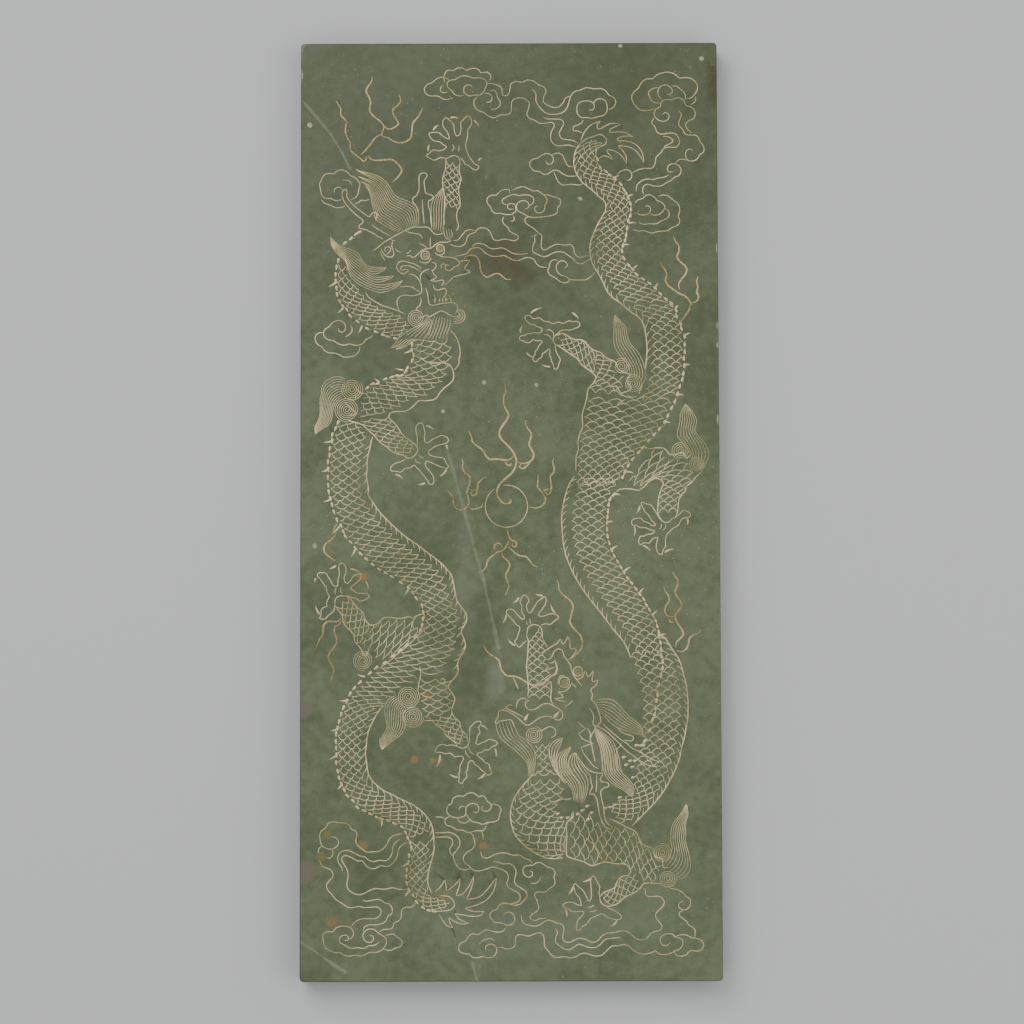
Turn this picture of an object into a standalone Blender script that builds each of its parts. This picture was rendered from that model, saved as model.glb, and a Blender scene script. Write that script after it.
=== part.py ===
"""Jade book cover: a slab of dark green stone with two dragons, a pearl and clouds cut in its face."""
import math

import bmesh
import bpy

# Slab sizes, in metres
SLAB_LENGTH = 0.288
SLAB_WIDTH = 0.1285
SLAB_THICKNESS = 0.009
EDGE_CHAMFER = 0.0004
CORNER_RADIUS = 0.0012
CORNER_SEGMENTS = 3
RIM_SEGMENTS = 1
ROUND_PROFILE = 0.5

# Engraving sizes, in metres
GROOVE_WIDTH = 0.0008
FLAME_GROOVE_WIDTH = 0.0010
TIP_SHARE = 0.25
MERGE_DISTANCE = 0.00002
STROKE_DIGITS = 3

# The drawing is laid out on a face of this size, in drawing units of one millimetre
DRAWN_LENGTH = 288.0
DRAWN_WIDTH = 128.5
BODY_PITCH = 8.5
LINE_PITCH = 4.6
CURL_PITCH = 3.6
CURL_MIN_STEPS = 5
STEPS_PER_TURN = 6
LOBE_MIN_STEPS = 3
FLAME_MIN_STEPS = 4

# Jade and how it looks
JADE_COLOR = (0.135, 0.155, 0.085, 1.0)
JADE_ROUGHNESS = 0.38
JADE_METALLIC = 0.0

# Bodies: rows of middle x, middle y and half width, from the neck towards the tail
LEFT_NECK = ((-47.5, 78.0, 5.2), (-48.4, 70.0, 5.0), (-45.0, 63.0, 5.4), (-39.5, 58.0, 5.0),
             (-34.5, 55.6, 4.2))
LEFT_CHEST = ((-24.0, 50.0, 7.2), (-23.0, 41.5, 6.4), (-31.0, 36.0, 5.8), (-41.0, 33.6, 5.2))
LEFT_TRUNK = ((-49.6, 27.0, 4.6), (-50.2, 18.0, 6.2), (-50.0, 8.0, 6.6), (-46.5, -1.0, 7.0),
              (-38.0, -9.5, 8.4),
              (-28.5, -18.0, 8.2), (-23.0, -27.0, 7.4), (-21.0, -36.0, 7.6), (-26.0, -45.0, 8.6),
              (-37.0, -51.0, 8.4), (-46.5, -60.0, 5.8), (-49.0, -70.0, 4.8), (-49.0, -79.0, 4.7),
              (-45.0, -87.0, 4.7), (-37.0, -91.5, 4.6), (-29.5, -96.5, 4.4), (-27.0, -104.0, 4.0),
              (-27.6, -112.0, 3.6), (-25.6, -118.6, 3.2), (-20.5, -120.2, 2.6))
RIGHT_TRUNK = ((26.6, 112.6, 3.4), (24.2, 107.6, 4.2), (28.0, 101.4, 4.6), (33.2, 95.4, 4.8),
               (32.6, 88.0, 5.2),
               (30.4, 80.0, 5.4), (33.0, 71.6, 6.0), (40.6, 64.6, 5.8), (46.4, 57.0, 6.0), (47.8, 46.0, 6.2),
               (41.0, 34.0, 11.4), (33.6, 24.4, 11.4), (27.4, 13.6, 8.2), (23.4, 2.0, 7.2),
               (24.0, -10.0, 7.2),
               (29.0, -22.0, 7.2), (36.6, -32.0, 6.8), (43.6, -43.0, 6.6), (47.0, -55.0, 7.0),
               (46.6, -68.0, 6.4), (42.6, -81.0, 6.0), (34.0, -91.0, 6.0), (22.0, -97.6, 6.6),
               (10.6, -95.0, 7.2), (5.6, -88.0, 5.2))
BODIES = (LEFT_NECK, LEFT_CHEST, LEFT_TRUNK, RIGHT_TRUNK)

# Legs: rows of middle x, middle y and half width, from the body to the ankle
LEGS = (
    ((-17.8, 86.5, 2.2), (-17.5, 97.0, 2.4), (-17.4, 107.0, 2.1)),
    ((-44.5, 29.0, 4.4), (-38.0, 23.5, 3.6), (-31.0, 18.6, 2.8)),
    ((-36.5, -40.0, 5.0), (-45.0, -36.0, 2.8), (-52.0, -28.6, 2.0)),
    ((-24.0, -62.0, 3.8), (-19.5, -67.0, 2.8), (-14.6, -71.6, 2.2)),
    ((33.0, 41.0, 5.0), (24.0, 48.0, 3.4), (15.6, 51.6, 2.0)),
    ((45.0, 14.6, 5.2), (49.6, 7.0, 3.2), (47.6, -1.4, 2.2)),
    ((8.4, -57.0, 2.8), (7.8, -46.0, 2.4), (7.4, -36.4, 2.1)),
    ((37.0, -107.6, 4.6), (33.6, -112.6, 2.8), (29.0, -118.0, 2.0)),
)
# A toe's outline: along its reach and across its half width, both as shares
TOE_HALF_WIDTH = 1.7
TOE_PROFILE = ((0.42, -1.0), (0.75, -0.8), (1.0, -0.45), (1.04, 0.3), (0.8, 0.85), (0.42, 0.9))

# Paws: middle x, middle y, reach and the headings of the toes in degrees
PAWS = (
    (-17.0, 111.6, 8.2, (100, 68, 140, 178, 325)),
    (-26.0, 17.0, 9.0, (105, 25, 325, 285, 200)),
    (-53.8, -24.6, 8.0, (85, 130, 30, 350, 245)),
    (-11.8, -74.0, 8.4, (85, 20, 330, 255, 180)),
    (10.6, 54.0, 8.2, (140, 175, 218, 275, 40)),
    (45.6, -5.6, 8.0, (170, 205, 262, 330, 35)),
    (6.6, -32.0, 8.2, (175, 110, 65, 10, 225)),
    (24.0, -121.0, 8.2, (75, 120, 160, 240, 345)),
)
# Clouds: the cusps between their lobes, in order round the cloud
LOBE_RISE = 0.30
CLOUDS = (
    ((-6.1, 132.1), (-8.6, 134.7), (-13.1, 135.5), (-17.1, 135.4), (-20.0, 133.6), (-25.6, 131.0),
     (-24.5, 127.6),
     (-17.3, 126.9)),
    ((45.1, 123.4), (38.0, 126.6), (40.0, 129.8), (44.3, 132.7), (52.7, 132.9), (58.2, 129.6), (54.8, 126.5)),
    ((45.2, 121.4), (45.4, 124.6), (48.2, 126.2), (53.9, 126.0), (57.5, 121.8), (55.5, 119.4)),
    ((18.8, 126.0), (22.0, 129.2), (28.5, 129.7), (32.6, 126.0), (30.9, 123.1)),
    ((-50.6, 93.3), (-57.8, 96.6), (-57.4, 102.2), (-54.0, 103.4), (-48.8, 102.7), (-46.3, 98.4),
     (-48.8, 95.2)),
    ((2.0, 90.4), (-5.8, 93.0), (-3.9, 96.6), (0.4, 98.0), (7.3, 97.8), (13.3, 96.1), (14.8, 92.6),
     (5.8, 89.9)),
    ((38.7, 94.0), (41.1, 95.4), (45.6, 94.8), (51.8, 94.0), (52.0, 89.6), (48.9, 85.5), (41.4, 85.5)),
    ((-50.4, 52.7), (-50.6, 56.8), (-56.6, 55.2), (-59.2, 50.5), (-52.4, 47.3), (-46.6, 47.8), (-46.4, 50.0)),
    ((-18.7, -93.8), (-18.0, -90.1), (-14.4, -88.0), (-9.8, -88.2), (-6.0, -90.5), (-3.5, -93.4),
     (-7.6, -96.6),
     (-13.3, -95.8)),
    ((-45.0, -104.6), (-47.2, -98.6), (-50.4, -96.0), (-55.7, -96.2), (-58.0, -101.2), (-54.8, -103.9)),
    ((-47.8, -129.2), (-54.2, -128.8), (-56.9, -132.5), (-50.8, -135.9), (-44.4, -135.8), (-38.7, -134.1),
     (-33.4, -131.6), (-38.2, -130.0)),
    ((-2.6, -128.8), (-8.9, -129.0), (-15.2, -132.3), (-14.4, -135.5), (-8.7, -136.4), (-4.4, -134.2)),
    ((43.7, -134.8), (49.5, -134.9), (54.2, -134.9), (58.0, -132.6), (54.8, -131.0), (49.8, -130.8),
     (45.8, -130.3)),
    ((3.6, -110.8), (6.6, -108.6), (12.7, -110.0), (13.2, -114.4), (8.9, -117.0)),
)
# Curls: middle x, middle y, inner and outer radius, first heading in degrees and turns
CURLS = (
    (-12.4, 129.6, 0.8, 2.4, 20, 1.0), (48.2, 129.0, 0.9, 2.4, 200, -1.0), (47.8, 121.4, 0.8, 2.0, 170, -0.9),
    (25.0, 124.0, 0.9, 3.4, 200, 1.1), (-52.4, 98.6, 1.0, 1.4, 0, 0.6), (0.4, 92.8, 0.8, 2.0, 20, 1.0),
    (4.4, 93.2, 0.9, 2.2, 300, -0.9), (42.6, 91.8, 0.9, 2.0, 200, -0.9), (-51.8, 55.6, 0.9, 2.2, 180, 0.9),
    (16.2, 73.8, 0.9, 3.4, 0, 1.1), (51.0, 104.2, 0.9, 2.4, 240, -1.0), (56.4, 109.4, 0.9, 2.2, 40, 1.0),
    (-11.0, -92.0, 0.9, 2.4, 250, 1.0), (-50.0, -131.0, 0.8, 2.4, 200, -1.0),
    (-43.0, -130.6, 0.8, 2.2, 320, 1.0),
    (-7.0, -134.2, 0.7, 2.4, 180, -1.0), (47.4, -132.0, 0.9, 2.2, 0, 1.0), (52.4, -121.2, 0.8, 2.2, 200, 1.0),
    (5.4, -111.0, 0.8, 2.2, 60, -1.0), (-55.0, -102.0, 0.9, 2.4, 60, -1.0),
)
# Trails: cloud ribbons that wander between these points
TRAILS = (
    ((-6.0, 131.2), (-3.6, 130.8), (-1.4, 127.7), (0.6, 131.4), (5.6, 132.4), (11.5, 128.8),
     (10.9, 125.4), (14.4, 123.8),
     (18.0, 127.2)),
    ((-9.9, 126.6), (-9.8, 122.9), (-4.7, 120.7), (0.3, 122.2), (2.2, 126.8), (6.0, 125.0), (6.4, 120.4),
     (13.3, 119.2),
     (13.2, 112.9), (20.0, 111.6)),
    ((53.2, 121.4), (52.6, 118.0), (55.5, 115.1), (60.0, 110.9), (56.1, 107.2)),
    ((52.4, 102.2), (49.2, 100.8), (45.6, 99.2), (41.2, 97.6)),
    ((1.0, 89.8), (-1.6, 87.8), (2.4, 83.4), (-4.9, 82.8), (-9.0, 86.2), (-13.4, 82.4), (-18.0, 81.3)),
    ((5.4, 89.2), (9.6, 84.8), (10.3, 79.6), (15.8, 81.3), (20.2, 78.2), (23.6, 77.6)),
    ((-32.8, -99.0), (-38.6, -103.8), (-46.1, -105.9), (-52.4, -106.4), (-55.6, -113.8), (-54.0, -118.6),
     (-46.3, -121.2),
     (-39.7, -122.6), (-47.4, -126.6)),
    ((-31.7, -102.0), (-36.1, -108.4), (-43.1, -109.6), (-49.7, -110.5), (-48.0, -117.2), (-41.0, -115.8),
     (-32.2, -116.0)),
    ((-29.2, -120.3), (-33.4, -123.4), (-36.4, -127.8), (-40.1, -129.0)),
    ((-22.4, -99.0), (-16.6, -99.9), (-17.6, -106.6), (-12.6, -110.3), (-4.0, -109.7), (-1.0, -114.2),
     (2.4, -118.8),
     (-3.6, -120.9), (-6.2, -124.6), (0.4, -126.4)),
    ((-8.6, -99.6), (-8.6, -106.4), (-2.2, -105.1), (5.6, -107.3)),
    ((8.2, -118.6), (8.2, -121.6), (5.9, -124.8), (11.4, -125.5), (16.0, -128.4), (17.4, -132.2),
     (25.4, -132.0),
     (31.6, -129.3), (39.6, -131.6), (45.6, -127.6), (46.2, -120.0), (40.4, -116.4)),
    ((-3.4, -133.6), (1.2, -132.2), (5.2, -130.3), (10.0, -131.6), (13.4, -136.7), (22.6, -135.5),
     (32.6, -133.3),
     (42.4, -135.4)),
    ((48.8, -116.1), (54.2, -120.4), (51.6, -124.2), (55.8, -129.6)),
)
# Flames: root, tip, sway of the tongue and its waves
FLAMES = (
    ((-34.6, 101.6), (-44.6, 108.6), 2.4, 0.5), ((-45.4, 109.4), (-53.2, 125.6), 0.9, 2.0),
    ((-44.4, 110.6), (-39.6, 115.2), 0.4, 0.5), ((-39.0, 117.2), (-42.8, 133.2), 0.9, 2.0),
    ((-37.6, 117.6), (-34.0, 128.0), 1.2, 1.5), ((-38.2, 114.8), (-26.6, 124.0), 2.2, 0.5),
    ((55.4, 62.0), (47.0, 75.6), 0.8, 1.5), ((52.8, 67.6), (50.8, 83.2), 1.0, 1.0),
    ((56.6, 63.4), (58.0, 71.0), 0.5, 1.0), ((0.8, 18.6), (-1.8, 39.0), 1.6, 1.5),
    ((0.2, 15.2), (-12.4, 23.4), 0.8, 1.0), ((3.6, 13.6), (4.9, 26.6), 1.6, 1.0),
    ((-13.0, 1.4), (-14.8, 15.0), 0.7, 1.5), ((-12.2, 5.8), (-7.6, 9.4), 0.4, 1.0),
    ((-14.2, -0.4), (-19.0, 5.4), 0.9, 0.5), ((6.4, 0.2), (8.6, 10.2), -2.0, 0.5),
    ((12.2, 5.8), (13.4, 15.0), 0.6, 1.0), ((0.6, -13.0), (8.2, -18.0), 0.5, 1.0),
    ((-3.2, -13.6), (-9.4, -19.8), 0.6, 1.0), ((-2.2, -14.6), (-1.5, -26.8), 0.9, 1.0),
    ((-54.0, -8.8), (-53.8, -16.0), -2.0, 0.5), ((-53.0, -34.6), (-59.4, -42.8), 0.8, 1.0),
    ((-53.8, -36.6), (-54.8, -52.6), 1.0, 1.0), ((50.8, -34.6), (49.8, -20.2), 0.9, 1.5),
    ((48.8, -34.0), (47.0, -24.4), 0.7, 1.0), ((51.2, -43.8), (58.2, -37.4), -0.8, 0.5),
    ((51.0, -41.6), (51.2, -36.0), 0.9, 0.5), ((18.6, -46.0), (14.4, -22.4), -1.6, 1.0),
    ((12.6, -51.6), (-8.0, -42.4), 3.0, 0.5),
)
# Heads: brow, snout, jaw, horn and whisker lines, each a smooth line through its points
HEADS = (
    ((-38.5, 82.0), (-34.0, 85.6), (-28.6, 86.4), (-23.0, 83.8), (-20.2, 84.6)),
    ((-15.4, 78.0), (-12.0, 77.2), (-14.0, 75.4), (-12.2, 73.0), (-17.6, 71.4), (-19.6, 69.2)),
    ((-17.0, 82.4), (-13.0, 81.0), (-8.6, 81.6), (-3.0, 79.8), (2.6, 77.8), (6.8, 77.0), (10.6, 74.2)),
    ((-30.6, 75.6), (-27.2, 73.6), (-27.4, 66.4), (-33.6, 65.4), (-33.8, 61.0)),
    ((-25.4, 65.8), (-24.6, 62.8), (-17.0, 62.8), (-15.2, 58.4), (-17.6, 57.0)),
    ((-39.4, 86.2), (-44.6, 90.2), (-49.8, 96.4), (-51.8, 97.4), (-50.8, 93.6), (-46.6, 88.6)),
    ((-29.2, 87.4), (-28.8, 95.2), (-28.0, 101.4), (-25.6, 102.4), (-26.6, 96.6), (-24.8, 88.4)),
    ((-48.0, 105.0), (-40.0, 100.6), (-35.0, 95.0), (-31.0, 90.0), (-30.6, 87.6)),
    ((-47.4, 104.0), (-44.6, 96.6), (-39.6, 90.2), (-36.8, 87.2)),
    ((-55.8, 83.6), (-50.0, 76.0), (-45.6, 71.0), (-38.0, 68.0), (-33.8, 69.8), (-40.0, 73.0),
     (-45.0, 79.0), (-51.0, 82.0),
     (-54.6, 83.8)),
    ((-29.6, 60.4), (-26.0, 60.8), (-21.0, 60.4), (-19.6, 57.0), (-23.6, 49.8), (-30.6, 51.4),
     (-35.2, 49.6), (-31.0, 56.6),
     (-29.8, 59.2)),
    ((14.0, -42.8), (16.6, -43.4), (19.0, -48.0), (24.4, -49.2), (25.4, -53.0), (25.4, -58.4)),
    ((9.4, -60.4), (14.0, -62.8), (14.8, -65.4), (9.6, -65.0), (4.6, -66.4), (0.4, -62.4), (-3.4, -62.0),
     (-3.8, -64.8)),
    ((-3.4, -65.4), (0.6, -64.8), (3.0, -70.0), (7.0, -72.6), (6.8, -79.0)),
    ((-3.2, -66.8), (1.6, -73.4), (5.2, -79.6)),
    ((13.0, -70.2), (12.6, -74.6), (18.0, -73.4), (20.6, -78.0), (26.0, -80.6)),
    ((26.2, -58.8), (31.4, -60.0), (36.4, -64.4), (39.4, -66.8), (36.0, -69.6), (30.6, -66.8), (26.8, -61.6)),
    ((26.0, -68.0), (27.4, -75.0), (29.0, -81.6), (35.0, -88.6), (38.4, -82.6), (33.6, -76.6),
     (31.6, -70.0), (27.4, -66.8)),
    ((33.4, -70.0), (40.0, -75.0), (46.6, -79.8), (41.6, -78.6), (34.0, -73.0)),
)
# Rosettes of hair at the joints: middle x, middle y and radius
ROSETTES = (
    (-28.8, 58.6, 1.8), (-15.6, 59.6, 2.0), (-48.8, 36.8, 3.2), (-50.4, 30.8, 3.2), (-45.0, -45.2, 3.2),
    (-31.6, -56.2, 3.4), (-29.4, -62.6, 3.4), (34.6, 43.6, 3.0), (38.0, 37.8, 3.2), (52.2, 18.0, 2.6),
    (57.6, 12.6, 2.4), (46.0, -105.2, 3.4), (47.6, -112.6, 2.8), (7.2, -69.4, 1.8),
)
# Manes of hair at the joints: the two sides from the rosettes to the tip
MANES = (
    ((-46.2, 40.4), (-53.0, 40.6), (-57.4, 36.0), (-58.0, 30.6), (-60.0, 23.6)),
    ((-55.4, 32.0), (-56.8, 27.4), (-59.6, 23.8)),
    ((-35.4, -55.0), (-37.8, -60.6), (-38.0, -65.6), (-40.0, -73.6)),
    ((-32.4, -65.6), (-35.4, -69.6), (-39.6, -73.4)),
    ((32.0, 47.0), (32.4, 53.0), (32.6, 61.0)),
    ((41.4, 39.6), (41.0, 46.0), (37.6, 52.0), (33.2, 60.6)),
    ((50.8, 21.0), (53.2, 26.0), (54.0, 32.2)),
    ((60.2, 14.0), (59.6, 20.0), (56.8, 26.0), (54.6, 32.0)),
    ((48.6, -102.0), (49.2, -97.0), (53.6, -90.6)),
    ((50.6, -113.6), (54.6, -108.0), (53.2, -101.0), (54.0, -91.0)),
)
# Tail fins: the root and the tips of the spikes, in order round the fan
FIN_NOTCH = 0.52
FINS = (
    ((28.0, 113.0), ((28.2, 119.4), (34.4, 118.6), (38.2, 114.8), (41.4, 107.0), (36.0, 106.4),
                     (31.6, 107.6))),
    ((-21.0, -118.6), ((-19.6, -113.0), (-15.6, -112.0), (-11.4, -111.6), (-4.8, -113.4), (-8.4, -122.4),
                       (-13.2, -126.4),
                       (-18.2, -127.6))),
)
# Pearl: middle, radius and the arc's first heading and turn in degrees
PEARL_X = -1.1
PEARL_Y = 0.5
PEARL_RADIUS = 6.5
PEARL_START = 118.0
PEARL_TURN = -338.0
SPIRAL_RISE = 1.4
SPIRAL_CORE = 1.0
SPIRAL_SHARE = 0.6
SPIRAL_START = 60.0
SPIRAL_TURNS = 1.1
EYE_RADIUS = 1.3
EYE_START = 20.0
EYE_TURNS = 0.9
EYES = ((-26.2, 77.6), (-21.4, 80.2), (16.6, -53.4), (20.6, -50.2))

# Whorls of the rosettes
ROSETTE_TURNS = 1.3
ROSETTE_CORE = 0.7


def smooth_line(points, pitch=LINE_PITCH):
    """Points about a pitch apart on a smooth line through the guide points."""
    ends = [tuple(2 * a - b for a, b in zip(points[0], points[1]))]
    ends += list(points)
    ends.append(tuple(2 * a - b for a, b in zip(points[-1], points[-2])))
    line = []
    for before, start, stop, after in zip(ends, ends[1:], ends[2:], ends[3:]):
        count = max(1, round(math.dist(start[:2], stop[:2]) / pitch))
        for step in range(count):
            t = step / count
            line.append(tuple(
                0.5 * (2 * p1 + (p2 - p0) * t + (2 * p0 - 5 * p1 + 4 * p2 - p3) * t * t
                       + (3 * p1 - p0 - 3 * p2 + p3) * t ** 3)
                for p0, p1, p2, p3 in zip(before, start, stop, after)))
    line.append(tuple(points[-1]))
    return line


def edges(rows, pitch=BODY_PITCH):
    """The two edges of a band whose rows give its middle and half width."""
    middle = smooth_line(rows, pitch)
    left, right = [], []
    for index, (x, y, half) in enumerate(middle):
        before = middle[max(index - 1, 0)]
        after = middle[min(index + 1, len(middle) - 1)]
        dx, dy = after[0] - before[0], after[1] - before[1]
        length = math.hypot(dx, dy)
        left.append((x - dy / length * half, y + dx / length * half))
        right.append((x + dy / length * half, y - dx / length * half))
    return left, right


def curl(x, y, inner, outer, start, turns):
    """A spiral from the inner to the outer radius."""
    length = abs(turns) * math.pi * (inner + outer)
    count = max(CURL_MIN_STEPS, round(length / CURL_PITCH), round(abs(turns) * STEPS_PER_TURN))
    line = []
    for step in range(count + 1):
        t = step / count
        radius = inner + (outer - inner) * t
        angle = math.radians(start) + t * turns * math.tau
        line.append((x + radius * math.cos(angle), y + radius * math.sin(angle)))
    return line


def cloud(cusps):
    """Scalloped outline: one bulging arc between each two cusps, away from the middle."""
    middle_x = sum(x for x, _ in cusps) / len(cusps)
    middle_y = sum(y for _, y in cusps) / len(cusps)
    line = []
    for (x0, y0), (x1, y1) in zip(cusps, cusps[1:]):
        dx, dy = x1 - x0, y1 - y0
        side = 1.0 if (-dy) * ((x0 + x1) / 2 - middle_x) + dx * ((y0 + y1) / 2 - middle_y) > 0 else -1.0
        steps = max(LOBE_MIN_STEPS, round(math.hypot(dx, dy) / CURL_PITCH))
        for step in range(steps):
            t = step / steps
            rise = side * LOBE_RISE * math.sin(math.pi * t)
            line.append((x0 + dx * t - dy * rise, y0 + dy * t + dx * rise))
    line.append(cusps[-1])
    return line


def flame(root, tip, sway, waves):
    """A tongue that sways from its root to its tip."""
    dx, dy = tip[0] - root[0], tip[1] - root[1]
    length = math.hypot(dx, dy)
    count = max(FLAME_MIN_STEPS, round(length / CURL_PITCH))
    line = []
    for step in range(count + 1):
        t = step / count
        offset = sway * math.sin(math.tau * waves * t)
        line.append((root[0] + dx * t - dy / length * offset, root[1] + dy * t + dx / length * offset))
    return line


def toe(x, y, reach, heading):
    """One toe: a narrow loop that starts and ends at the paw."""
    ux, uy = math.cos(math.radians(heading)), math.sin(math.radians(heading))
    return [(x + ux * reach * along - uy * TOE_HALF_WIDTH * across,
             y + uy * reach * along + ux * TOE_HALF_WIDTH * across) for along, across in TOE_PROFILE]


def fin(root, tips):
    """Spikes of a tail fin, with a notch between each two tips."""
    line = []
    for index, tip in enumerate(tips):
        line.append(tip)
        if index + 1 < len(tips):
            after = tips[index + 1]
            line.append(tuple(r + ((a + b) / 2 - r) * FIN_NOTCH for r, a, b in zip(root, tip, after)))
    return line


def drawing():
    """All the strokes in drawing units, each with its width."""
    strokes = []
    for rows in BODIES + LEGS:
        strokes += [(line, GROOVE_WIDTH) for line in edges(rows)]
    for x, y, reach, headings in PAWS:
        strokes += [(toe(x, y, reach, heading), GROOVE_WIDTH) for heading in headings]
    strokes += [(cloud(cusps), GROOVE_WIDTH) for cusps in CLOUDS]
    strokes += [(curl(*row), GROOVE_WIDTH) for row in CURLS]
    strokes += [(smooth_line(points), GROOVE_WIDTH) for points in TRAILS + HEADS + MANES]
    strokes += [(flame(*row), FLAME_GROOVE_WIDTH) for row in FLAMES]
    for x, y, radius in ROSETTES:
        strokes.append((curl(x, y, ROSETTE_CORE, radius, 0, ROSETTE_TURNS), GROOVE_WIDTH))
    strokes += [(fin(root, tips), GROOVE_WIDTH) for root, tips in FINS]
    strokes += [(curl(x, y, EYE_RADIUS, EYE_RADIUS, EYE_START, EYE_TURNS), GROOVE_WIDTH) for x, y in EYES]
    pearl = curl(PEARL_X, PEARL_Y, PEARL_RADIUS, PEARL_RADIUS, PEARL_START, PEARL_TURN / 360)
    reach = PEARL_RADIUS * SPIRAL_SHARE
    spiral = curl(PEARL_X, PEARL_Y + SPIRAL_RISE, SPIRAL_CORE, reach, SPIRAL_START, SPIRAL_TURNS)
    strokes += [(pearl, GROOVE_WIDTH), (spiral, GROOVE_WIDTH)]
    return strokes


def clear_scene():
    """Remove what the scene holds."""
    for item in list(bpy.data.objects):
        bpy.data.objects.remove(item, do_unlink=True)


def new_collection(name):
    """A collection of its own under the scene."""
    collection = bpy.data.collections.new(name)
    bpy.context.scene.collection.children.link(collection)
    return collection


def jade_material():
    """Dark green stone with a soft polish."""
    material = bpy.data.materials.new("jade")
    material.use_nodes = True
    shader = material.node_tree.nodes["Principled BSDF"]
    shader.inputs["Base Color"].default_value = JADE_COLOR
    shader.inputs["Roughness"].default_value = JADE_ROUGHNESS
    shader.inputs["Metallic"].default_value = JADE_METALLIC
    material.diffuse_color = JADE_COLOR
    return material


def rise(edge):
    """How much an edge climbs from one end to the other."""
    return abs(edge.verts[0].co.z - edge.verts[1].co.z)


def make_slab(collection):
    """The slab: a cuboid with rounded corners and chamfered rims, its underside on the ground."""
    mesh = bpy.data.meshes.new("jade_cover_slab")
    form = bmesh.new()
    bmesh.ops.create_cube(form, size=1.0)
    bmesh.ops.scale(form, vec=(SLAB_WIDTH, SLAB_LENGTH, SLAB_THICKNESS), verts=form.verts)
    upright = [edge for edge in form.edges if rise(edge) > SLAB_THICKNESS / 2]
    bmesh.ops.bevel(form, geom=upright, offset=CORNER_RADIUS, segments=CORNER_SEGMENTS, affect="EDGES",
                    profile=ROUND_PROFILE)
    rims = [edge for edge in form.edges if rise(edge) < SLAB_THICKNESS / 2]
    bmesh.ops.bevel(form, geom=rims, offset=EDGE_CHAMFER, segments=RIM_SEGMENTS, affect="EDGES",
                    profile=ROUND_PROFILE)
    bmesh.ops.translate(form, vec=(0.0, 0.0, SLAB_THICKNESS / 2), verts=form.verts)
    form.to_mesh(mesh)
    form.free()
    slab = bpy.data.objects.new("jade_cover_slab", mesh)
    slab.data.materials.append(jade_material())
    collection.objects.link(slab)
    return slab


def make_cutter(name, line, width, collection):
    """A slender bar along a stroke; its lower half is the V of the groove."""
    curve = bpy.data.curves.new(name, "CURVE")
    curve.dimensions = "3D"
    curve.twist_mode = "Z_UP"
    curve.bevel_depth = width / 2
    curve.bevel_resolution = 0
    curve.use_fill_caps = True
    spline = curve.splines.new("POLY")
    spline.points.add(len(line) - 1)
    for index, (point, (x, y)) in enumerate(zip(spline.points, line)):
        point.co = (x * SLAB_WIDTH / DRAWN_WIDTH, y * SLAB_LENGTH / DRAWN_LENGTH, SLAB_THICKNESS, 1.0)
        point.radius = TIP_SHARE if index in (0, len(line) - 1) else 1.0
    guide = bpy.data.objects.new(name + "_guide", curve)
    collection.objects.link(guide)
    evaluated = guide.evaluated_get(bpy.context.evaluated_depsgraph_get())
    mesh = bpy.data.meshes.new_from_object(evaluated)
    form = bmesh.new()
    form.from_mesh(mesh)
    bmesh.ops.remove_doubles(form, verts=form.verts, dist=MERGE_DISTANCE)
    bmesh.ops.recalc_face_normals(form, faces=form.faces)
    form.to_mesh(mesh)
    form.free()
    bpy.data.objects.remove(guide, do_unlink=True)
    cutter = bpy.data.objects.new(name, mesh)
    cutter.hide_render = True
    cutter.display_type = "WIRE"
    collection.objects.link(cutter)
    return cutter


def main():
    """Build the slab and cut the drawing into its face."""
    clear_scene()
    parts = new_collection("jade_book_cover")
    cutters = new_collection("cutters")
    slab = make_slab(parts)
    for index, (line, width) in enumerate(drawing()):
        make_cutter("stroke_" + str(index).zfill(STROKE_DIGITS), line, width, cutters)
    engraving = slab.modifiers.new("engraving", "BOOLEAN")
    engraving.operation = "DIFFERENCE"
    engraving.operand_type = "COLLECTION"
    engraving.collection = cutters
    engraving.solver = "EXACT"


main()
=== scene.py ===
"""Looks of a gilded, engraved jade book cover: fine slab, gold fill, jade, floor, lights and camera."""
import logging
import math
from dataclasses import dataclass, field
from enum import Enum
from typing import Optional, Sequence

import bpy
import numpy as np
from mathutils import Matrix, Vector, kdtree, noise
from mathutils.geometry import delaunay_2d_cdt


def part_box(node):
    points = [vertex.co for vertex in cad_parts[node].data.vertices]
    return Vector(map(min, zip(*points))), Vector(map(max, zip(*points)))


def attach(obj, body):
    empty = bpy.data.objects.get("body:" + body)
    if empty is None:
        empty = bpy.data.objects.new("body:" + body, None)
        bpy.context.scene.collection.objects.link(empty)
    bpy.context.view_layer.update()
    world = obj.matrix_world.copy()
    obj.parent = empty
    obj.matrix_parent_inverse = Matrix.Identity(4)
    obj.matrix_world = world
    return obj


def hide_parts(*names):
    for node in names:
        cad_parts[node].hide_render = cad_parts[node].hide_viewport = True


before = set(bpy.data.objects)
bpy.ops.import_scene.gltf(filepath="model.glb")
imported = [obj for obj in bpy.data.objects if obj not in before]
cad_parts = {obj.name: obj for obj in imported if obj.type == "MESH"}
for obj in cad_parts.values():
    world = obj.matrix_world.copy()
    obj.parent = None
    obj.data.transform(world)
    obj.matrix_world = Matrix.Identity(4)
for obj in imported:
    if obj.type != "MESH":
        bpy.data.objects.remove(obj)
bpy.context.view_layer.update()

LOG = logging.getLogger("jade_cover")
NODE = "jade_cover_slab"
MM = 0.001

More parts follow.
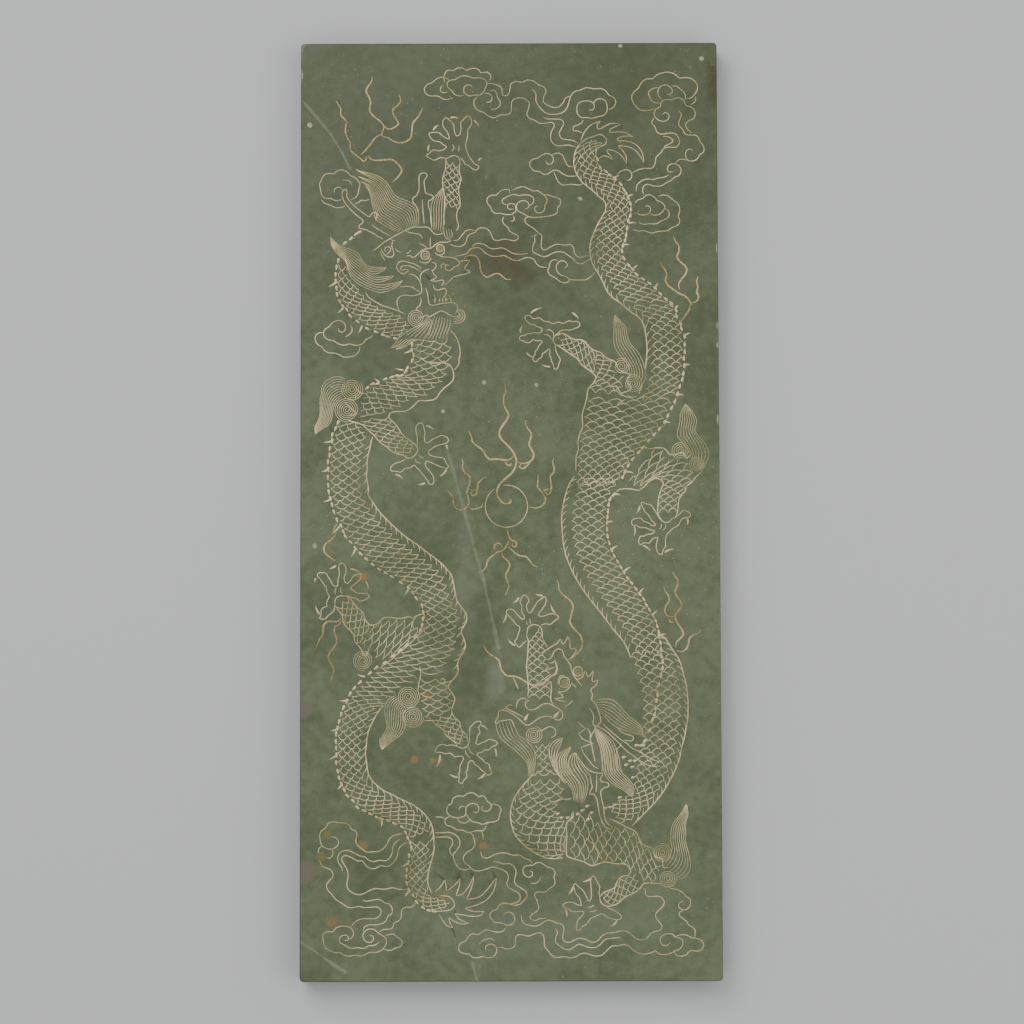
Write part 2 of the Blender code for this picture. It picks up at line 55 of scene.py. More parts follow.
# How lines are rounded, sampled and cut; lengths in millimetres
SMALLEST_STEP = 1e-4
SPIRAL_LEAST = 6
SPIRAL_STEPS = 26
HAIR_PITCH = 0.8
HAIR_LEAST = 8
GATHER_CURVE = 1.5
EDGE_SAMPLES = 300
ARC_POINTS = 5
SHORTEST_STROKE = 0.3
TAPER_SHARE = 0.45
TAPER_CURVE = 0.7
HAND_GRAIN = 0.6
HAND_SEED = 3.0
HAND_WAVER = 0.22
LEAF_PROFILE = (0.45, 1.0, 0.9, 0.5, 0.12)
LEAF_DEPTH = 0.32
LEAF_DEPTH_SHARE = 0.3
BED_PITCH = 0.12
BED_SHARE = 0.97

Line = np.ndarray
Points = Sequence[tuple[float, float]]


# Lengths of the drawing are slab millimetres: x to the right, y to the top, origin at the middle

def smooth_line(points: Points, pitch: float = 0.7) -> Line:
    """Runs a centripetal curve through the points; a point given twice in a row is a sharp corner.

    Args:
        points: the points that the line passes through.
        pitch: the longest step along the line.

    Returns:
        The line as an array of x, y rows.
    """
    runs = [[points[0]]]
    for a, b in zip(points, points[1:]):
        if a == b:
            runs.append([b])
        else:
            runs[-1].append(b)
    line = []
    for run in (r for r in runs if len(r) > 1):
        p = np.array(run, float)
        closed = len(p) > 3 and len(runs) == 1 and np.allclose(p[0], p[-1])
        before, after = (p[-2], p[1]) if closed else (2 * p[0] - p[1], 2 * p[-1] - p[-2])
        e = np.vstack([before, p, after])
        for p0, p1, p2, p3 in zip(e, e[1:], e[2:], e[3:]):
            spans = ((p0, p1), (p1, p2), (p2, p3))
            knots = np.cumsum([0.0] + [max(np.hypot(*(b - a)), 1e-6) ** 0.5 for a, b in spans])
            t0, t1, t2, t3 = knots
            count = max(2, math.ceil(np.hypot(*(p2 - p1)) / pitch))
            t = np.linspace(t1, t2, count, endpoint=False)[:, None]
            a1 = ((t1 - t) * p0 + (t - t0) * p1) / (t1 - t0)
            a2 = ((t2 - t) * p1 + (t - t1) * p2) / (t2 - t1)
            a3 = ((t3 - t) * p2 + (t - t2) * p3) / (t3 - t2)
            b1 = ((t2 - t) * a1 + (t - t0) * a2) / (t2 - t0)
            b2 = ((t3 - t) * a2 + (t - t1) * a3) / (t3 - t1)
            line.append(((t2 - t) * b1 + (t - t1) * b2) / (t2 - t1))
        line.append(p[-1:])
    line = np.vstack(line)
    steps = np.hypot(*np.diff(line, axis=0).T)
    return line[np.r_[True, steps > SMALLEST_STEP]]


def travel(line: Line) -> np.ndarray:
    """Distance run along a line at each of its points."""
    return np.r_[0.0, np.cumsum(np.hypot(*np.diff(line, axis=0).T))]


def resample(line: Line, count: int) -> Line:
    """The same line with count evenly spaced points.

    Args:
        line: what is walked along.
        count: how many points.

    Returns:
        The points.
    """
    run = travel(line)
    at = np.linspace(0, run[-1], count)
    return np.c_[np.interp(at, run, line[:, 0]), np.interp(at, run, line[:, 1])]


def spiral(x: float, y: float, inner: float, outer: float, start: float, turns: float) -> Line:
    """A curl from radius inner to radius outer; angles in degrees, turns anticlockwise.

    Args:
        x: middle.
        y: middle.
        inner: first radius.
        outer: last radius.
        start: first heading, in degrees.
        turns: how many times round, anticlockwise.

    Returns:
        The curl as an array of x, y rows.
    """
    t = np.linspace(0, 1, max(SPIRAL_LEAST, int(abs(turns) * SPIRAL_STEPS)))
    angle = np.radians(start + 360 * turns * t)
    reach = inner + (outer - inner) * t
    return np.c_[x + reach * np.cos(angle), y + reach * np.sin(angle)]


def inside(line: Line, polygon: Line) -> np.ndarray:
    """Tells which points of a line lie in a polygon.

    Args:
        line: the points that are tested.
        polygon: a closed shape.

    Returns:
        One truth value for each point.
    """
    x, y = line[:, 0], line[:, 1]
    hits = np.zeros(len(line), bool)
    for (ax, ay), (bx, by) in zip(polygon, np.roll(polygon, 1, axis=0)):
        if ay != by:
            hits ^= ((ay > y) != (by > y)) & (x < (bx - ax) * (y - ay) / (by - ay) + ax)
    return hits


def outside(lines: Sequence[Line], masks: Sequence[Line]) -> list[Line]:
    """What is left of the lines where no mask covers them.

    Args:
        lines: the lines that may be hidden.
        masks: closed shapes in front of them.

    Returns:
        The visible stretches.
    """
    left = []
    for line in lines:
        line = np.asarray(line, float)
        keep = np.ones(len(line), bool)
        for mask in masks:
            keep &= ~inside(line, mask)
        for part in np.split(np.arange(len(line)), np.flatnonzero(np.diff(keep.astype(int))) + 1):
            if keep[part[0]] and len(part) > 1:
                left.append(line[part])
    return left


def lock(edge_a: Points, edge_b: Points, count: int, tips: Points = (), gather: float = 0.72) -> list[Line]:
    """Parallel hairs between two edges, gathered to the tips at their far end.

    Args:
        edge_a: one side of the lock, from root to tip.
        edge_b: the other side.
        count: how many hairs there are, with the sides.
        tips: where the groups of hairs end; none leaves the ends as they are.
        gather: the share of the length after which the hairs close up.

    Returns:
        One line for each hair.
    """
    a, b = smooth_line(edge_a), smooth_line(edge_b)
    steps = max(HAIR_LEAST, int(max(travel(a)[-1], travel(b)[-1]) / HAIR_PITCH))
    a, b = resample(a, steps), resample(b, steps)
    t = np.linspace(0, 1, steps)[:, None]
    ramp = np.clip((t - gather) / (1 - gather), 0, 1) ** GATHER_CURVE
    hairs = []
    for share in np.linspace(0, 1, count):
        hair = a * (1 - share) + b * share
        if len(tips):
            tip = np.array(tips[min(len(tips) - 1, int(share * len(tips)))], float)
            hair = hair + ramp * (tip - hair[-1])
        hairs.append(hair)
    return hairs


def paired(points: Points, per: int = 12) -> Line:
    """A curve with the same number of steps between its given points, so that two edges stay paired.

    Args:
        points: the points that the curve passes through.
        per: steps between two points.

    Returns:
        The curve as an array of x, y rows.
    """
    p = np.array(points, float)
    e = np.vstack([2 * p[0] - p[1], p, 2 * p[-1] - p[-2]])
    t = np.linspace(0, 1, per, endpoint=False)[:, None]
    spans = [0.5 * (2 * b + (c - a) * t + (2 * a - 5 * b + 4 * c - d) * t ** 2
                    + (3 * b - a - 3 * c + d) * t ** 3)
             for a, b, c, d in zip(e, e[1:], e[2:], e[3:])]
    return np.vstack(spans + [p[-1:]])


@dataclass(frozen=True)
class Scales:
    """Rows of scales across a body, between its back and its belly.

    Attributes:
        columns: scales side by side.
        pitch: distance between rows.
        low: share of the width where the scales start, from the back.
        high: share where they end.
        sag: how far an arc bulges to the tail, in row pitches.
        slant: how far the belly's side of a row lags behind.
    """
    columns: float
    pitch: float = 1.12
    low: float = 0.05
    high: float = 0.88
    sag: float = 1.25
    slant: float = 0.0

    def draw(self, back: Points, belly: Points) -> list[Line]:
        """The arcs between two edges, from head to tail; edges with as many points are matched in pairs.

        Args:
            back: the edge that the scales start from.
            belly: the edge that they run to.

        Returns:
            One line for each scale.
        """
        if len(back) == len(belly):
            d, b = paired(back), paired(belly)
        else:
            d, b = (resample(smooth_line(edge), EDGE_SAMPLES) for edge in (back, belly))
        run = travel((d + b) / 2)

        def at(s: np.ndarray, u: np.ndarray) -> Line:
            """The place at a distance along the body and a share of its width."""
            s = np.clip(s, 0, run[-1])
            d_at = np.c_[np.interp(s, run, d[:, 0]), np.interp(s, run, d[:, 1])]
            b_at = np.c_[np.interp(s, run, b[:, 0]), np.interp(s, run, b[:, 1])]
            return d_at * (1 - u)[:, None] + b_at * u[:, None]

        arcs = []
        step = (self.high - self.low) / self.columns
        v = np.linspace(0, 1, ARC_POINTS)
        for row in range(int(run[-1] / self.pitch)):
            first = -0.5 if row % 2 else 0.0
            for column in np.arange(first, self.columns - 0.01):
                u = self.low + step * (column + v)
                keep = (u > self.low - 0.01) & (u < self.high + 0.01)
                if keep.sum() > 2:
                    s = ((row + 0.5) * self.pitch + self.pitch * self.sag * (1 - (2 * v - 1) ** 2)
                         + self.slant * (u - 0.5))
                    arcs.append(at(s[keep], u[keep]))
        return arcs


# x, y, reach, depth of the chips in the rim, in millimetres
CHIPS = ((64, 80, 1.6, 0.5), (64, 56, 1.2, 0.4), (64, 50, 1.0, 0.35), (64, 27, 1.4, 0.45),
         (-64, 143.5, 1.4, 0.5), (-64, 134, 1.5, 0.5))
# Past these a point of the rim belongs to a long side and to an end, in millimetres
LONG_SIDE = 62
END_SIDE = 141
WEAR_GRAIN = 0.35
WEAR_SEED = 8.0


@dataclass(frozen=True)
class Cut:
    """Size of one kind of stroke, in millimetres.

    Attributes:
        width: of the groove at the face.
        depth: at the middle of the groove.
        end: share of the width that is left at the ends.
        taper: length over which an end narrows.
    """
    width: float
    depth: float
    end: float = 0.45
    taper: float = 1.2


class Tool(Enum):
    """The kinds of stroke that the face shows."""
    CONTOUR = Cut(0.42, 0.2)
    EDGE = Cut(0.52, 0.24)
    SCALE = Cut(0.34, 0.17, 0.5, 0.7)
    HAIR = Cut(0.24, 0.15, 0.4, 1.6)
    FLAME = Cut(0.92, 0.26, 0.3, 5.0)
    WHISKER = Cut(0.7, 0.22, 0.25, 3.0)


@dataclass
class Stroke:
    """One engraved line: its middle, its half width at each point and the depth of its bed."""
    line: Line
    half: np.ndarray
    depth: float


@dataclass
class Engraving:
    """Every stroke of the face, by the piece of gold that fills it."""
    groups: dict[str, list[Stroke]] = field(default_factory=dict)

    def cut(self, group: str, lines: Sequence, tool: Tool) -> None:
        """Adds lines that one tool cuts; given points are rounded into curves first.

        Args:
            group: the piece of gold that fills the lines.
            lines: curves, or points to round.
            tool: what cuts them.
        """
        for line in lines:
            line = line if isinstance(line, np.ndarray) else smooth_line(line)
            if len(line) < 2 or travel(line)[-1] < SHORTEST_STROKE:
                continue
            line = self._thin(line)
            run = travel(line)
            near = np.minimum(run, run[-1] - run)
            size = tool.value
            reach = min(size.taper, run[-1] * TAPER_SHARE)
            share = size.end + (1 - size.end) * np.clip(near / reach, 0, 1) ** TAPER_CURVE
            wave = np.array([noise.noise(Vector((x * HAND_GRAIN, y * HAND_GRAIN, HAND_SEED)))
                             for x, y in line])
            half = size.width / 2 * share * (1 + HAND_WAVER * wave)
            self.groups.setdefault(group, []).append(Stroke(line, half, size.depth))

    def leaf(self, group: str, root: tuple[float, float], tip: tuple[float, float], width: float,
             bend: float = 0.0) -> None:
        """Adds a filled leaf, such as a talon or a spur, from its broad root to its tip.

        Args:
            group: the piece of gold that fills it.
            root: its broad end.
            tip: its point.
            width: at its widest.
            bend: how far it bows, as a share of its length.
        """
        a, b = np.array(root, float), np.array(tip, float)
        t = np.linspace(0, 1, len(LEAF_PROFILE))
        across = np.array([a[1] - b[1], b[0] - a[0]])
        line = a + (b - a) * t[:, None] + across * (bend * 4 * t * (1 - t))[:, None]
        half = width / 2 * np.array(LEAF_PROFILE)
        depth = min(LEAF_DEPTH, width * LEAF_DEPTH_SHARE)
        self.groups.setdefault(group, []).append(Stroke(line, half, depth))

    @staticmethod
    def _thin(line: Line, slack: float = 0.05, longest: float = 2.6) -> Line:
        """Drops the points that a straight step replaces within the slack.

        Args:
            line: what is thinned.
            slack: how far off a dropped point may lie.
            longest: the longest step that is left.

        Returns:
            The points that stay.
        """
        keep = [0]
        at = 0
        while at < len(line) - 1:
            reach = at + 1
            while reach + 1 < len(line):
                a, b = line[at], line[reach + 1]
                span = np.hypot(*(b - a))
                between = line[at + 1:reach + 1] - a
                off = np.abs(between @ np.array([a[1] - b[1], b[0] - a[0]])) / max(span, 1e-9)
                if off.max() > slack or span > longest:
                    break
                reach += 1
            keep.append(reach)
            at = reach
        return line[keep]

    def strokes(self) -> list[Stroke]:
        """All strokes of all groups."""
        return [stroke for group in self.groups.values() for stroke in group]


def across(line: Line) -> Line:
    """Unit vectors square to a line at each of its points.

    Args:
        line: an array of x, y rows.

    Returns:
        One unit vector for each point.
    """
    along = np.gradient(line, axis=0)
    along /= np.maximum(np.hypot(*along.T), 1e-9)[:, None]
    return np.c_[-along[:, 1], along[:, 0]]


@dataclass(frozen=True)
class Slab:
    """The stone with its cut face, in millimetres.

    Attributes:
        chamfer: width of the broken edge.
        corner: radius of the corners seen from above.
        rim_pitch: step along the rim.
        wear: how far the worn rim wanders inwards.
    """
    chamfer: float = 0.4
    corner: float = 1.2
    rim_pitch: float = 1.0
    wear: float = 0.16

    def outline(self, half_x: float, half_y: float, inset: float) -> Line:
        """The slab's outline from above, anticlockwise, drawn in by an inset.

        Args:
            half_x: half the slab's width.
            half_y: half its length.
            inset: how far the outline is drawn in.

        Returns:
            The closed ring, its first point given once.
        """
        radius = self.corner
        corners = ((1, -1, -90), (1, 1, 0), (-1, 1, 90), (-1, -1, 180))
        points = []
        for sx, sy, start in corners:
            middle = np.array([sx * (half_x - radius), sy * (half_y - radius)])
            angle = np.radians(start + np.linspace(0, 90, 6))
            points.append(middle + (radius - inset) * np.c_[np.cos(angle), np.sin(angle)])
        ring = np.vstack(points)
        closed = np.vstack([ring, ring[:1]])
        filled = []
        for a, b in zip(closed, closed[1:]):
            count = max(1, round(np.hypot(*(b - a)) / self.rim_pitch))
            filled.append(a + (b - a) * np.linspace(0, 1, count, endpoint=False)[:, None])
        return np.vstack(filled)

    def worn(self, ring: Line) -> Line:
        """The rim with small irregularities and the chips of its corners and edges.

        Args:
            ring: the sound rim.

        Returns:
            The worn rim, with as many points.
        """
        out = []
        for x, y in ring:
            dent = self.wear * max(0.0, noise.noise(Vector((x * WEAR_GRAIN, y * WEAR_GRAIN, WEAR_SEED)))) * 2
            dent += sum(depth * math.exp(-((x - cx) ** 2 + (y - cy) ** 2) / reach ** 2)
                        for cx, cy, reach, depth in CHIPS)
            inward = np.array([np.sign(x) * (abs(x) > LONG_SIDE), np.sign(y) * (abs(y) > END_SIDE)])
            shrink = np.array([x, y]) - dent * inward
            out.append(shrink)
        return np.array(out)

    def build(self, engraving: Engraving, low: Vector, high: Vector) -> bpy.types.Object:
        """Cuts the engraving into the face and closes the stone around it.

        Args:
            engraving: the strokes.
            low: lowest corner of the slab, in metres.
            high: highest corner.

        Returns:
            The stone, at the origin.
        """
        half_x, half_y = (high.x - low.x) / 2 / MM, (high.y - low.y) / 2 / MM
        top, bottom = high.z / MM, low.z / MM
        rim = self.worn(self.outline(half_x, half_y, self.chamfer))
        side = self.outline(half_x, half_y, 0.0)
        flat, triangles, ring = self._face(engraving.strokes(), rim)
        heights = top - self._depths(flat, engraving.strokes())
        verts = [(x, y, z) for (x, y), z in zip(flat, heights)]
        faces = [tuple(t) for t in triangles]
        below = self.outline(half_x, half_y, self.chamfer)
        rounded = self.outline(half_x, half_y, self.chamfer * 0.25)
        layers = [(rounded, top - self.chamfer * 0.3), (side, top - self.chamfer),
                  (side, bottom + self.chamfer), (below, bottom)]
        last = ring
        for points, z in layers:
            base = len(verts)
            verts += [(x, y, z) for x, y in points]
            here = list(range(base, base + len(points)))
            count = len(here)
            faces += [(last[i], here[i], here[(i + 1) % count], last[(i + 1) % count]) for i in range(count)]
            last = here
        faces.append(tuple(reversed(last)))
        mesh = bpy.data.meshes.new("fine_slab")
        mesh.from_pydata([Vector(v) * MM for v in verts], [], faces)
        mesh.validate()
        LOG.info("slab: %d triangles", sum(len(p.vertices) - 2 for p in mesh.polygons))
        stone = bpy.data.objects.new("fine_slab", mesh)
        bpy.context.scene.collection.objects.link(stone)
        return stone

    @staticmethod
    def _face(strokes: Sequence[Stroke], rim: Line) -> tuple[Line, list, list[int]]:
        """Triangles of the face through every groove's sides and bed, with the rim's vertices in order.

        Args:
            strokes: what is cut.
            rim: the face's edge.

        Returns:
            The flat points, the triangles and the rim's points in order.
        """
        points = [Vector(p) for p in rim]
        edges = [(i, (i + 1) % len(rim)) for i in range(len(rim))]
        for stroke in strokes:
            normal = across(stroke.line)
            onward = np.c_[normal[:, 1], -normal[:, 0]]
            side = normal * stroke.half[:, None]
            loop = np.vstack([stroke.line[0] - onward[0] * stroke.half[0], stroke.line + side,
                              stroke.line[-1] + onward[-1] * stroke.half[-1], (stroke.line - side)[::-1]])
            for run in (np.vstack([loop, loop[:1]]), stroke.line):
                base = len(points)
                points += [Vector(p) for p in run]
                edges += [(base + i, base + i + 1) for i in range(len(run) - 1)]
        flat, _, triangles, origins, _, _ = delaunay_2d_cdt(points, edges, [], 0, 1e-4)
        home = {source: index for index, sources in enumerate(origins) for source in sources}
        return np.array([tuple(v) for v in flat]), triangles, [home[i] for i in range(len(rim))]

    @staticmethod
    def _depths(flat: Line, strokes: Sequence[Stroke]) -> np.ndarray:
        """How deep the grooves are at each point of the face.

        Args:
            flat: points of the face.
            strokes: what is cut.

        Returns:
            A depth for each point.
        """
        samples = []
        for stroke in strokes:
            run = travel(stroke.line)
            at = np.linspace(0, run[-1], max(2, int(run[-1] / BED_PITCH)))
            samples.append(np.c_[np.interp(at, run, stroke.line[:, 0]), np.interp(at, run, stroke.line[:, 1]),
                                 np.interp(at, run, stroke.half), np.full(len(at), stroke.depth)])
        samples = np.vstack(samples)
        tree = kdtree.KDTree(len(samples))
        for i, (x, y, _, _) in enumerate(samples):
            tree.insert((x, y, 0), i)
        tree.balance()
        reach = float(samples[:, 2].max())
        half, depth = samples[:, 2], samples[:, 3]
        out = np.zeros(len(flat))
        for i, (x, y) in enumerate(flat):
            out[i] = max((depth[k] * (1 - gap / half[k]) for _, k, gap in tree.find_range((x, y, 0), reach)
                          if gap < half[k] * BED_SHARE), default=0.0)
        return out


class NodeMaker:
    """Adds nodes to one tree, each with its settings and inputs in one call."""

    def __init__(self, tree: bpy.types.NodeTree) -> None:
        """Keeps the tree that the nodes go into."""
        self.tree = tree

    def node(self, kind: str, settings: Optional[dict] = None,
             inputs: Optional[dict] = None) -> bpy.types.Node:
        """Makes a node.

        Args:
            kind: the node's type name.
            settings: its own properties.
            inputs: values or sockets, by input name or number.

        Returns:
            The node.
        """
        made = self.tree.nodes.new(kind)
        for name, value in (settings or {}).items():
            setattr(made, name, value)
        for name, value in (inputs or {}).items():
            self.feed(made.inputs[name], value)
        return made

    def feed(self, target: bpy.types.NodeSocket, value) -> None:
        """Links a socket to an input, or sets its value.

        Args:
            target: the input.
            value: a number, a colour, a wrapped or a plain socket.
        """
        if isinstance(value, Sock):
            value = value.socket
        if isinstance(value, bpy.types.NodeSocket):
            self.tree.links.new(value, target)
        else:
            target.default_value = value


class Sock:
    """A number or vector socket that can be worked with like a number."""

    def __init__(self, maker: NodeMaker, socket: bpy.types.NodeSocket) -> None:
        """Wraps one output socket."""
        self.maker = maker
        self.socket = socket

    def _math(self, operation: str, *values) -> "Sock":
        """Runs one maths node over the values.

        Args:
            operation: its name in Blender.
            values: what it works on.

        Returns:
            The result.
        """
        kind = "ShaderNodeMath"
        inputs = dict(enumerate(values))
        return Sock(self.maker, self.maker.node(kind, {"operation": operation}, inputs).outputs[0])

    def __add__(self, other) -> "Sock":
        """self + other"""
        return self._math("ADD", self, other)

    def __sub__(self, other) -> "Sock":
        """self - other"""
        return self._math("SUBTRACT", self, other)

    def __rsub__(self, other) -> "Sock":
        """other - self"""
        return self._math("SUBTRACT", other, self)

    def __mul__(self, other) -> "Sock":
        """self * other"""
        return self._math("MULTIPLY", self, other)

    def __truediv__(self, other) -> "Sock":
        """self / other"""
        return self._math("DIVIDE", self, other)

    def __rtruediv__(self, other) -> "Sock":
        """other / self"""
        return self._math("DIVIDE", other, self)

    __radd__ = __add__
    __rmul__ = __mul__

    def power(self, other) -> "Sock":
        """self to a power"""
        return self._math("POWER", self, other)

    def least(self, other) -> "Sock":
        """The smaller of the two."""
        return self._math("MINIMUM", self, other)

    def most(self, other) -> "Sock":
        """The larger of the two."""
        return self._math("MAXIMUM", self, other)

    def root(self) -> "Sock":
        """Square root."""
        return self._math("SQRT", self)

    def ramp(self, low: float, high: float, to_low: float = 0.0, to_high: float = 1.0) -> "Sock":
        """Smoothly maps low..high to to_low..to_high and stops there.

        Args:
            low: where the ramp starts.
            high: where it ends.
            to_low: result at the start.
            to_high: result at the end.

        Returns:
            The mapped value.
        """
        inputs = {"Value": self, "From Min": low, "From Max": high, "To Min": to_low, "To Max": to_high}
        made = self.maker.node("ShaderNodeMapRange", {"interpolation_type": "SMOOTHSTEP"}, inputs)
        return Sock(self.maker, made.outputs[0])


def linear(red: int, green: int, blue: int) -> tuple[float, float, float, float]:
    """A display colour, 0 to 255 each, as scene-linear values."""
    parts = [c / 255 for c in (red, green, blue)]
    return (*(p / 12.92 if p < 0.04045 else ((p + 0.055) / 1.055) ** 2.4 for p in parts), 1.0)


def mix(maker: NodeMaker, share, low, high) -> Sock:
    """Blends two colours by a share."""
    made = maker.node("ShaderNodeMix", {"data_type": "RGBA"}, {0: share, 6: low, 7: high})
    return Sock(maker, made.outputs[2])


def grain(maker: NodeMaker, place, scale: float, detail: float = 4.0, distortion: float = 0.0) -> Sock:
    """Soft noise from 0 to 1 over a place."""
    inputs = {"Vector": place, "Scale": scale, "Detail": detail, "Distortion": distortion}
    return Sock(maker, maker.node("ShaderNodeTexNoise", None, inputs).outputs[0])


def specks(maker: NodeMaker, place, scale: float, edge: float, core: float) -> Sock:
    """Scattered dots: 1 within the core's distance, 0 past the edge's.

    Args:
        maker: adds the nodes.
        place: where the dots lie.
        scale: dots to the millimetre.
        edge: distance where a dot ends.
        core: distance where it is full.

    Returns:
        The dots.
    """
    inputs = {"Vector": place, "Scale": scale, "Randomness": 1.0}
    cells = maker.node("ShaderNodeTexVoronoi", None, inputs)
    return Sock(maker, cells.outputs["Distance"]).ramp(edge, core)


def new_finish(name: str) -> tuple[bpy.types.Material, NodeMaker, bpy.types.NodeSocket]:
    """Starts a material whose patterns lie in object coordinates in millimetres.

    Args:
        name: of the material.

    Returns:
        The material, its node maker and the place on the piece.
    """
    made = bpy.data.materials.new(name)
    made.use_nodes = True
    made.node_tree.nodes.clear()
    maker = NodeMaker(made.node_tree)
    coord = maker.node("ShaderNodeTexCoord").outputs["Object"]
    scaled = maker.node("ShaderNodeVectorMath", {"operation": "SCALE"}, {0: coord, "Scale": 1 / MM})
    return made, maker, scaled.outputs[0]


@dataclass(frozen=True)
class Patch:
    """A tinted place in the stone, in millimetres.

    Attributes:
        x: middle.
        y: middle.
        wide: half width.
        tall: half height.
        tint: colour, 0 to 255 each.
        strength: how much of it shows at its middle.
        ragged: how far noise moves its edge, as a share of its size.
        hard: 0 for a soft fade, near 1 for a sharp edge.
    """
    x: float
    y: float
    wide: float
    tall: float
    tint: tuple[int, int, int]
    strength: float
    ragged: float = 0.5
    hard: float = 0.0


@dataclass(frozen=True)
class Vein:
    """A pale line in the stone from one point to the next, in millimetres."""
    points: tuple[tuple[float, float], ...]
    width: float
    tint: tuple[int, int, int]
    strength: float


STAIN, EARTH, RUST, ASH, MOSS = (72, 66, 28), (66, 62, 28), (150, 116, 68), (112, 104, 84), (122, 118, 58)
# MIST_AND_SHEEN is the stone's milky haze, and also the painted sheen at the bottom end.
MILK, MIST_AND_SHEEN = (190, 192, 160), (128, 136, 112)
PATCHES = (
    Patch(-2, 77, 13, 9.5, STAIN, 0.75, 0.5, 0.2),
    Patch(4, 71, 7, 6, STAIN, 0.6, 0.6, 0.2),
    Patch(65, 130, 5, 10, EARTH, 0.95, 0.5, 0.4),
    Patch(-14, -14, 5, 34, MIST_AND_SHEEN, 0.3, 0.4),
    Patch(-5, -52, 4, 10, MIST_AND_SHEEN, 0.4, 0.4, 0.2),
    # Painted sheen: a pale band across the bottom end stands in for the reflection on the polish.
    Patch(0, -128, 60, 16, MIST_AND_SHEEN, 0.3, 0.5),
    Patch(-45, -21, 2.6, 2.3, RUST, 0.85, 0.4, 0.4),
    Patch(-29.5, -76.8, 1.7, 1.6, RUST, 0.8, 0.4, 0.5),
    Patch(-23.6, -77, 1.2, 1.2, RUST, 0.7, 0.4, 0.5),
    Patch(-21.6, -77.2, 1.2, 1.1, RUST, 0.7, 0.4, 0.5),
    Patch(-8.5, -103, 1.7, 1.6, RUST, 0.7, 0.4, 0.5),
    Patch(-25.5, -57.3, 2, 2, RUST, 0.6, 0.5, 0.3),
    Patch(-45, -103, 2, 2, RUST, 0.7, 0.5, 0.4),
    Patch(-20.5, -118.5, 3, 2.4, RUST, 0.5, 0.6, 0.2),
    Patch(-54.4, -126, 2.3, 2.2, RUST, 0.5, 0.5, 0.4),
    Patch(-4.5, -79.5, 2, 1.6, MOSS, 0.4, 0.5),
    Patch(-55.8, -99.3, 1.8, 1.8, MOSS, 0.7, 0.4, 0.3),
    Patch(-57.5, -106, 2, 2, MOSS, 0.7, 0.4, 0.3),
    Patch(-63, -61.4, 3.4, 3.4, ASH, 0.85, 0.4, 0.5),
    Patch(-62.5, -110.8, 4, 4, ASH, 0.85, 0.4, 0.5),
    Patch(-61.5, 118.5, 0.9, 0.9, MILK, 0.8, 0.4, 0.5),
    Patch(59.5, 139, 0.8, 0.8, MILK, 0.8, 0.4, 0.5),
    Patch(34.5, 143, 0.9, 0.7, MILK, 0.8, 0.4, 0.5),
    Patch(21.8, 95.5, 1, 0.8, MILK, 0.7, 0.5, 0.4),
    Patch(-7.8, 38.6, 0.8, 0.8, MILK, 0.7, 0.4, 0.5),
    Patch(8.2, 37.8, 0.8, 0.8, MILK, 0.7, 0.4, 0.5),
    Patch(-20.5, 29.7, 0.8, 0.8, MILK, 0.8, 0.4, 0.5),
    Patch(-59.8, -11.5, 1, 1, MILK, 0.6, 0.4, 0.5),
    Patch(64.2, 80, 0.8, 2.4, MILK, 0.9, 0.3, 0.5),
    Patch(64.2, 56, 0.8, 1.6, MILK, 0.9, 0.3, 0.5),
    Patch(64.2, 50, 0.8, 1.2, MILK, 0.9, 0.3, 0.5),
    Patch(64.2, 27, 0.9, 2, MILK, 0.9, 0.3, 0.5),
    Patch(-64.2, 134, 0.8, 2, MILK, 0.8, 0.3, 0.5),
)
VEINS = (
    Vein(((-19.5, 19), (-13.6, -2.5), (-8.2, -22), (-3.6, -43)), 0.8, MILK, 0.17),
    Vein(((-3.6, -43), (-3, -56)), 1.4, MILK, 0.1),
    Vein(((-64, 126.5), (-55, 115.7), (-51.4, 109.8), (-49, 105)), 0.6, MILK, 0.2),
    Vein(((-64, -131.7), (-50.5, -141)), 0.6, MILK, 0.25),
    Vein(((-12, -138), (-10.3, -144)), 0.5, MILK, 0.2),
)


